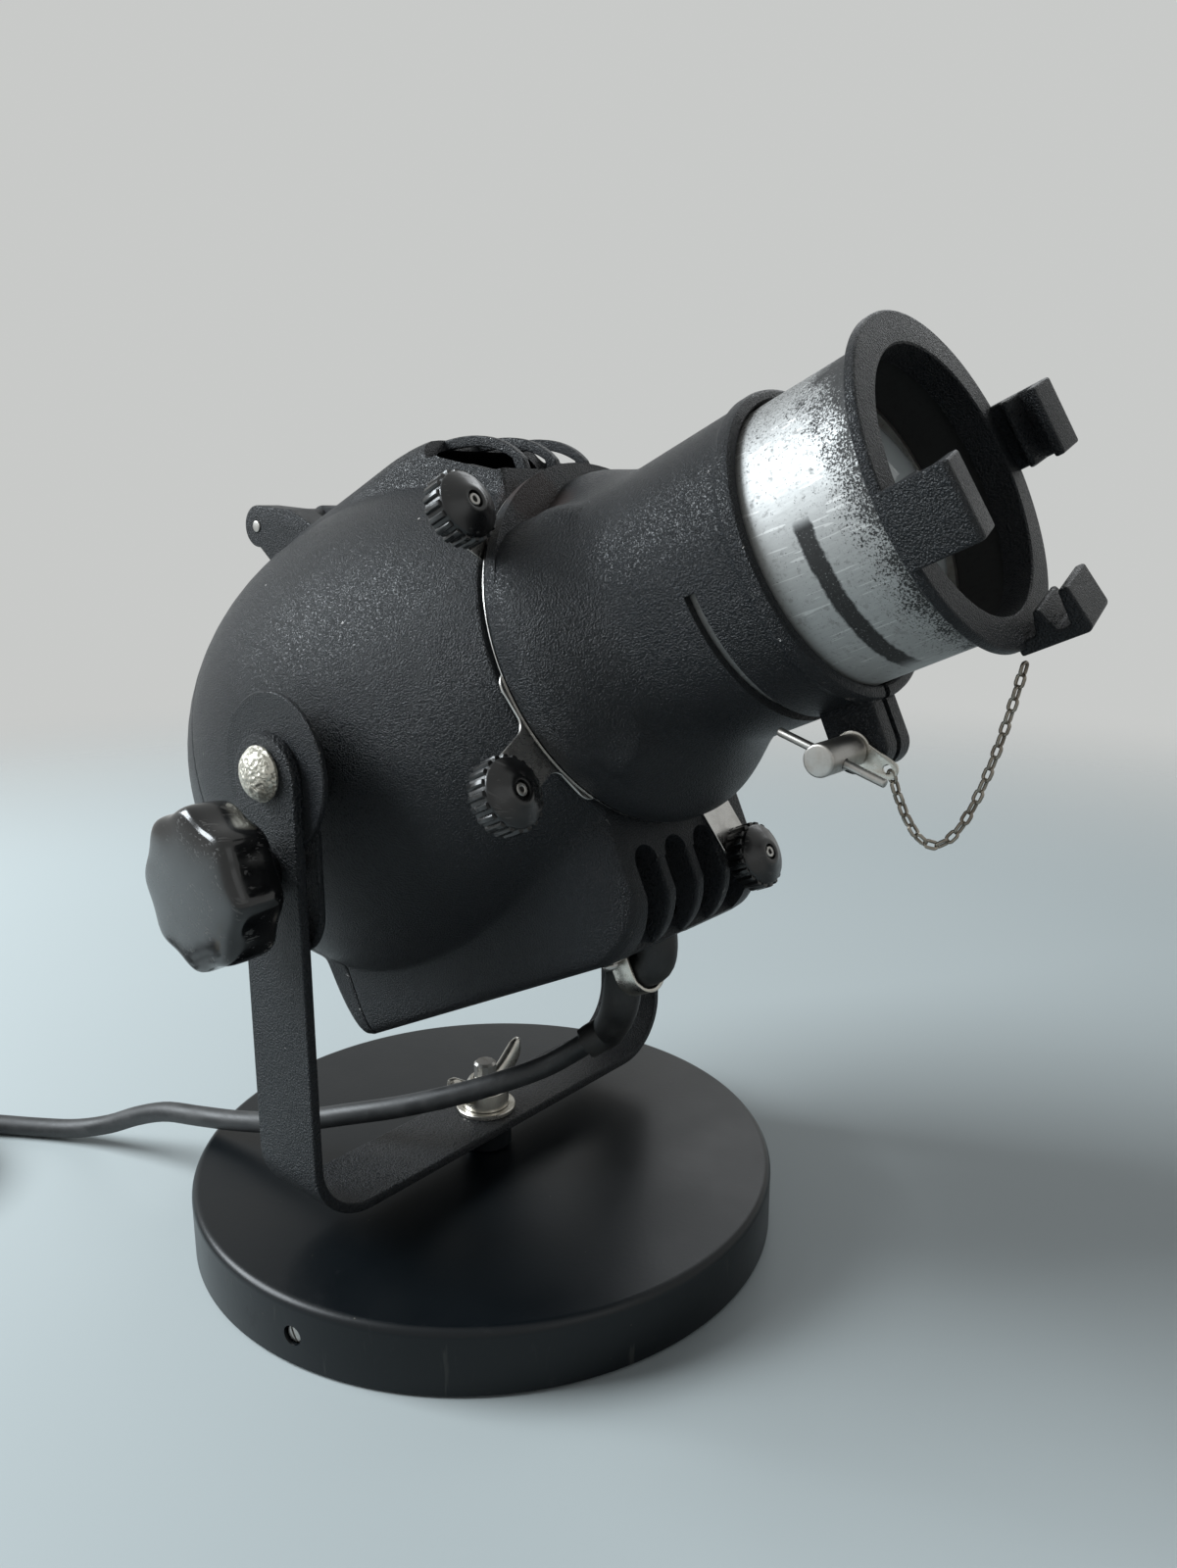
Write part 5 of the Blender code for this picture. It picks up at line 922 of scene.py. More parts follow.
def make_tilt_disc(look):
    inner = PIVOT_HALF_SPAN - SEAT_GAP - TILT_DISC_THICKNESS
    outer = PIVOT_HALF_SPAN - SEAT_GAP
    bore = PIVOT_BOLT_RADIUS + SEAT_GAP
    soft = 0.5 * MM
    discs = (("disc", TILT_DISC_RADIUS, TOWARD_NEAR), ("washer", TILT_WASHER_RADIUS, TOWARD_FAR))
    for name, radius, turn in discs:
        profile = [(bore, inner), (radius - soft, inner), (radius, inner + soft), (radius, outer - soft),
                   (radius - soft, outer), (bore, outer)]
        disc = turned(profile, 140, closed=True)
        piece("tilt_" + name + "_plate", disc, HEAD @ shifted(0, 0, -AXIS_RISE) @ turn, "head",
              look["casting_paint"], ["tilt_" + name])


# Lamp house


def round_off(x, start, reach):
    """1 before the start of a rounding, falling along a quarter ellipse over its reach."""
    share = min(max((x - start) / reach, 0), 1)
    return sqrt(1 - share * share)


def rounded_box(across, up, half_width, height, power):
    if height <= 0 or half_width <= 0:
        return 0
    return ((abs(across) / half_width) ** power + (up / height) ** power) ** (-1 / power)


def hump_height(x):
    if x < HUMP_RIDGE:
        return HUMP_HEIGHT * round_off(-x, -HOUSE_WIDEST, HOUSE_REAR_REACH)
    return HUMP_LIP + (HUMP_HEIGHT - HUMP_LIP) * round_off(x, HUMP_RIDGE, HOUSE_FRONT + MM - HUMP_RIDGE)


def vent_floor(x):
    """Depth of the vent box's sloping floor."""
    return VENT_DEPTH + VENT_SLOPE * (HOUSE_FRONT - VENT_FRONT_ROUND - x)


def vent_depth(x, front):
    rise = vent_floor(x) - VENT_FACE_DEPTH
    if x < VENT_REAR:
        return 0
    rear = round_off(-x, -VENT_REAR - VENT_REAR_ROUND, VENT_REAR_ROUND)
    return VENT_FACE_DEPTH + rise * min(rear, round_off(x, front - VENT_FRONT_ROUND, VENT_FRONT_ROUND + MM))


def vent_half_width(x):
    narrow = VENT_HALF_WIDTH - VENT_FRONT_HALF_WIDTH
    return VENT_FRONT_HALF_WIDTH + narrow * round_off(x, HOUSE_FRONT - VENT_FRONT_ROUND, VENT_FRONT_ROUND + MM)


def oval_radius(across, up, half_width, half_height):
    return 1 / sqrt((across / half_width) ** 2 + (up / half_height) ** 2)


def oval_sizes(x, inset):
    if x < HOUSE_WIDEST:
        side_reach = rise_reach = HOUSE_REAR_REACH - inset
    else:
        side_reach, rise_reach = FRONT_REACH_SIDE - inset, FRONT_REACH_RISE - inset
    half_width = (HOUSE_HALF_WIDTH - inset) * sqrt(1 - ((x - HOUSE_WIDEST) / side_reach) ** 2)
    half_height = (HOUSE_HALF_HEIGHT - inset) * sqrt(1 - ((x - HOUSE_WIDEST) / rise_reach) ** 2)
    return half_width, half_height


def crease_angle(half, half_width, half_height, limit):
    """How far from straight up or down the side of a box of some half width comes out of the oval."""
    angle = radians(30)
    for _ in range(6):
        reach = oval_radius(sin(angle), cos(angle), half_width, half_height)
        angle = asin(min(half / reach, sin(limit)))
    return angle


def section_angles(x, half_width, half_height):
    """Angles about the axis, gathered at the corners and creases of the hump and the vent box."""
    vent_half = vent_half_width(x)
    held = min(max(x, VENT_REAR + VENT_REAR_ROUND), HOUSE_FRONT - 2 * MM)
    vent_corner = atan2(vent_half, vent_depth(held, HOUSE_FRONT))
    vent_crease = crease_angle(vent_half, half_width, half_height, radians(42))
    hump_corner = atan2(HUMP_HALF_WIDTH, max(hump_height(x), 1.2 * HUMP_HALF_WIDTH))
    hump_crease = crease_angle(HUMP_HALF_WIDTH, half_width, half_height, radians(48))
    quarter = pi / 2
    keys = [(quarter, 12), (quarter - hump_corner, 10), (quarter - max(hump_crease, hump_corner + 0.05), 20),
            (0, 20), (-quarter + max(vent_crease, vent_corner + 0.05), 16), (-quarter + vent_corner, 14),
            (-quarter, 0)]
    right = []
    for (start, steps), (end, _) in zip(keys, keys[1:]):
        for i in range(steps):
            right.append(start + (end - start) * (0.5 - 0.5 * cos(pi * i / steps)))
    left = [pi - angle for angle in reversed(right[1:])]
    return right + [-quarter] + left


def house_section(x, inset=0.0, front=HOUSE_FRONT, lift=0.0):
    """One section of the lamp house: an oval with the top hump and the bottom vent box blended on."""
    half_width, half_height = oval_sizes(x, inset)
    ring = []
    for angle in section_angles(x, half_width, half_height):
        across, up = cos(angle), sin(angle)
        oval = oval_radius(across, up, half_width, half_height)
        if up > 0:
            bulge = rounded_box(across, up, HUMP_HALF_WIDTH - inset, hump_height(x) - inset, HUMP_CORNER)
        elif up < 0 and x < front:
            bulge = rounded_box(across, -up, vent_half_width(x) - inset, vent_depth(x, front) - inset,
                                VENT_CORNER)
        else:
            bulge = 0
        crease = CREASE_BLEND * log1p(exp(-abs(oval - bulge) / CREASE_BLEND))
        radius = max(oval, bulge) + crease + lift
        ring.append((x, radius * across, radius * up))
    return ring


def spaced(start, end, count):
    return [start + (end - start) * i / count for i in range(count + 1)]


def eased(start, end, count):
    """Steps that gather toward the end."""
    return [start + (end - start) * sin(pi / 2 * i / count) for i in range(count + 1)]


def front_of_hump(x):
    return hump_height(x) - 0.25 * MM


def make_lamp_house(look):
    rear = COVER_PLANE + SEAT_GAP / 2
    slope = HOUSE_FRONT - VENT_FRONT_ROUND
    stations = spaced(rear + 0.8 * MM, slope, 34) + eased(slope, HOUSE_FRONT - 0.7 * MM, 26)[1:]
    rings = [house_section(rear, 0.8 * MM), house_section(rear + 0.25 * MM, 0.25 * MM)]
    rings += [house_section(x) for x in stations]
    rings += [house_section(HOUSE_FRONT - 0.2 * MM, 0.25 * MM), house_section(HOUSE_FRONT, 0.8 * MM)]
    outer = skin(rings)
    hollow_front = HOUSE_FRONT - 4.2 * MM
    hollow = skin([house_section(x, HOUSE_WALL, FIN_BACK) for x in spaced(rear - 3 * MM, hollow_front, 30)])
    gate = rod(GATE_RADIUS - 7 * MM, (hollow_front - 2 * MM, 0, 0), (HOUSE_FRONT + 2 * MM, 0, 0), 128)
    width = 4 * VENT_PITCH - HUMP_RIB
    length = 2 * (HOUSE_FRONT - HUMP_SLOT_START)
    middle = (HUMP_SLOT_START + length / 2, 0, HUMP_SLOT_BOTTOM + HUMP_HEIGHT / 2)
    mouth = block((length, width, HUMP_HEIGHT), middle, 1.6 * MM, 4)
    moved(mouth, Matrix.Rotation(HUMP_SLOT_LEAN, 4, "Y"))
    beyond = HOUSE_FRONT + 10 * MM
    sides = [(HUMP_SLOT_START, HUMP_FLANK_REAR), (HOUSE_FRONT - 2.6 * MM, HUMP_FLANK_FRONT),
             (beyond, HUMP_FLANK_FRONT), (beyond, HUMP_FLANK_TOP), (HUMP_SLOT_START, HUMP_FLANK_TOP)]
    flanks = moved(soften(slab(sides, 90 * MM), 1.6 * MM, 3, 20), OUTLINE_XZ)
    width = 4 * VENT_PITCH - VENT_FIN
    gill_round = (VENT_PITCH - VENT_FIN) / 2
    depth = 2 * (VENT_DEPTH - GILL_TOP)
    middle = (GILL_START + GILL_LENGTH / 2, 0, -GILL_TOP - gill_round - depth / 2)
    gills = [block((GILL_LENGTH, width, depth), middle)]
    for share in (-1.5, -0.5, 0.5, 1.5):
        start = Vector((GILL_START, share * VENT_PITCH, -GILL_TOP - gill_round))
        gills.append(rod(gill_round, start, start + Vector((GILL_LENGTH, 0, 0)), 48))
    entry, below = sleeve_entry()
    along = (entry - below).normalized() * 12 * MM
    hole = rod(SLEEVE_HOLE_RADIUS, below - along, entry + along, 48)
    house = boolean(outer, [hollow, gate, mouth, flanks, *gills, hole])
    boss_face = PIVOT_HALF_SPAN - 2 * SEAT_GAP - TILT_DISC_THICKNESS
    extras = []
    for side in (1, -1):
        start = HOUSE_HALF_WIDTH - HOUSE_WALL + MM
        ends = [(0, side * reach, -AXIS_RISE) for reach in (start, boss_face)]
        extras.append(rod(TILT_BOSS_RADIUS, *ends, 80))
        extras.append(hinge_ear(side))
    extras += [hump_rib(y) for y in (-VENT_PITCH, 0, VENT_PITCH)]
    extras += [vent_fin(y) for y in (-VENT_PITCH, 0, VENT_PITCH)]
    house = boolean(house, extras, "UNION")
    bores = []
    for side in (1, -1):
        start, end = (0, side * (boss_face - 12 * MM), -AXIS_RISE), (0, side * 2 * boss_face, -AXIS_RISE)
        bores.append(rod(PIVOT_BOLT_RADIUS + SEAT_GAP, start, end, 32))
    house = boolean(house, [*bores, hinge_bore(SEAT_GAP)])
    piece("lamp_house_casting", house, HEAD, "head", look["casting_paint"], ["lamp_house"])


def hump_rib(y):
    """An arched rib across the hump's open front."""
    outer = [(x, front_of_hump(x)) for x in eased(HUMP_SLOT_START - 8 * MM, HOUSE_FRONT - 0.3 * MM, 18)]
    inner = [(x - 1.6 * MM, front_of_hump(x) - 3.6 * MM)
             for x in eased(HUMP_SLOT_START - 8 * MM, HOUSE_FRONT - 3.4 * MM, 16)]
    foot = [(HOUSE_FRONT - 0.3 * MM, HUMP_LIP + 2 * MM), (HOUSE_FRONT - 5 * MM, HUMP_LIP + 2 * MM)]
    rib = soften(slab(outer + foot + inner[::-1], 0.7 * HUMP_RIB), 1.3 * MM, 4, 50)
    return moved(rib, shifted(0, y, 0) @ OUTLINE_XZ)


def vent_fin(y):
    """A fin of the vent box's front."""
    outer = [(x, -vent_depth(x, HOUSE_FRONT) + 0.2 * MM)
             for x in eased(GILL_START - 4 * MM, HOUSE_FRONT - 0.3 * MM, 18)]
    inner = [(HOUSE_FRONT - 0.3 * MM, -GILL_TOP - 1.5 * MM), (FIN_BACK, -GILL_TOP - 1.5 * MM),
             (FIN_BACK, -VENT_DEPTH + 10 * MM), (GILL_START - 4 * MM, -VENT_DEPTH + 5 * MM)]
    fin = soften(slab(outer + inner, VENT_FIN), 1.2 * MM, 3, 50)
    return moved(fin, shifted(0, y, 0) @ OUTLINE_XZ)


def hinge_bore(gap):
    """What is cut for the hinge pin, with a gap all round it."""
    ends = [(HINGE_PIN_X, side * HINGE_BORE_REACH, HINGE_PIN_Z) for side in (-1, 1)]
    return rod(HINGE_PIN_RADIUS + gap, *ends, 32)


def hinge_ear(side):
    pin = (HINGE_PIN_X, HINGE_PIN_Z)
    foot = HOUSE_HALF_HEIGHT - 4 * MM
    outline = arc(pin, HINGE_EAR_RADIUS, 55, 250, 24)
    outline += [(HINGE_PIN_X + 4 * MM, foot - 4 * MM), (HINGE_PIN_X + 42 * MM, foot - 3 * MM)]
    outline += [(HINGE_PIN_X + 34 * MM, foot + 5 * MM), (HINGE_PIN_X + 24 * MM, HINGE_PIN_Z - 3 * MM)]
    ear = soften(slab(outline, HINGE_HALF_WIDTH - HINGE_KNUCKLE_HALF_WIDTH), 1.0 * MM, 3, 50)
    middle = side * (HINGE_HALF_WIDTH + HINGE_KNUCKLE_HALF_WIDTH) / 2
    return moved(ear, shifted(0, middle, 0) @ OUTLINE_XZ)


def make_rear_cover(look):
    front = COVER_PLANE - SEAT_GAP / 2
    rear = HOUSE_WIDEST - HOUSE_REAR_REACH
    dome = VENT_REAR - MM
    stations = spaced(front - 0.8 * MM, VENT_REAR + 5 * MM, 4)
    stations += [VENT_REAR + share * MM for share in (3.6, 2.4, 1.4, 0.7, 0.25, 0.05, -0.3)]
    stations += [dome + (rear - dome) * sin(pi / 2 * i / 40) for i in range(40)]
    rings = [house_section(front, 0.8 * MM), house_section(front - 0.25 * MM, 0.25 * MM)]
    rings += [house_section(x) for x in stations]
    outer = skin(rings)
    inner_rear = rear + COVER_WALL
    places = [front + 2 * MM, front - 4 * MM, VENT_REAR + COVER_WALL + 2 * MM]
    places += [dome + (inner_rear - dome) * sin(pi / 2 * i / 24) for i in range(24)]
    hollow = skin([house_section(x, COVER_WALL) for x in places])
    half = HINGE_KNUCKLE_HALF_WIDTH - RUNNING_GAP
    seam = front - SEAT_GAP
    shoulder = HOUSE_HALF_HEIGHT
    outline = arc((HINGE_PIN_X, HINGE_PIN_Z), HINGE_KNUCKLE_RADIUS, -110, 150, 26)
    outline += [(seam - 18 * MM, shoulder - 8 * MM), (seam - 15 * MM, shoulder - 17 * MM)]
    outline += [(seam, shoulder - 11 * MM), (seam, shoulder)]
    knuckle = moved(soften(slab(outline, 2 * half), 0.9 * MM, 3, 50), OUTLINE_XZ)
    cover = boolean(boolean(outer, [hollow]), [knuckle], "UNION")
    cover = boolean(cover, [hinge_bore(RUNNING_GAP)])
    piece("rear_cover_casting", cover, HEAD, "rear_cover", look["casting_paint"],
          ["rear_cover"])

    reach = HINGE_HALF_WIDTH + 0.6 * MM
    ends = (HINGE_PIN_X, -reach, HINGE_PIN_Z), (HINGE_PIN_X, reach, HINGE_PIN_Z)
    pin = rod(HINGE_PIN_RADIUS, *ends, 48, 0.5 * MM)
    piece("hinge_pin_rod", pin, HEAD, "head", look["steel"], ["hinge_pin"])


# Gate and shutters


def fluted_ring(radius, height, depth, count=20):
    ring = []
    for angle in round_angles(12 * count):
        groove = min(max((0.5 - 0.5 * cos(count * angle) - 0.42) / 0.26, 0), 1)
        scale = 1 - depth * groove
        ring.append((radius * scale * cos(angle), radius * scale * sin(angle), height))
    return ring


def blade_outline(inner_edge, end):
    half = BLADE_WIDTH / 2
    tail = BLADE_TAIL_WIDTH / 2
    shoulder = inner_edge + BLADE_SHOULDER
    return [(inner_edge, -half), *arc((shoulder - 6 * MM, -half + 6 * MM), 6 * MM, -90, 0, 8),
            *arc((shoulder + 6 * MM, -tail - 5 * MM), 5 * MM, 160, 90, 6), *arc((end, 0), tail, -90, 90, 24),
            *arc((shoulder + 6 * MM, tail + 5 * MM), 5 * MM, -90, -160, 6),
            *arc((shoulder - 6 * MM, half - 6 * MM), 6 * MM, 0, 90, 8), (inner_edge, half)]


def make_gate_shim(look):
    """The thin steel ring whose edge shows in the seam, in front of the blades."""
    rear = HOUSE_FRONT + 2 * SEAT_GAP + 2 * BLADE_THICKNESS + SHIM_GAP
    front = FRONT_PLANE - SHIM_GAP
    outer = GATE_RADIUS - 0.3 * MM
    inner = outer - SHIM_WIDTH
    shim = turned([(inner, rear), (outer, rear), (outer, front), (inner, front)], 200, closed=True)
    piece("gate_shim", shim, HEAD @ ALONG_X, "head", look["blade_steel"])


def make_shutters(look):
    make_gate_shim(look)
    for index, (name, angle, stand) in enumerate(SHUTTERS):
        slide = HEAD @ Matrix.Rotation(angle, 4, "X")
        rear = HOUSE_FRONT + SEAT_GAP + (index % 2) * (BLADE_THICKNESS + SEAT_GAP)
        middle = rear + BLADE_THICKNESS / 2
        blade = slab(blade_outline(stand - BLADE_REACH, stand), BLADE_THICKNESS)
        soften(blade, 0.15 * MM, 1, 60)
        body = "shutter_" + name
        piece("blade_" + name, blade, slide @ shifted(middle, 0, 0) @ OUTLINE_YZ, body, look["blade_steel"],
              ["shutter_blade_" + name])
        back = rear + BLADE_THICKNESS + SEAT_GAP
        knob = skin([fluted_ring(share * SHUTTER_KNOB_RADIUS, height * MM, depth)
                     for share, height, depth in SHUTTER_KNOB_SECTIONS])
        place = slide @ shifted(back, stand, 0) @ ALONG_X
        piece("knob_" + name, knob, place, body, look["fluted_bakelite"],
              ["shutter_knob_" + name], 45)
        collar = [(1.0 * MM, 0), (2.1 * MM, 0), (2.1 * MM, 1.0 * MM), (1.9 * MM, 1.25 * MM),
                  (1.2 * MM, 1.25 * MM),
                  (1.0 * MM, 1.05 * MM)]
        stud = turned(collar, 32, closed=True)
        piece("stud_" + name, stud, place @ shifted(0, 0, 10.1 * MM), body, look["steel"])


# Front barrel and its clamp


def barrel_radius(x):
    if x <= FLANGE_END:
        return GATE_RADIUS
    share = min((x - FLANGE_END) / (SHOULDER_END - FLANGE_END), 1)
    drop = GATE_RADIUS - BARREL_RADIUS
    return GATE_RADIUS - drop * (0.5 - 0.5 * cos(pi * share)) ** 0.9


def pocket(angle):
    """How far the shoulder's foot is drawn in beside the upper shutter knobs."""
    around = abs((degrees(angle) - 90 + 180) % 360 - 180)
    beside = POCKET_DEPTH * exp(-(((around - POCKET_ANGLE) / POCKET_SPREAD) ** 2))
    return beside + TOP_POCKET_DEPTH * exp(-((around / TOP_POCKET_SPREAD) ** 2))


def shoulder_radius(x, angle):
    if x <= FLANGE_END:
        return GATE_RADIUS
    foot = GATE_RADIUS - pocket(angle)
    share = (barrel_radius(x) - BARREL_RADIUS) / (GATE_RADIUS - BARREL_RADIUS)
    return BARREL_RADIUS + (foot - BARREL_RADIUS) * share


def blister_rise(x, angle):
    """How far the four screw blisters stand out of the shoulder."""
    share = (x - FRONT_PLANE - BLISTER_START) / BLISTER_LENGTH
    if share <= 0 or share >= 1.15:
        return 0
    centre = (GATE_RADIUS - 9 * MM) * (1 - share) + (BARREL_RADIUS + 2 * MM) * share
    swell = sin(pi * min(share / 1.15, 1)) ** 0.6
    proud = centre + BLISTER_RADIUS * swell * 1.02 - barrel_radius(x)
    if proud <= 0:
        return 0
    across = (angle - pi / 4) % (pi / 2)
    across = min(across, pi / 2 - across) * barrel_radius(x)
    return proud * exp(-((across / (8.2 * MM)) ** 2) * 1.3)


def make_front_barrel(look):
    lip = 2.4 * MM
    outline = [(FRONT_PLANE, GATE_RADIUS - 1.4 * MM), (FRONT_PLANE + 0.3 * MM, GATE_RADIUS - 0.6 * MM),
               (FRONT_PLANE + 0.9 * MM, GATE_RADIUS - 0.1 * MM), (FRONT_PLANE + 1.6 * MM, GATE_RADIUS),
               (FLANGE_END - 1.6 * MM, GATE_RADIUS), (FLANGE_END - 0.5 * MM, GATE_RADIUS),
               (FLANGE_END, GATE_RADIUS)]
    outline += [(x, None) for x in (FLANGE_END + 0.02 * MM, FLANGE_END + 0.5 * MM, FLANGE_END + 1.2 * MM)]
    outline += [(x, None) for x in spaced(FLANGE_END + 2 * MM, SHOULDER_END, 40)]
    outline += [(x, BARREL_RADIUS) for x in spaced(SHOULDER_END + 6 * MM, BARREL_FRONT - 3.4 * lip, 6)]
    outline += [(BARREL_FRONT - 3 * lip, BARREL_RADIUS), (BARREL_FRONT - 2.5 * lip, BARREL_RADIUS + 0.3 * MM),
                (BARREL_FRONT - 2 * lip, BARREL_LIP_RADIUS), (BARREL_FRONT - 0.7 * lip, BARREL_LIP_RADIUS),
                (BARREL_FRONT - 0.25 * lip, BARREL_LIP_RADIUS - 0.4 * MM),
                (BARREL_FRONT, BARREL_LIP_RADIUS - 1.4 * MM)]
    rings = []
    for x, radius in outline:
        ring = []
        for angle in round_angles(216):
            reach = radius or shoulder_radius(x, angle) + blister_rise(x, angle)
            ring.append((x, reach * cos(angle), reach * sin(angle)))
        rings.append(ring)
    barrel = skin(rings)
    posts = []
    for angle in POST_ANGLES:
        angle = radians(angle)
        stand = GATE_RADIUS - 4.4 * MM
        across, up = stand * cos(angle), stand * sin(angle)
        ends = [(HOUSE_FRONT + SEAT_GAP, across, up), (FRONT_PLANE + 2 * MM, across, up)]
        posts.append(rod(POST_RADIUS, *ends, 24))

    ear_rear = CLAMP_SLOT_X + CLAMP_SLOT_WIDTH / 2 + MM
    ear_front = BARREL_FRONT - 2 * MM
    soft = 7.5 * MM
    ear_top = -BARREL_BORE - 1.5 * MM
    outline = [(ear_rear, ear_top), *arc((ear_rear + soft, -EAR_DROP + soft), soft, 180, 270, 16)]
    outline += [*arc((ear_front - soft, -EAR_DROP + soft), soft, 270, 360, 16), (ear_front, ear_top)]
    ears = moved(soften(slab(outline, 2 * EARS_HALF), 1.3 * MM, 4, 50), OUTLINE_XZ)
    barrel = boolean(barrel, [*posts, ears], "UNION")
    gate_bore = GATE_RADIUS - 7.5 * MM
    bore = [(0, FRONT_PLANE - MM), (gate_bore, FRONT_PLANE - MM), (gate_bore, FRONT_PLANE + 1.5 * MM),
            (BARREL_BORE, FLANGE_END - 1.5 * MM), (BARREL_BORE, BARREL_FRONT - 0.8 * MM),
            (BARREL_BORE + 0.8 * MM, BARREL_FRONT), (BARREL_BORE + 0.8 * MM, BARREL_FRONT + MM),
            (0, BARREL_FRONT + MM)]
    hollow = moved(turned(bore, 180), ALONG_X)
    split = block((60 * MM, EAR_GAP, 60 * MM), (CLAMP_SLOT_X + 30 * MM, 0, -BARREL_BORE - 20 * MM), 0.5 * MM)
    screw_bore = rod(CLAMP_SCREW_RADIUS + SEAT_GAP, (CLAMP_SCREW_X, -40 * MM, -CLAMP_SCREW_DROP),
                     (CLAMP_SCREW_X, 40 * MM, -CLAMP_SCREW_DROP), 40)
    barrel = boolean(barrel, [hollow, split, clamp_slot(), screw_bore])
    piece("barrel_casting", barrel, HEAD, "head", look["casting_paint"], ["front_barrel"])


def clamp_slot():
    """The saw cut round the barrel's lower half."""
    rings = []
    steps = 80
    inner, outer = BARREL_BORE - 3 * MM, BARREL_RADIUS + 5 * MM
    for i in range(steps + 1):
        angle = -pi / 2 - CLAMP_SLOT_HALF_ANGLE + 2 * CLAMP_SLOT_HALF_ANGLE * i / steps
        outward = Vector((0, cos(angle), sin(angle)))
        ring = []
        for across, reach in ((-1, inner), (1, inner), (1, outer), (-1, outer)):
            ring.append(Vector((CLAMP_SLOT_X + across * CLAMP_SLOT_WIDTH / 2, 0, 0)) + outward * reach)
        rings.append(ring)
    return skin(rings)


def make_clamp(look):
    collar = EARS_HALF + TAG_THICKNESS + 2 * SEAT_GAP
    end = collar + CLAMP_HEAD_LENGTH
    radius = CLAMP_HEAD_RADIUS
    soft = 0.9 * MM
    low = -EARS_HALF - 4 * MM
    profile = [(0, low), (CLAMP_SCREW_RADIUS - 0.5 * MM, low), (CLAMP_SCREW_RADIUS, -EARS_HALF - 3.5 * MM),
               (CLAMP_SCREW_RADIUS, collar), (radius - 0.4 * MM, collar),
               (radius, collar + 0.4 * MM), *arc((radius - soft, end - soft), soft, 0, 90, 6),
               (0.5 * radius, end + 0.1 * MM), (0, end + 0.12 * MM)]
    screw = moved(turned(profile, 72), TOWARD_NEAR)
    bar_y = -(collar + 0.62 * CLAMP_HEAD_LENGTH)
    along = Vector((cos(TOMMY_SLOPE), 0, -sin(TOMMY_SLOPE)))
    reach = along * TOMMY_LENGTH / 2
    middle = Vector((0, bar_y, 0))
    screw = boolean(screw, [rod(TOMMY_RADIUS + SEAT_GAP, middle - reach, middle + reach, 32)])
    place = HEAD @ shifted(CLAMP_SCREW_X, 0, -CLAMP_SCREW_DROP)
    piece("clamp_screw_head", screw, place, "clamp_screw", look["steel"], ["clamp_screw"])
    bar = rod(TOMMY_RADIUS, middle - reach, middle + reach, 40, 0.5 * MM)
    piece("tommy_bar_rod", bar, place, "tommy_bar", look["steel"], ["tommy_bar"])

    outline = arc((0, 0), 6 * MM, 0, 270, 40) + arc(TAG_TIP, TAG_TIP_RADIUS, -100, 10, 16)
    hole = arc((0, 0), CLAMP_SCREW_RADIUS + SEAT_GAP, 0, 351, 39)
    eye = arc(TAG_TIP, 1.5 * MM, 0, 345, 23)
    tag = soften(slab(outline, TAG_THICKNESS, (hole, eye)), 0.2 * MM, 2, 60)
    place = HEAD @ shifted(CLAMP_SCREW_X, TAG_Y, -CLAMP_SCREW_DROP) @ OUTLINE_XZ
    piece("chain_tag_plate", tag, place, "head", look["nickel"], ["chain_tag"])


# Lens tube, holder and lens


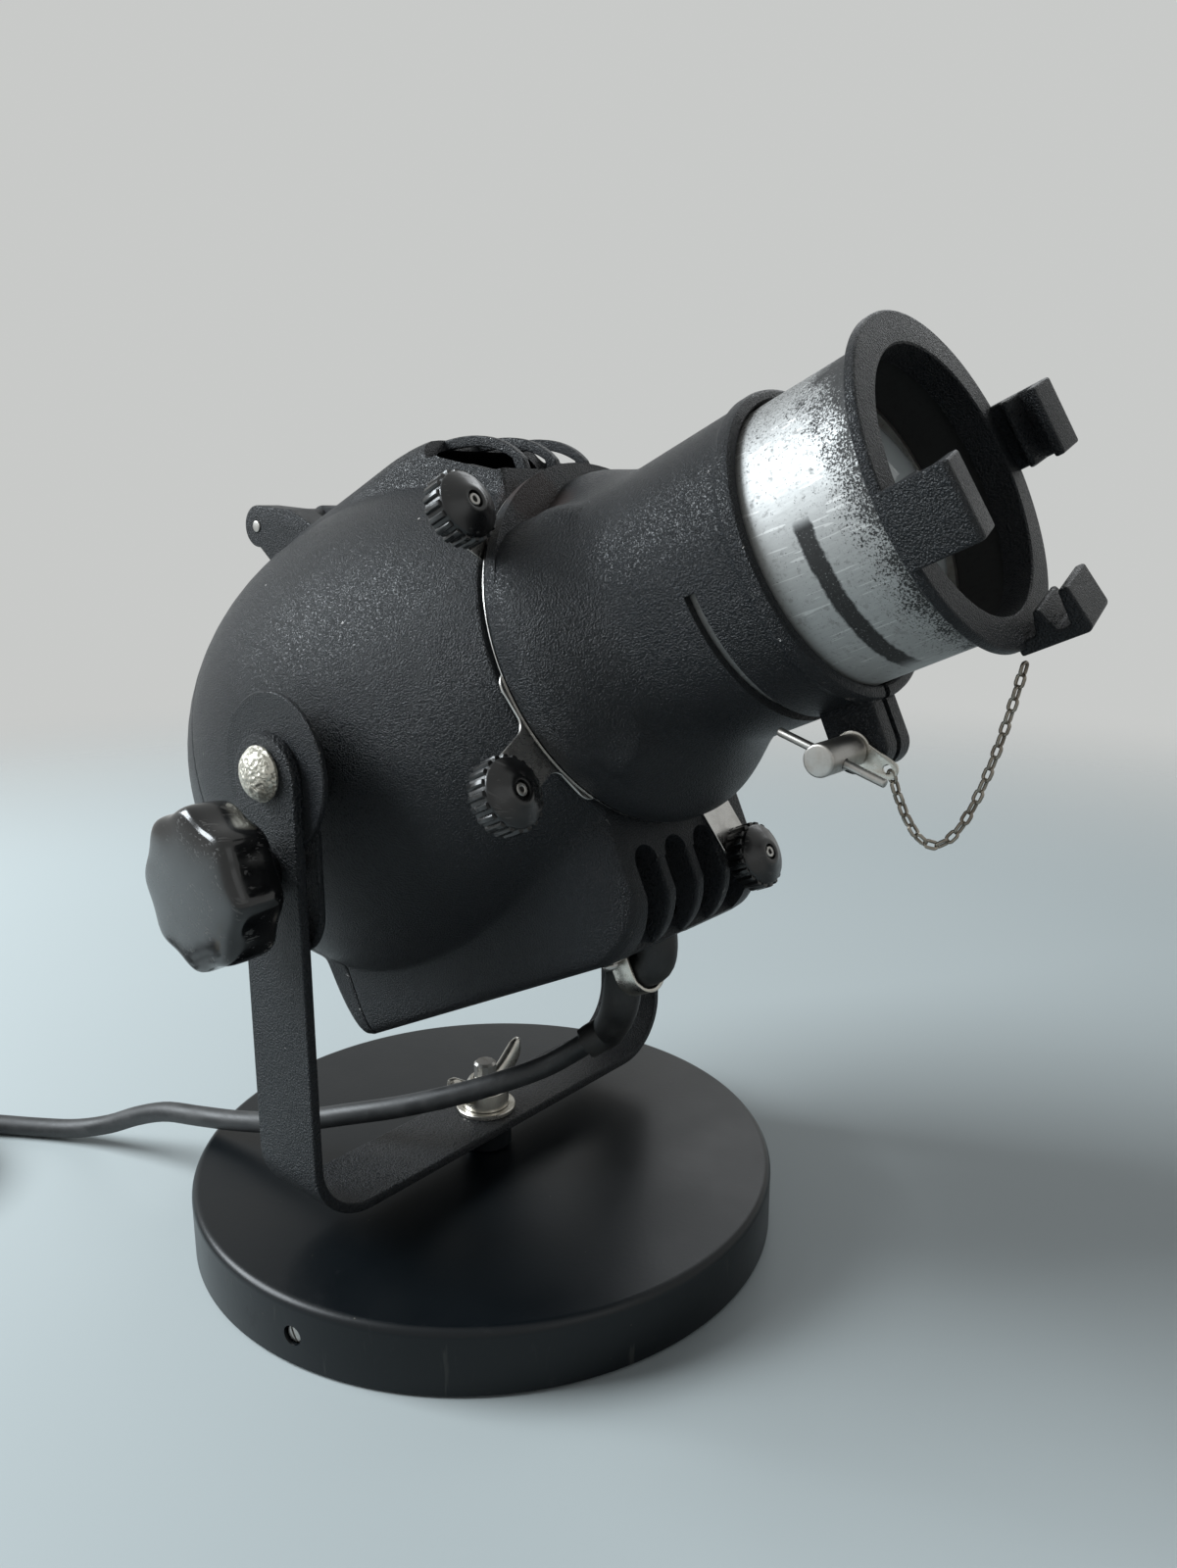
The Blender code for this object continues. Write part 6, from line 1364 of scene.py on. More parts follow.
def make_lens_tube(look):
    inner = TUBE_RADIUS - TUBE_WALL
    front = HOLDER_REAR - SEAT_GAP
    soft = 0.4 * MM
    profile = [(inner, TUBE_REAR), (TUBE_RADIUS - soft, TUBE_REAR), (TUBE_RADIUS, TUBE_REAR + soft),
               (TUBE_RADIUS, front - soft), (TUBE_RADIUS - soft, front), (inner, front)]
    tube = turned(profile, 220, closed=True)
    piece("lens_tube_shell", tube, HEAD @ ALONG_X, "lens_tube", look["tube_metal"], ["lens_tube"])

    spigot = inner - SEAT_GAP
    spigot_end = HOLDER_REAR - HOLDER_SPIGOT
    soft = 0.9 * MM
    rim = arc((HOLDER_REAR + soft, HOLDER_RADIUS - soft), soft, 180, 90, 5)
    rim += arc((HOLDER_FRONT - soft, HOLDER_RADIUS - soft), soft, 90, 0, 5)
    profile = [(HOLDER_HOLE, spigot_end), (spigot, spigot_end), (spigot, HOLDER_REAR)]
    profile += [(radius, x) for x, radius in rim]
    profile += [(HOLDER_HOLE + 0.5 * MM, HOLDER_FRONT), (HOLDER_HOLE, HOLDER_FRONT - 0.5 * MM)]
    ring = moved(turned(profile, 220, closed=True), ALONG_X)
    lugs = [moved(lug(), Matrix.Rotation(angle - pi / 2, 4, "X")) for angle in LUG_ANGLES]
    holder = boolean(ring, lugs, "UNION")
    piece("frame_holder_casting", holder, HEAD, "lens_tube", look["casting_paint"],
          ["colour_frame_holder"])

    lens_radius = inner - SEAT_GAP
    edge = LENS_REAR + LENS_THICKNESS
    sphere = (lens_radius**2 + LENS_BULGE**2) / (2 * LENS_BULGE)
    top_angle = asin(lens_radius / sphere)
    profile = [(0, LENS_REAR), (lens_radius - 0.3 * MM, LENS_REAR), (lens_radius, LENS_REAR + 0.3 * MM),
               (lens_radius, edge)]
    for i in range(1, 48):
        angle = top_angle * (1 - i / 48)
        profile.append((sphere * sin(angle), edge + LENS_BULGE - sphere * (1 - cos(angle))))
    profile.append((0, edge + LENS_BULGE))
    piece("lens_glass", turned(profile, 180), HEAD @ ALONG_X, "lens_tube", look["glass"], ["lens"])
    for name, low, depth in (("retainer", edge + SEAT_GAP + 1.6 * MM, 2.2 * MM),
                             ("seat", LENS_REAR - SEAT_GAP - RETAINER_WIDTH, 2.2 * MM)):
        profile = [(lens_radius - depth, low), (lens_radius, low),
                   (lens_radius, low + RETAINER_WIDTH - 0.4 * MM),
                   (lens_radius - 0.4 * MM, low + RETAINER_WIDTH), (lens_radius - depth, low + RETAINER_WIDTH)]
        piece("lens_" + name + "_ring", turned(profile, 160, closed=True), HEAD @ ALONG_X, "lens_tube",
              look["steel"], ["lens_" + name])


def lug():
    """A lug with its two channels, standing at the top of the holder."""
    outer = HOLDER_RADIUS + 0.8 * MM
    floor = outer - LUG_THICKNESS
    root, end = HOLDER_REAR + MM, HOLDER_FRONT + LUG_REACH
    tooth = HOLDER_FRONT + LUG_CHANNEL
    hook = HOLDER_FRONT + LUG_HOOK_START
    tip = tooth + LUG_TOOTH_BASE / 2
    outline = [(root, outer), (end - 2 * MM, outer), *arc((end - 2 * MM, outer - 2 * MM), 2 * MM, 80, 0, 5)]
    outline += [(end - 1.4 * MM, floor - LUG_HOOK_HEIGHT), (hook + 0.8 * MM, floor - LUG_HOOK_HEIGHT)]
    outline += [(hook, floor + 0.6 * MM), (tooth + LUG_TOOTH_BASE, floor + 0.6 * MM)]
    outline += [(tip + 0.9 * MM, floor - LUG_TOOTH_HEIGHT), (tip - 0.9 * MM, floor - LUG_TOOTH_HEIGHT)]
    outline += [(tooth, floor), (root, floor)]
    return moved(soften(slab(outline, LUG_WIDTH), 0.8 * MM, 3, 40), OUTLINE_XZ)


# Safety chain


def make_chain(look, sizes):
    away = (TAG_TIP_RADIUS + SEAT_GAP + 2 * sizes.wire) * sqrt(0.5)
    start = HEAD @ Vector((CLAMP_SCREW_X + TAG_TIP[0] + away * 0.2, TAG_Y,
                           TAG_TIP[1] - 0.2 * away - CLAMP_SCREW_DROP))
    stand = HOLDER_RADIUS + 4 * MM
    end = HEAD @ Vector((CHAIN_END_X, stand * cos(CHAIN_END_ANGLE), stand * sin(CHAIN_END_ANGLE)))
    route = []
    for i in range(61):
        share = i / 60
        route.append(start.lerp(end, share) - Vector((0, 0, CHAIN_SAG * 4 * share * (1 - share))))
    path = smooth_route(route, sizes.link_pitch)
    whole = bmesh.new()
    pitch = route_length(path) / (len(path) - 1)
    for i, (first, second) in enumerate(zip(path, path[1:])):
        link = turned_link(pitch + 2.4 * sizes.wire, sizes)
        turn = facing(second - first, "X")
        roll = Matrix.Rotation(radians(45 + 90 * (i % 2)), 4, "X")
        whole = together(whole, moved(link, Matrix.Translation((first + second) / 2) @ turn @ roll))
    chain = piece("chain_links", whole, Matrix(), None, look["chain_steel"], ["safety_chain"])
    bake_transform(chain)


def turned_link(length, sizes):
    """A round wire bent to an oval link, long along X."""
    radius = 2.2 * sizes.wire
    straight = max(length / 2 - radius - sizes.wire, 0)
    rings = []
    steps = 20
    for i in range(steps + 1):
        angle = 2 * pi * i / steps
        centre = Vector((radius * cos(angle), radius * sin(angle), 0))
        centre.x += copysign(straight, cos(angle))
        outward = Vector((cos(angle), sin(angle), 0))
        ring = []
        for turn in round_angles(sizes.sides):
            ring.append(centre + (outward * cos(turn) + Vector((0, 0, 1)) * sin(turn)) * sizes.wire)
        rings.append(ring)
    return tidy(skin(rings, caps=False))


# Cable, its coil and its plug


def cable_points():
    """The free cable from the sleeve to the plug: its own route, then the coil's turns."""
    route = [Vector(point) * MM for point in CABLE_ROUTE]
    path = smooth_route(route, 2.4 * 2 * CABLE_RADIUS)
    heading = path[-1] - path[-2]
    heading.z = 0
    heading.normalize()
    coil, centre = coil_points(path[-1] + heading * SEAT_GAP, heading)
    return path, coil, centre


def coil_points(start, heading):
    """A round coil in two layers: inward below, outward above, then a straight run to the plug."""
    outer = COIL_MID_RADIUS + COIL_TURNS / 4 * COIL_PITCH
    left = Vector((-heading.y, heading.x, 0))
    lead = 2 * CABLE_RADIUS
    centre = start + heading * lead + left * outer
    centre.z = 0
    phase = atan2(-left.y, -left.x)
    low = CABLE_RADIUS + TIE_THICKNESS + SEAT_GAP
    layer = 2 * CABLE_RADIUS + 0.8 * MM
    points = [start.copy()]
    steps = round(24 * COIL_TURNS)
    half_way = COIL_TURNS / 2
    for i in range(steps + 1):
        turns = COIL_TURNS * i / steps
        radius = outer - COIL_PITCH * (half_way - abs(turns - half_way))
        climb = min(max((turns - half_way) / 0.5 + 0.5, 0), 1)
        rise = layer * (0.5 - 0.5 * cos(pi * climb))
        height = start.z + (low - start.z) * min(turns / 0.15, 1) + rise
        angle = phase + 2 * pi * turns
        points.append(Vector((centre.x + radius * cos(angle),
                              centre.y + radius * sin(angle), height)))
    leave = points[-1] - points[-2]
    leave.z = 0
    leave.normalize()
    tail = points[-1].copy()
    end_height = PLUG_RADIUS + SEAT_GAP
    for i in range(1, 6):
        point = tail + leave * (11 * MM * i)
        point.z = tail.z + (end_height - tail.z) * (0.5 - 0.5 * cos(pi * i / 5))
        points.append(point)
    points.append(points[-1] + leave * lead)
    return points, centre


def make_cable(look):
    path, coil, centre = cable_points()
    line = path[:-1] + [path[-1].lerp(coil[0], 0.5)] + coil[1:]
    fine = smooth_route(line, 5 * MM)
    cable = piece("cable_tube", swept(fine, CABLE_RADIUS, 28), Matrix(), None, look["cable_rubber"],
                  ["mains_cable", "cable_coil"], 60)
    heading = (coil[-1] - coil[-2]).normalized()
    parts = make_plug(look, coil[-1], heading)
    route_length(fine)
    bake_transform(cable)

    spread = COIL_TURNS / 2 * COIL_PITCH / 2 + CABLE_RADIUS + 2.5 * MM
    height = 4 * CABLE_RADIUS + TIE_THICKNESS + 2.2 * MM
    outer_x, outer_z = spread + TIE_THICKNESS, height / 2 + TIE_THICKNESS
    inner_x, inner_z = spread, height / 2 - 0.2 * MM
    tie = slab(round_rectangle(outer_x, outer_z, 6 * MM), TIE_WIDTH,
               [round_rectangle(inner_x, inner_z, 5 * MM)])
    soften(tie, 0.3 * MM, 2, 50)
    turn = radians(200)
    spot = centre + Vector((cos(turn), sin(turn), 0)) * COIL_MID_RADIUS
    spot.z = outer_z
    place = Matrix.Translation(spot) @ Matrix.Rotation(turn, 4, "Z") @ Matrix.Rotation(pi / 2, 4, "X")
    piece("tie_strap", tie, place, "fork", look["webbing"], ["coil_tie"])

    make_sleeve(look, path[0], (path[1] - path[0]).normalized())
    make_saddle(look)


def round_rectangle(half_x, half_y, corner):
    points = []
    for sx, sy, start in ((1, 1, 0), (-1, 1, 90), (-1, -1, 180), (1, -1, 270)):
        points += arc((sx * (half_x - corner), sy * (half_y - corner)), corner, start, start + 90, 8)
    return points


def make_plug(look, entry, heading):
    """A round plug with three round pins and finger grooves."""
    gap = SEAT_GAP
    radius = PLUG_RADIUS
    profile = [(0, gap), (5.6 * MM, gap), (6 * MM, gap + 0.4 * MM), (6.3 * MM, 5 * MM), (7 * MM, 12 * MM)]
    profile += [(8.8 * MM, 14.4 * MM), (radius - 3 * MM, 18 * MM), (radius - 1.2 * MM, 21 * MM)]
    profile += [(radius, 26 * MM), (radius, 31 * MM), (radius - 0.9 * MM, 32.2 * MM),
                (radius - 0.9 * MM, 34 * MM),
                (radius, 35.2 * MM), (radius, PLUG_LENGTH - 2 * MM)]
    profile += arc((radius - 2 * MM, PLUG_LENGTH - 2 * MM), 2 * MM, 15, 90, 5)
    profile += [(0, PLUG_LENGTH)]
    body = turned(profile, 96)
    place = Matrix.Translation(entry) @ facing(heading)
    grips = []
    for i in range(10):
        angle = radians(36 * i)
        x, y = (radius + 1.9 * MM) * cos(angle), (radius + 1.9 * MM) * sin(angle)
        grips.append(rod(2.8 * MM, (x, y, 36.5 * MM), (x, y, 46 * MM), 24, 1.2 * MM))
    parts = []
    pins = []
    for index, name in enumerate(("earth", "live", "neutral")):
        angle = radians(90 + 120 * index)
        x, y = 7 * MM * cos(angle), 7 * MM * sin(angle)
        size = PIN_RADIUS if index else PIN_RADIUS * 1.3
        end = PLUG_LENGTH + PIN_LENGTH
        grips.append(rod(size + gap, (x, y, PLUG_LENGTH - 6 * MM - gap), (x, y, PLUG_LENGTH + 9 * MM), 32))
        pins.append((name, rod(size, (x, y, PLUG_LENGTH - 6 * MM), (x, y, end), 32, 0.8 * MM)))
    body = boolean(body, grips)
    parts.append(piece("plug_shell", body, place, "fork", look["plug_rubber"], ["plug_body"]))
    for name, pin in pins:
        parts.append(piece("plug_pin_" + name + "_rod", pin, place, "fork", look["brass"],
                           ["plug_pin_" + name]))
    return parts


def sleeve_entry():
    """Two points on the line along which the sleeve comes out of the vent box's floor."""
    inside = SADDLE_X + 15 * MM
    outside = SADDLE_X + 12.5 * MM
    return (Vector((inside, 0, -vent_floor(inside) + 5 * MM)),
            Vector((outside, 0, -vent_floor(outside) - 2 * MM)))


def make_sleeve(look, cable_start, heading):
    """The rubber sleeve, from the vent box's floor under the saddle to its torn end on the cable."""
    floor = -vent_floor(SADDLE_X - SADDLE_WIDTH / 2) - SLEEVE_RADIUS - SEAT_GAP
    route = [*sleeve_entry(), (SADDLE_X + 9 * MM, 0, floor + 1.5 * MM), (SADDLE_X + SADDLE_WIDTH / 2, 0, floor),
             (SADDLE_X, 0, floor), (SADDLE_X - SADDLE_WIDTH / 2, 0, floor),
             (SADDLE_X - 0.8 * SADDLE_WIDTH, 0, floor)]
    end = cable_start - heading * SEAT_GAP
    route = [HEAD @ Vector(point) for point in route]
    route += [Vector(SLEEVE_BEND) * MM, end - heading * 10 * MM, end - heading * 5 * MM, end]
    path = smooth_route(route, 1.6 * MM)
    radii = []
    for i in range(len(path)):
        share = i / (len(path) - 1)
        radii.append(SLEEVE_RADIUS + (SLEEVE_END_RADIUS - SLEEVE_RADIUS) * max(0, share - 0.5) * 2)
    sleeve = swept(path, radii, 48)
    reach = 3.4 * MM
    for vert in sleeve.verts:
        offset = vert.co - end
        along = offset.dot(heading)
        if abs(along) < 4 * MM and offset.length < 12 * MM:
            ragged = noise.noise(vert.co * 420) * 0.5 + 0.5
            share = (along + 4 * MM) / (4 * MM)
            out = offset - heading * along
            if out.length > CABLE_RADIUS + 0.6 * MM:
                vert.co += heading * (share * (ragged - 0.35) * reach * 0.6)
                vert.co += out.normalized() * (0.5 * MM * share * (ragged - 0.4))
    piece("sleeve_rubber", sleeve, Matrix(), "head", look["sleeve_rubber"], ["cable_sleeve"], 50)


def make_saddle(look):
    inner = SLEEVE_RADIUS + SADDLE_CLEARANCE
    outer = inner + SADDLE_SHEET
    drop = -vent_floor(SADDLE_X - SADDLE_WIDTH / 2) - SEAT_GAP
    centre = (0, drop - SLEEVE_RADIUS)
    foot = outer + 8 * MM
    tip = SADDLE_SHEET / 2
    outline = [(foot - tip, drop), (inner + 0.1 * MM, drop), *arc(centre, inner, 0, -180, 32)]
    outline += [(-inner - 0.1 * MM, drop), (-foot + tip, drop), (-foot, drop - tip),
                (-foot + tip, drop - SADDLE_SHEET)]
    outline += [(-outer, drop - SADDLE_SHEET), *arc(centre, outer, 180, 360, 40), (outer, drop - SADDLE_SHEET)]
    outline += [(foot - tip, drop - SADDLE_SHEET), (foot, drop - tip)]
    saddle = soften(slab(outline, SADDLE_WIDTH), 0.35 * MM, 2, 60)
    moved(saddle, shifted(SADDLE_X, 0, 0) @ OUTLINE_YZ)
    holes = []
    for name, side in (("near", -1), ("far", 1)):
        y = side * (foot - 4 * MM)
        holes.append(rod(1.9 * MM, (SADDLE_X, y, drop - 9 * MM), (SADDLE_X, y, drop + 9 * MM), 24))
        low = drop - SADDLE_SHEET - SEAT_GAP
        top = drop + 0.3 * SEAT_GAP
        profile = [(0, low - 2.2 * MM), (1.4 * MM, low - 2.15 * MM), (2.4 * MM, low - 1.9 * MM),
                   (3.1 * MM, low - 1.3 * MM), (3.4 * MM, low - 0.5 * MM), (3.4 * MM, low),
                   (1.6 * MM, low), (1.6 * MM, top), (0, top)]
        screw = turned(profile, 40)
        slot = moved(block((8 * MM, 0.8 * MM, 1.6 * MM), (0, 0, low - 2.4 * MM)),
                     Matrix.Rotation(0.6 * side, 4, "Z"))
        screw = boolean(screw, [slot])
        piece("saddle_screw_" + name + "_head", screw, HEAD @ shifted(SADDLE_X, y, 0), "head", look["steel"],
              ["saddle_screw_" + name])
    piece("saddle_strap", boolean(saddle, holes), HEAD, "head", look["nickel"], ["cable_saddle"])


# Finishes


def casting_paint(name, colour, settings, grain=0.62 * MM, worn_spots=()):
    """Fine textured paint, chipped to metal on its edges and rubbed at a few spots."""
    paint = Finish(name, ior=1.42)
    coarse = paint.noise(grain * 2.1, 3, 0.6)
    fine = paint.noise(grain, 2, 0.55)
    bumps = paint.between(fine, 0.38, 0.66) * 0.75 + coarse * 0.35
    swell = paint.noise(38 * MM, 3, 0.55)
    scuffs = paint.between(paint.noise(17 * MM, 6, 0.72, distortion=0.8), 0.58, 0.75)
    dust = paint.between(paint.noise(2.2 * MM, 2, 0.5), 0.66, 0.8) * paint.between(swell, 0.45, 0.65)
    chipped = paint.between(paint.noise(3.4 * MM, 5, 0.7), 0.665 - 0.05 * settings.wear,
                            0.70 - 0.05 * settings.wear)
    lone = paint.between(paint.cells(15 * MM), 0.042, 0.03) * paint.between(swell, 0.55, 0.6)
    chips = (paint.attribute("wear") * chipped).most(lone * 0.8)
    tint = paint.mix(paint.between(bumps, 0.35, 0.9), tuple(c * 0.72 for c in colour),
                     tuple(c * 1.35 for c in colour))
    tint = paint.mix(scuffs * 0.2, tint, (0.022, 0.022, 0.023))
    tint = paint.mix(dust * 0.22, tint, (0.08, 0.076, 0.07))
    rough = paint.between(swell, 0.3, 0.7, 0.33, 0.41) + bumps * 0.05 + scuffs * 0.05
    for place, reach, shade, power in worn_spots:
        spot = paint.add("ShaderNodeVectorMath", {"operation": "DISTANCE"},
                         {0: paint.object_place, 1: place}, "Value")
        ragged = paint.noise(5 * MM, 5, 0.7)
        mask = paint.between(spot + (ragged - 0.5) * (reach * 0.9), reach * 1.05, reach * 0.6)
        tint = paint.mix(mask * power, tint, shade)
        rough = rough + mask * 0.1
    tint = paint.mix(chips, tint, (0.30, 0.29, 0.28))
    height = bumps * (1 - chips)
    relief = paint.relief(height, settings.grain_depth, 1.0)
    return paint.finish(Base_Color=tint, Roughness=rough - chips * 0.12, Metallic=chips, Normal=relief)


def satin_paint(settings):
    """Smooth black paint on spun steel, with dust, runs and scuffs."""
    paint = Finish("satin_paint", ior=1.38)
    colour = tuple(settings.base_colour)
    cloud = paint.noise(55 * MM, 4, 0.6)
    specks = paint.between(paint.cells(7.5 * MM), 0.055, 0.03)
    specks = specks * paint.between(paint.noise(30 * MM, 2, 0.5), 0.48, 0.6)
    rub = paint.between(paint.noise(9 * MM, 6, 0.75, place=paint.placed(stretch=(1, 1, 0.25)),
                                    distortion=1.2), 0.6, 0.72)
    low = paint.axis("Z")
    run = paint.between(paint.noise(6 * MM, 3, 0.6, place=paint.placed(stretch=(1, 1, 0.12))), 0.64, 0.7)
    side = paint.between(low, BASE_HEIGHT - 4 * MM, BASE_HEIGHT - 6 * MM)
    edges = paint.attribute("wear") * paint.between(paint.noise(3 * MM, 4, 0.65), 0.64, 0.7) * settings.wear
    tint = paint.mix(cloud, tuple(c * 0.85 for c in colour), tuple(c * 1.3 for c in colour))
    tint = paint.mix(rub * 0.18, tint, (0.035, 0.036, 0.038))
    tint = paint.mix(specks * 0.55, tint, (0.13, 0.12, 0.10))
    tint = paint.mix(run * side * 0.35, tint, (0.06, 0.06, 0.055))
    tint = paint.mix(edges, tint, (0.16, 0.16, 0.16))
    rough = paint.between(cloud, 0.3, 0.7, 0.30, 0.38) + rub * 0.12 + specks * 0.2 + run * side * 0.12
    peel = paint.noise(1.9 * MM, 2, 0.5) + specks * 0.8 + run * side * 0.8
    return paint.finish(Base_Color=tint, Roughness=rough, Normal=paint.relief(peel, FINE_RELIEF, 0.5))


def bakelite(name, settings, dull=0.0):
    """Moulded knobs, scratched by hands."""
    knob = Finish(name, coat=0.25 - dull, coat_roughness=0.12)
    colour = tuple(settings.bakelite_colour)
    scratches = None
    for turn, seed in ((0.4, 3.1), (1.3, 7.7), (2.3, 12.9)):
        place = knob.placed(stretch=(1, 0.03, 0.6), turn=(0.3 * seed, turn, turn * 1.7),
                            centre=(seed * MM, 0, 0))
        line = knob.between(knob.noise(0.9 * MM, 1, 0.4, place=place), 0.665, 0.70)
        line = line * knob.between(knob.noise(7 * MM, 2, 0.5), 0.47, 0.6)
        scratches = line if scratches is None else scratches.most(line)
    haze = knob.noise(11 * MM, 4, 0.6)
    dust = knob.between(knob.cells(5 * MM), 0.06, 0.03)
    tint = knob.mix(scratches * 0.5 + dust * 0.3, colour, (0.11, 0.105, 0.10))
    tint = knob.mix(knob.between(haze, 0.5, 0.75) * 0.25, tint, (0.022, 0.021, 0.020))
    rough = knob.between(haze, 0.3, 0.75, 0.12, 0.27) + scratches * 0.25 + dull
    height = haze * 0.4 - scratches * 0.6
    return knob.finish(Base_Color=tint, Roughness=rough, Normal=knob.relief(height, FINE_RELIEF, 0.5))


def metal(name, colour, rough, grain, stretch, stain, stain_share, pits):
    """A bare metal with its grain, stains and pits."""
    bare = Finish(name, metallic=1.0)
    lines = bare.noise(grain, 3, 0.6, place=bare.placed(stretch=stretch))
    cloud = bare.between(bare.noise(9 * MM, 5, 0.65), 0.42, 0.7)
    spots = bare.between(bare.noise(1.3 * MM, 3, 0.6), 0.62, 0.72)
    tint = bare.mix(lines * 0.5, colour, tuple(c * 0.7 for c in colour))
    tint = bare.mix((cloud * stain_share + spots * pits).least(1.0), tint, stain)
    roughness = lines * 0.14 + cloud * 0.16 + spots * (0.25 * pits) + rough
    height = lines - spots * pits
    return bare.finish(Base_Color=tint, Roughness=roughness, Normal=bare.relief(height, FINE_RELIEF, 0.5))


def hammered_nickel():
    bare = Finish("hammered_nickel", metallic=1.0)
    dents = bare.cells(1.5 * MM, feature="SMOOTH_F1")
    small = bare.noise(0.6 * MM, 3, 0.6)
    pits = bare.between(bare.noise(1.3 * MM, 4, 0.7), 0.52, 0.66)
    tint = bare.mix(pits * 0.7, (0.50, 0.48, 0.42), (0.16, 0.14, 0.10))
    rough = small * 0.2 + pits * 0.2 + 0.38
    return bare.finish(Base_Color=tint, Roughness=rough, Normal=bare.relief(dents - pits * 0.4, 0.8 * MM, 1.0))


def tube_metal(settings):
    """Bare aluminium, scratched by sliding and blackened inside.

    Old black paint is left near its flange and on top, and a painted shade darkens its top.
    """
    tube = Finish("worn_aluminium", metallic=1.0)
    forward = (cos(TILT), 0, sin(TILT))
    upward = (-sin(TILT), 0, cos(TILT))
    foot = tuple(HEAD @ Vector((0, 0, 0)))
    here = tube.add("ShaderNodeVectorMath", {"operation": "SUBTRACT"}, {0: tube.object_place, 1: foot})
    along = tube.add("ShaderNodeVectorMath", {"operation": "DOT_PRODUCT"}, {0: here, 1: forward}, "Value")
    up = tube.add("ShaderNodeVectorMath", {"operation": "DOT_PRODUCT"}, {0: here, 1: upward}, "Value")
    across = tube.axis("Y")
    radius = (up * up + across * across) ** 0.5
    inside = tube.between(radius, TUBE_RADIUS - 0.8 * MM, TUBE_RADIUS - 1.2 * MM)
    brushed = tube.noise(0.8 * MM, 3, 0.6, place=tube.placed(stretch=(0.16, 1, 1), turn=(0, TILT, 0)))
    speckle = tube.noise(0.62 * MM, 3, 0.75)
    blot = tube.noise(10 * MM, 5, 0.7)
    flange = tube.between(along + (blot - 0.5) * (22 * MM), HOLDER_REAR - 26 * MM, HOLDER_REAR)
    # top rises toward the tube's upper side: it gathers the old paint there and sets the painted shade on the
    # top.
    top = tube.between(up + (blot - 0.5) * (14 * MM), 0.25 * TUBE_RADIUS, TUBE_RADIUS)
    amount = flange * flange * 0.24 + top * 0.13 + flange * top * 0.1 + tube.between(blot, 0.5, 0.75) * 0.05
    paint = tube.between(speckle + amount, 0.62, 0.72)
    edge = along + (tube.noise(3 * MM, 4, 0.7) - 0.5) * (2.2 * MM)
    band = tube.between(edge, 189.6 * MM, 190.6 * MM) * tube.between(edge, 196.2 * MM, 195.2 * MM)
    reach = tube.between(up, 1 * MM, -3 * MM) * tube.between(across, -8 * MM, -17 * MM)
    mark = band * reach * tube.between(speckle, 0.26, 0.40)
    rub = tube.between(tube.noise(2.2 * MM, 4, 0.65, place=tube.placed(stretch=(1, 0.2, 1))), 0.55, 0.66)
    scratch = tube.between(tube.noise(0.7 * MM, 1, 0.4,
                                      place=tube.placed(stretch=(0.05, 1, 0.4), turn=(0.6, 0.3, 0.2))),
                           0.67, 0.7)
    colour = tuple(settings.tube_colour)
    tint = tube.mix(brushed * 0.5, colour, tuple(c * 0.7 for c in colour))
    # Rubbed spots turn darker grey, and so does the tube's top: painted shade on its upper side.
    tint = tube.mix(rub * 0.3 + top * 0.4, tint, (0.22, 0.22, 0.215))
    tint = tube.mix(scratch * 0.5, tint, (0.7, 0.7, 0.69))
    painted = paint.most(mark).most(inside)
    tint = tube.mix(painted, tint, (0.014, 0.014, 0.014))
    rough = brushed * 0.16 + rub * 0.1 + 0.55 + painted * 0.08
    return tube.finish(Base_Color=tint, Roughness=rough, Metallic=1 - painted,
                       Normal=tube.relief(brushed * 0.4 + painted, FINE_RELIEF, 0.6))


def glass():
    """Pressed glass, painted a milky pale grey: a painted reflection of the lit reflector behind it."""
    lens = Finish("glass", ior=1.5)
    lens.shader.inputs["Transmission Weight"].default_value = 0.45
    haze = lens.noise(14 * MM, 4, 0.6)
    dust = lens.between(lens.noise(1.4 * MM, 3, 0.6), 0.62, 0.74)
    # The pale base colour is a painted reflection of the lit reflector behind the lens; dust greys it.
    tint = lens.mix(dust * 0.2, (0.86, 0.90, 0.89), (0.62, 0.62, 0.58))
    return lens.finish(Base_Color=tint, Roughness=lens.between(haze, 0.35, 0.7, 0.03, 0.10) + dust * 0.1,
                       Normal=lens.relief(haze, FINE_RELIEF, 0.12))


def soft_surface(name, colour, worn, rough, grain, depth, stretch=(1, 1, 1), streaks=0.0):
    """Rubber, felt, iron and the like: a grain, its worn colour and a cloudy sheen."""
    surface = Finish(name)
    fine = surface.noise(grain, 3, 0.6, place=surface.placed(stretch=stretch))
    cloud = surface.between(surface.noise(15 * MM, 4, 0.6), 0.4, 0.7)
    rub = surface.between(surface.noise(3.5 * MM, 5, 0.7), 0.55, 0.72)
    edges = surface.attribute("wear") * rub
    tint = surface.mix(cloud, colour, tuple(0.5 * (a + b) for a, b in zip(colour, worn)))
    tint = surface.mix((rub * (0.25 + streaks) + edges * 0.4).least(1.0), tint, worn)
    roughness = cloud * 0.12 + fine * 0.1 + rough
    return surface.finish(Base_Color=tint, Roughness=roughness,
                          Normal=surface.relief(fine + rub * 0.2, depth, 0.6))


def webbing():
    """A woven strap, its threads across and along."""
    strap = Finish("webbing")
    across = strap.add("ShaderNodeTexWave", {"bands_direction": "Z"},
                       {"Vector": strap.object_place, "Scale": 0.16 / MM, "Distortion": 0.6}, "Fac")
    along = strap.add("ShaderNodeTexWave", {"bands_direction": "DIAGONAL"},
                      {"Vector": strap.object_place, "Scale": 0.13 / MM, "Distortion": 0.6}, "Fac")
    weave = across * along
    tint = strap.mix(weave, (0.010, 0.010, 0.011), (0.035, 0.034, 0.033))
    return strap.finish(Base_Color=tint, Roughness=weave * 0.1 + 0.75,
                        Normal=strap.relief(weave, 0.2 * MM, 0.7))


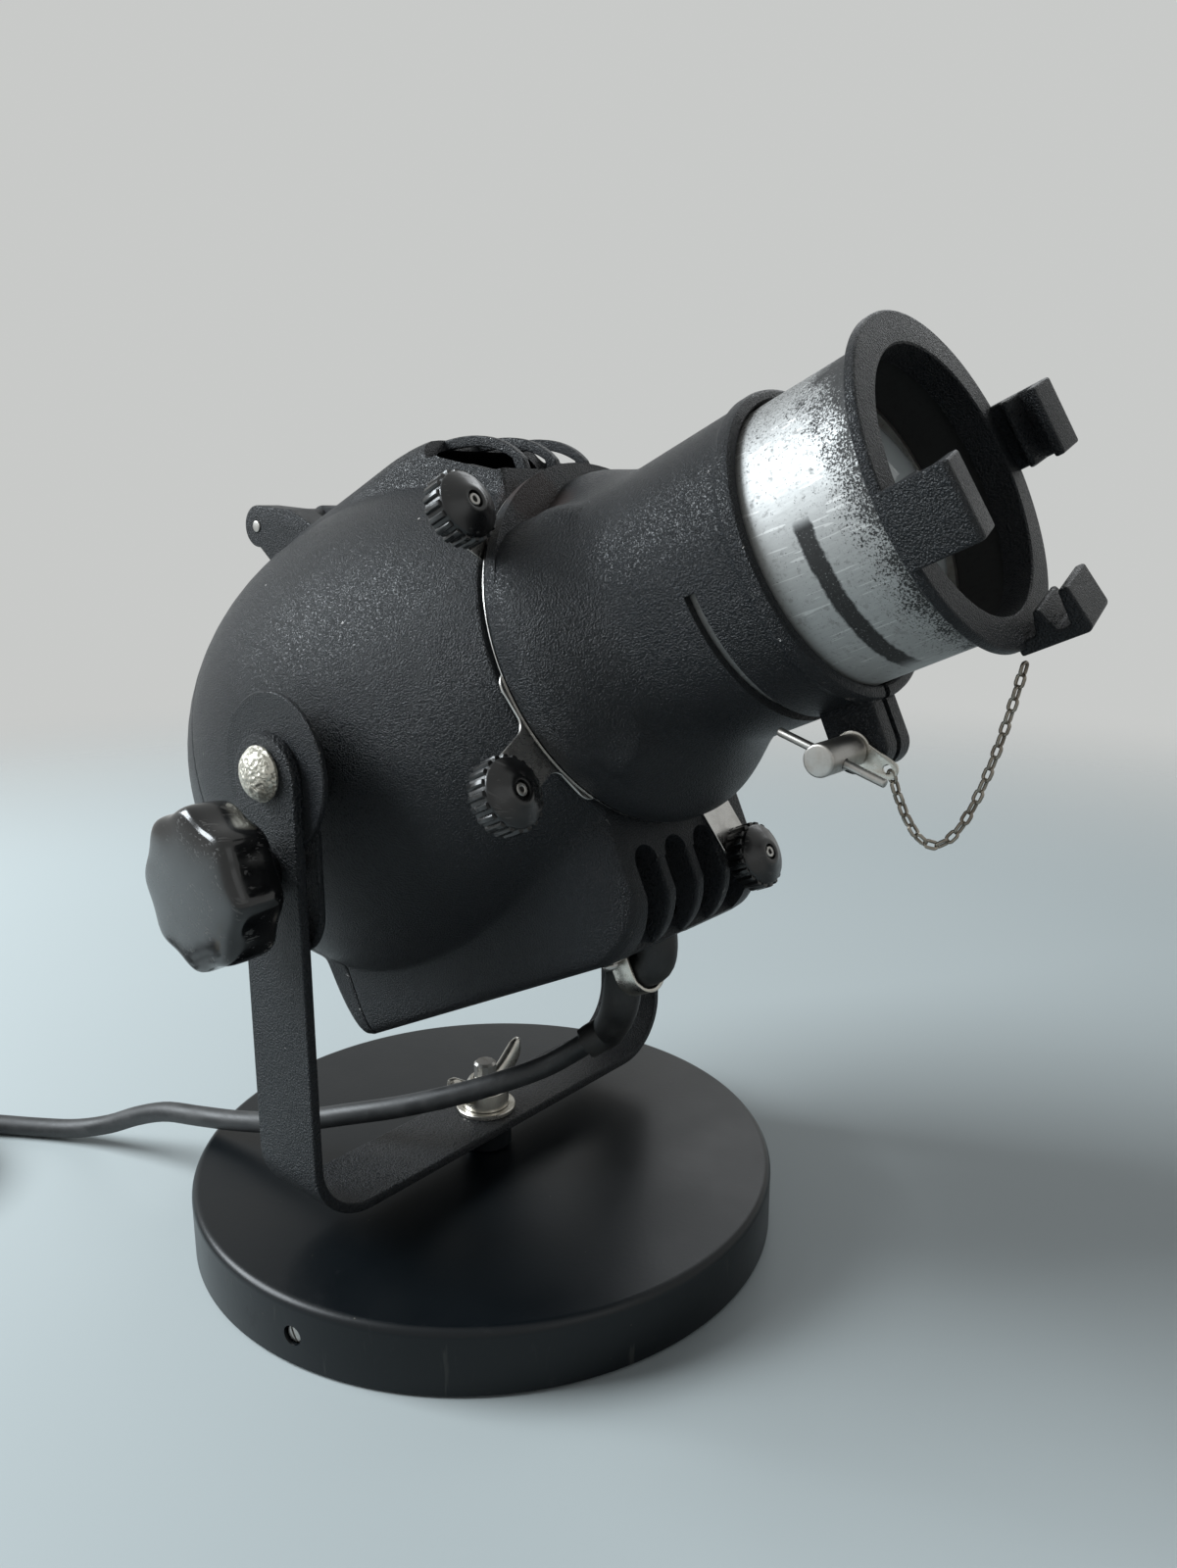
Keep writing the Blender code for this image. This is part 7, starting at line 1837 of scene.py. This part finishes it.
# Colour, roughness, grain, its stretch, colour and share of the stains, and pits
METALS = {
    "nickel": ((0.60, 0.58, 0.53), 0.20, 0.7 * MM, (1, 0.3, 1), (0.26, 0.22, 0.16), 0.35, 0.3),
    "steel": ((0.46, 0.45, 0.43), 0.28, 0.5 * MM, (1, 1, 0.2), (0.20, 0.16, 0.12), 0.45, 0.4),
    "chain_steel": ((0.29, 0.265, 0.225), 0.2, 0.4 * MM, (1, 1, 1), (0.10, 0.07, 0.05), 0.6, 0.5),
    "blade_steel": ((0.62, 0.61, 0.59), 0.16, 0.5 * MM, (1, 0.15, 1), (0.22, 0.20, 0.18), 0.25, 0.15),
    "aluminium": ((0.72, 0.72, 0.71), 0.22, 0.6 * MM, (1, 0.2, 1), (0.45, 0.44, 0.42), 0.2, 0.1),
    "brass": ((0.62, 0.44, 0.17), 0.20, 0.6 * MM, (1, 1, 0.2), (0.28, 0.17, 0.07), 0.35, 0.2),
}
# Colour, worn colour, roughness, grain, relief, and where they differ the grain's stretch and streaks
SOFT_SURFACES = {
    "cast_iron": ((0.05, 0.045, 0.042), (0.13, 0.08, 0.05), 0.6, 1.2 * MM, 0.3 * MM),
    "cable_rubber": (
        (0.020, 0.021, 0.022), (0.075, 0.075, 0.075), 0.42, 0.8 * MM, 0.08 * MM, (0.25, 1, 1), 0.1),
    "sleeve_rubber": ((0.007, 0.007, 0.007), (0.05, 0.048, 0.045), 0.45, 0.9 * MM, 0.2 * MM),
    "plug_rubber": ((0.012, 0.012, 0.013), (0.05, 0.05, 0.05), 0.4, 0.7 * MM, 0.08 * MM),
    "felt": ((0.02, 0.022, 0.02), (0.06, 0.06, 0.055), 0.85, 0.5 * MM, 0.3 * MM),
    "ceramic": ((0.62, 0.60, 0.55), (0.42, 0.38, 0.32), 0.3, 1.5 * MM, 0.05 * MM),
}


def finishes():
    settings = bpy.context.scene.spotlight_finishes
    paint = tuple(settings.paint_colour)
    patch = HEAD @ Vector((FLANGE_END, -29 * MM, 53 * MM))
    rubs = ((tuple(patch), 15 * MM, (0.040, 0.021, 0.016), 0.6),)
    look = {
        "casting_paint": casting_paint("casting_paint", paint, settings, worn_spots=rubs),
        "strap_paint": casting_paint("strap_paint", tuple(c * 0.95 for c in paint), settings, 0.8 * MM),
        "satin_paint": satin_paint(settings),
        "bakelite": bakelite("bakelite", settings),
        "fluted_bakelite": bakelite("fluted_bakelite", settings, 0.14),
        "hammered_nickel": hammered_nickel(),
        "tube_metal": tube_metal(settings),
        "glass": glass(),
        "webbing": webbing(),
    }
    for kind, table in ((metal, METALS), (soft_surface, SOFT_SURFACES)):
        look.update({name: kind(name, *values) for name, values in table.items()})
    return look


INNER_PARTS = {
    "reflector": "aluminium", "lamp": "glass", "lamp_holder": "ceramic", "lamp_bracket": "steel",
    "gate_plate": "steel", "base_weight": "cast_iron", "foot_pad": "felt", "base_bolt": "steel",
    "knob_stud": "steel",
}


def dress_inner_parts(look):
    """The parts that stay as the frame has them, with their own finishes."""
    for node, name in INNER_PARTS.items():
        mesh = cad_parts[node].data
        mesh.materials.clear()
        mesh.materials.append(look[name])


# Stage


def make_camera():
    camera = bpy.data.cameras.new("photo_view")
    camera.sensor_fit = "HORIZONTAL"
    camera.sensor_width = 36
    camera.lens = CAMERA_LENS
    camera.clip_start = 0.01
    holder = bpy.data.objects.new("photo_view", camera)
    right, up = Vector(CAMERA_RIGHT).normalized(), Vector(CAMERA_UP).normalized()
    back = right.cross(up)
    turn = Matrix((right, up, back)).transposed().to_4x4()
    holder.matrix_world = Matrix.Translation(CAMERA_PLACE) @ turn
    bpy.context.scene.collection.objects.link(holder)
    bpy.context.scene.camera = holder


def soft_light(name, place, target, size, power, colour):
    lamp = bpy.data.lights.new(name, "AREA")
    lamp.shape = "RECTANGLE"
    lamp.size, lamp.size_y = size
    lamp.energy = power
    lamp.color = colour
    holder = bpy.data.objects.new(name, lamp)
    holder.matrix_world = Matrix.Translation(place) @ facing(Vector(target) - Vector(place), "-Z")
    bpy.context.scene.collection.objects.link(holder)


def floor_material(colour):
    floor = Finish("studio_floor")
    cloud = floor.noise(0.3, 2, 0.5)
    tint = floor.mix(cloud, tuple(c * 0.97 for c in colour), colour)
    far = floor.add("ShaderNodeVectorMath", {"operation": "LENGTH"}, {0: floor.object_place}, "Value")
    return floor.finish(Base_Color=tint, Roughness=cloud * 0.05 + 0.6,
                        Alpha=floor.between(far, *FLOOR_FADE, 1.0, 0.0))


def make_world(sky_strength):
    """Even light all round, and the pale backdrop that the camera, metal and glass see."""
    world = bpy.data.worlds.new("studio")
    world.use_nodes = True
    bpy.context.scene.world = world
    tree = world.node_tree
    sky = tree.nodes["Background"]
    backdrop = tree.nodes.new("ShaderNodeBackground")
    for node, colour, strength in ((sky, SKY_COLOUR, sky_strength), (backdrop, BACKDROP_COLOUR, 1)):
        node.inputs["Color"].default_value = (*colour, 1)
        node.inputs["Strength"].default_value = strength
    rays = tree.nodes.new("ShaderNodeLightPath")
    seen = rays.outputs["Is Camera Ray"]
    for name in ("Is Transmission Ray", "Is Glossy Ray"):
        either = tree.nodes.new("ShaderNodeMath")
        either.operation = "MAXIMUM"
        tree.links.new(seen, either.inputs[0])
        tree.links.new(rays.outputs[name], either.inputs[1])
        seen = either.outputs[0]
    choice = tree.nodes.new("ShaderNodeMixShader")
    for index, socket in enumerate((seen, sky.outputs[0], backdrop.outputs[0])):
        tree.links.new(socket, choice.inputs[index])
    tree.links.new(choice.outputs[0], tree.nodes["World Output"].inputs["Surface"])


def make_stage():
    settings = bpy.context.scene.spotlight_stage
    make_camera()
    shape = bmesh.new()
    bmesh.ops.create_grid(shape, x_segments=1, y_segments=1, size=FLOOR_REACH)
    floor = loose("studio_floor", shape)
    floor.data.materials.append(floor_material(tuple(settings.floor_colour)))
    soft_light("key_light", (-1.25, -1.0, 1.2), (0, 0, 0.25), (1.1, 1.0), settings.key_power, (0.88, 0.95, 1.0))
    soft_light("rim_light", (-0.3, 1.3, 1.1), (0.05, 0, 0.25), (1.0, 0.7), settings.rim_power,
               (0.92, 0.96, 1.0))
    soft_light("side_light", (1.3, -0.2, 0.9), (0.1, 0, 0.2), (0.8, 0.8), 0.25 * settings.rim_power,
               (0.95, 0.98, 1.0))
    make_world(settings.sky)
    bpy.context.scene.view_settings.view_transform = "Standard"


# Operators


LOOK = {}


class SPOTLIGHT_OT_stage(bpy.types.Operator):
    """Adds the camera, the floor and the lights"""

    bl_idname = "spotlight.stage"
    bl_label = "Stage"

    def execute(self, context):
        make_stage()
        LOOK.update(finishes())
        return {"FINISHED"}


class SPOTLIGHT_OT_cable(bpy.types.Operator):
    """Adds the cable with its coil, tie, plug, sleeve and saddle"""

    bl_idname = "spotlight.cable"
    bl_label = "Cable"

    def execute(self, context):
        make_cable(LOOK)
        return {"FINISHED"}


class SPOTLIGHT_OT_base(bpy.types.Operator):
    """Adds the base and the wing nut's stack"""

    bl_idname = "spotlight.base"
    bl_label = "Base"

    def execute(self, context):
        make_base(LOOK)
        make_spindle(LOOK)
        return {"FINISHED"}


class SPOTLIGHT_OT_fork(bpy.types.Operator):
    """Adds the fork, its pivots and the tilt lock"""

    bl_idname = "spotlight.fork"
    bl_label = "Fork and tilt lock"

    def execute(self, context):
        make_fork(LOOK)
        make_tilt_lock(LOOK)
        make_tilt_disc(LOOK)
        return {"FINISHED"}


class SPOTLIGHT_OT_house(bpy.types.Operator):
    """Adds the lamp house and its hinged cover"""

    bl_idname = "spotlight.house"
    bl_label = "Lamp house"

    def execute(self, context):
        make_lamp_house(LOOK)
        make_rear_cover(LOOK)
        dress_inner_parts(LOOK)
        return {"FINISHED"}


class SPOTLIGHT_OT_shutters(bpy.types.Operator):
    """Adds the four shutter blades and their knobs"""

    bl_idname = "spotlight.shutters"
    bl_label = "Shutters"

    def execute(self, context):
        make_shutters(LOOK)
        return {"FINISHED"}


class SPOTLIGHT_OT_barrel(bpy.types.Operator):
    """Adds the front barrel and its clamp"""

    bl_idname = "spotlight.barrel"
    bl_label = "Front barrel"

    def execute(self, context):
        make_front_barrel(LOOK)
        make_clamp(LOOK)
        return {"FINISHED"}


class SPOTLIGHT_OT_lens(bpy.types.Operator):
    """Adds the lens tube, the colour frame holder, the lens and the safety chain"""

    bl_idname = "spotlight.lens"
    bl_label = "Lens tube and chain"

    def execute(self, context):
        make_lens_tube(LOOK)
        make_chain(LOOK, context.scene.spotlight_chain)
        return {"FINISHED"}


STEPS = (SPOTLIGHT_OT_stage, SPOTLIGHT_OT_cable, SPOTLIGHT_OT_base, SPOTLIGHT_OT_fork, SPOTLIGHT_OT_house,
         SPOTLIGHT_OT_shutters, SPOTLIGHT_OT_barrel, SPOTLIGHT_OT_lens)


class SPOTLIGHT_PT_panel(bpy.types.Panel):
    """Sizes, colours and steps of the spotlight"""

    bl_idname = "SPOTLIGHT_PT_panel"
    bl_label = "Profile spotlight"
    bl_space_type = "VIEW_3D"
    bl_region_type = "UI"
    bl_category = "Spotlight"

    def draw(self, context):
        for group in (context.scene.spotlight_finishes, context.scene.spotlight_chain,
                      context.scene.spotlight_stage):
            for name in group.__annotations__:
                self.layout.prop(group, name)
        for step in STEPS:
            self.layout.operator(step.bl_idname)


CLASSES = (SpotlightFinishes, SpotlightChain, SpotlightStage, *STEPS, SPOTLIGHT_PT_panel)


def register():
    for item in CLASSES:
        bpy.utils.register_class(item)
    bpy.types.Scene.spotlight_finishes = PointerProperty(type=SpotlightFinishes)
    bpy.types.Scene.spotlight_chain = PointerProperty(type=SpotlightChain)
    bpy.types.Scene.spotlight_stage = PointerProperty(type=SpotlightStage)


def unregister():
    del bpy.types.Scene.spotlight_stage
    del bpy.types.Scene.spotlight_chain
    del bpy.types.Scene.spotlight_finishes
    for item in reversed(CLASSES):
        bpy.utils.unregister_class(item)


def main():
    register()
    bpy.ops.spotlight.stage()
    bpy.ops.spotlight.cable()
    bpy.ops.spotlight.base()
    bpy.ops.spotlight.fork()
    bpy.ops.spotlight.house()
    bpy.ops.spotlight.shutters()
    bpy.ops.spotlight.barrel()
    bpy.ops.spotlight.lens()


if __name__ == "__main__":
    main()
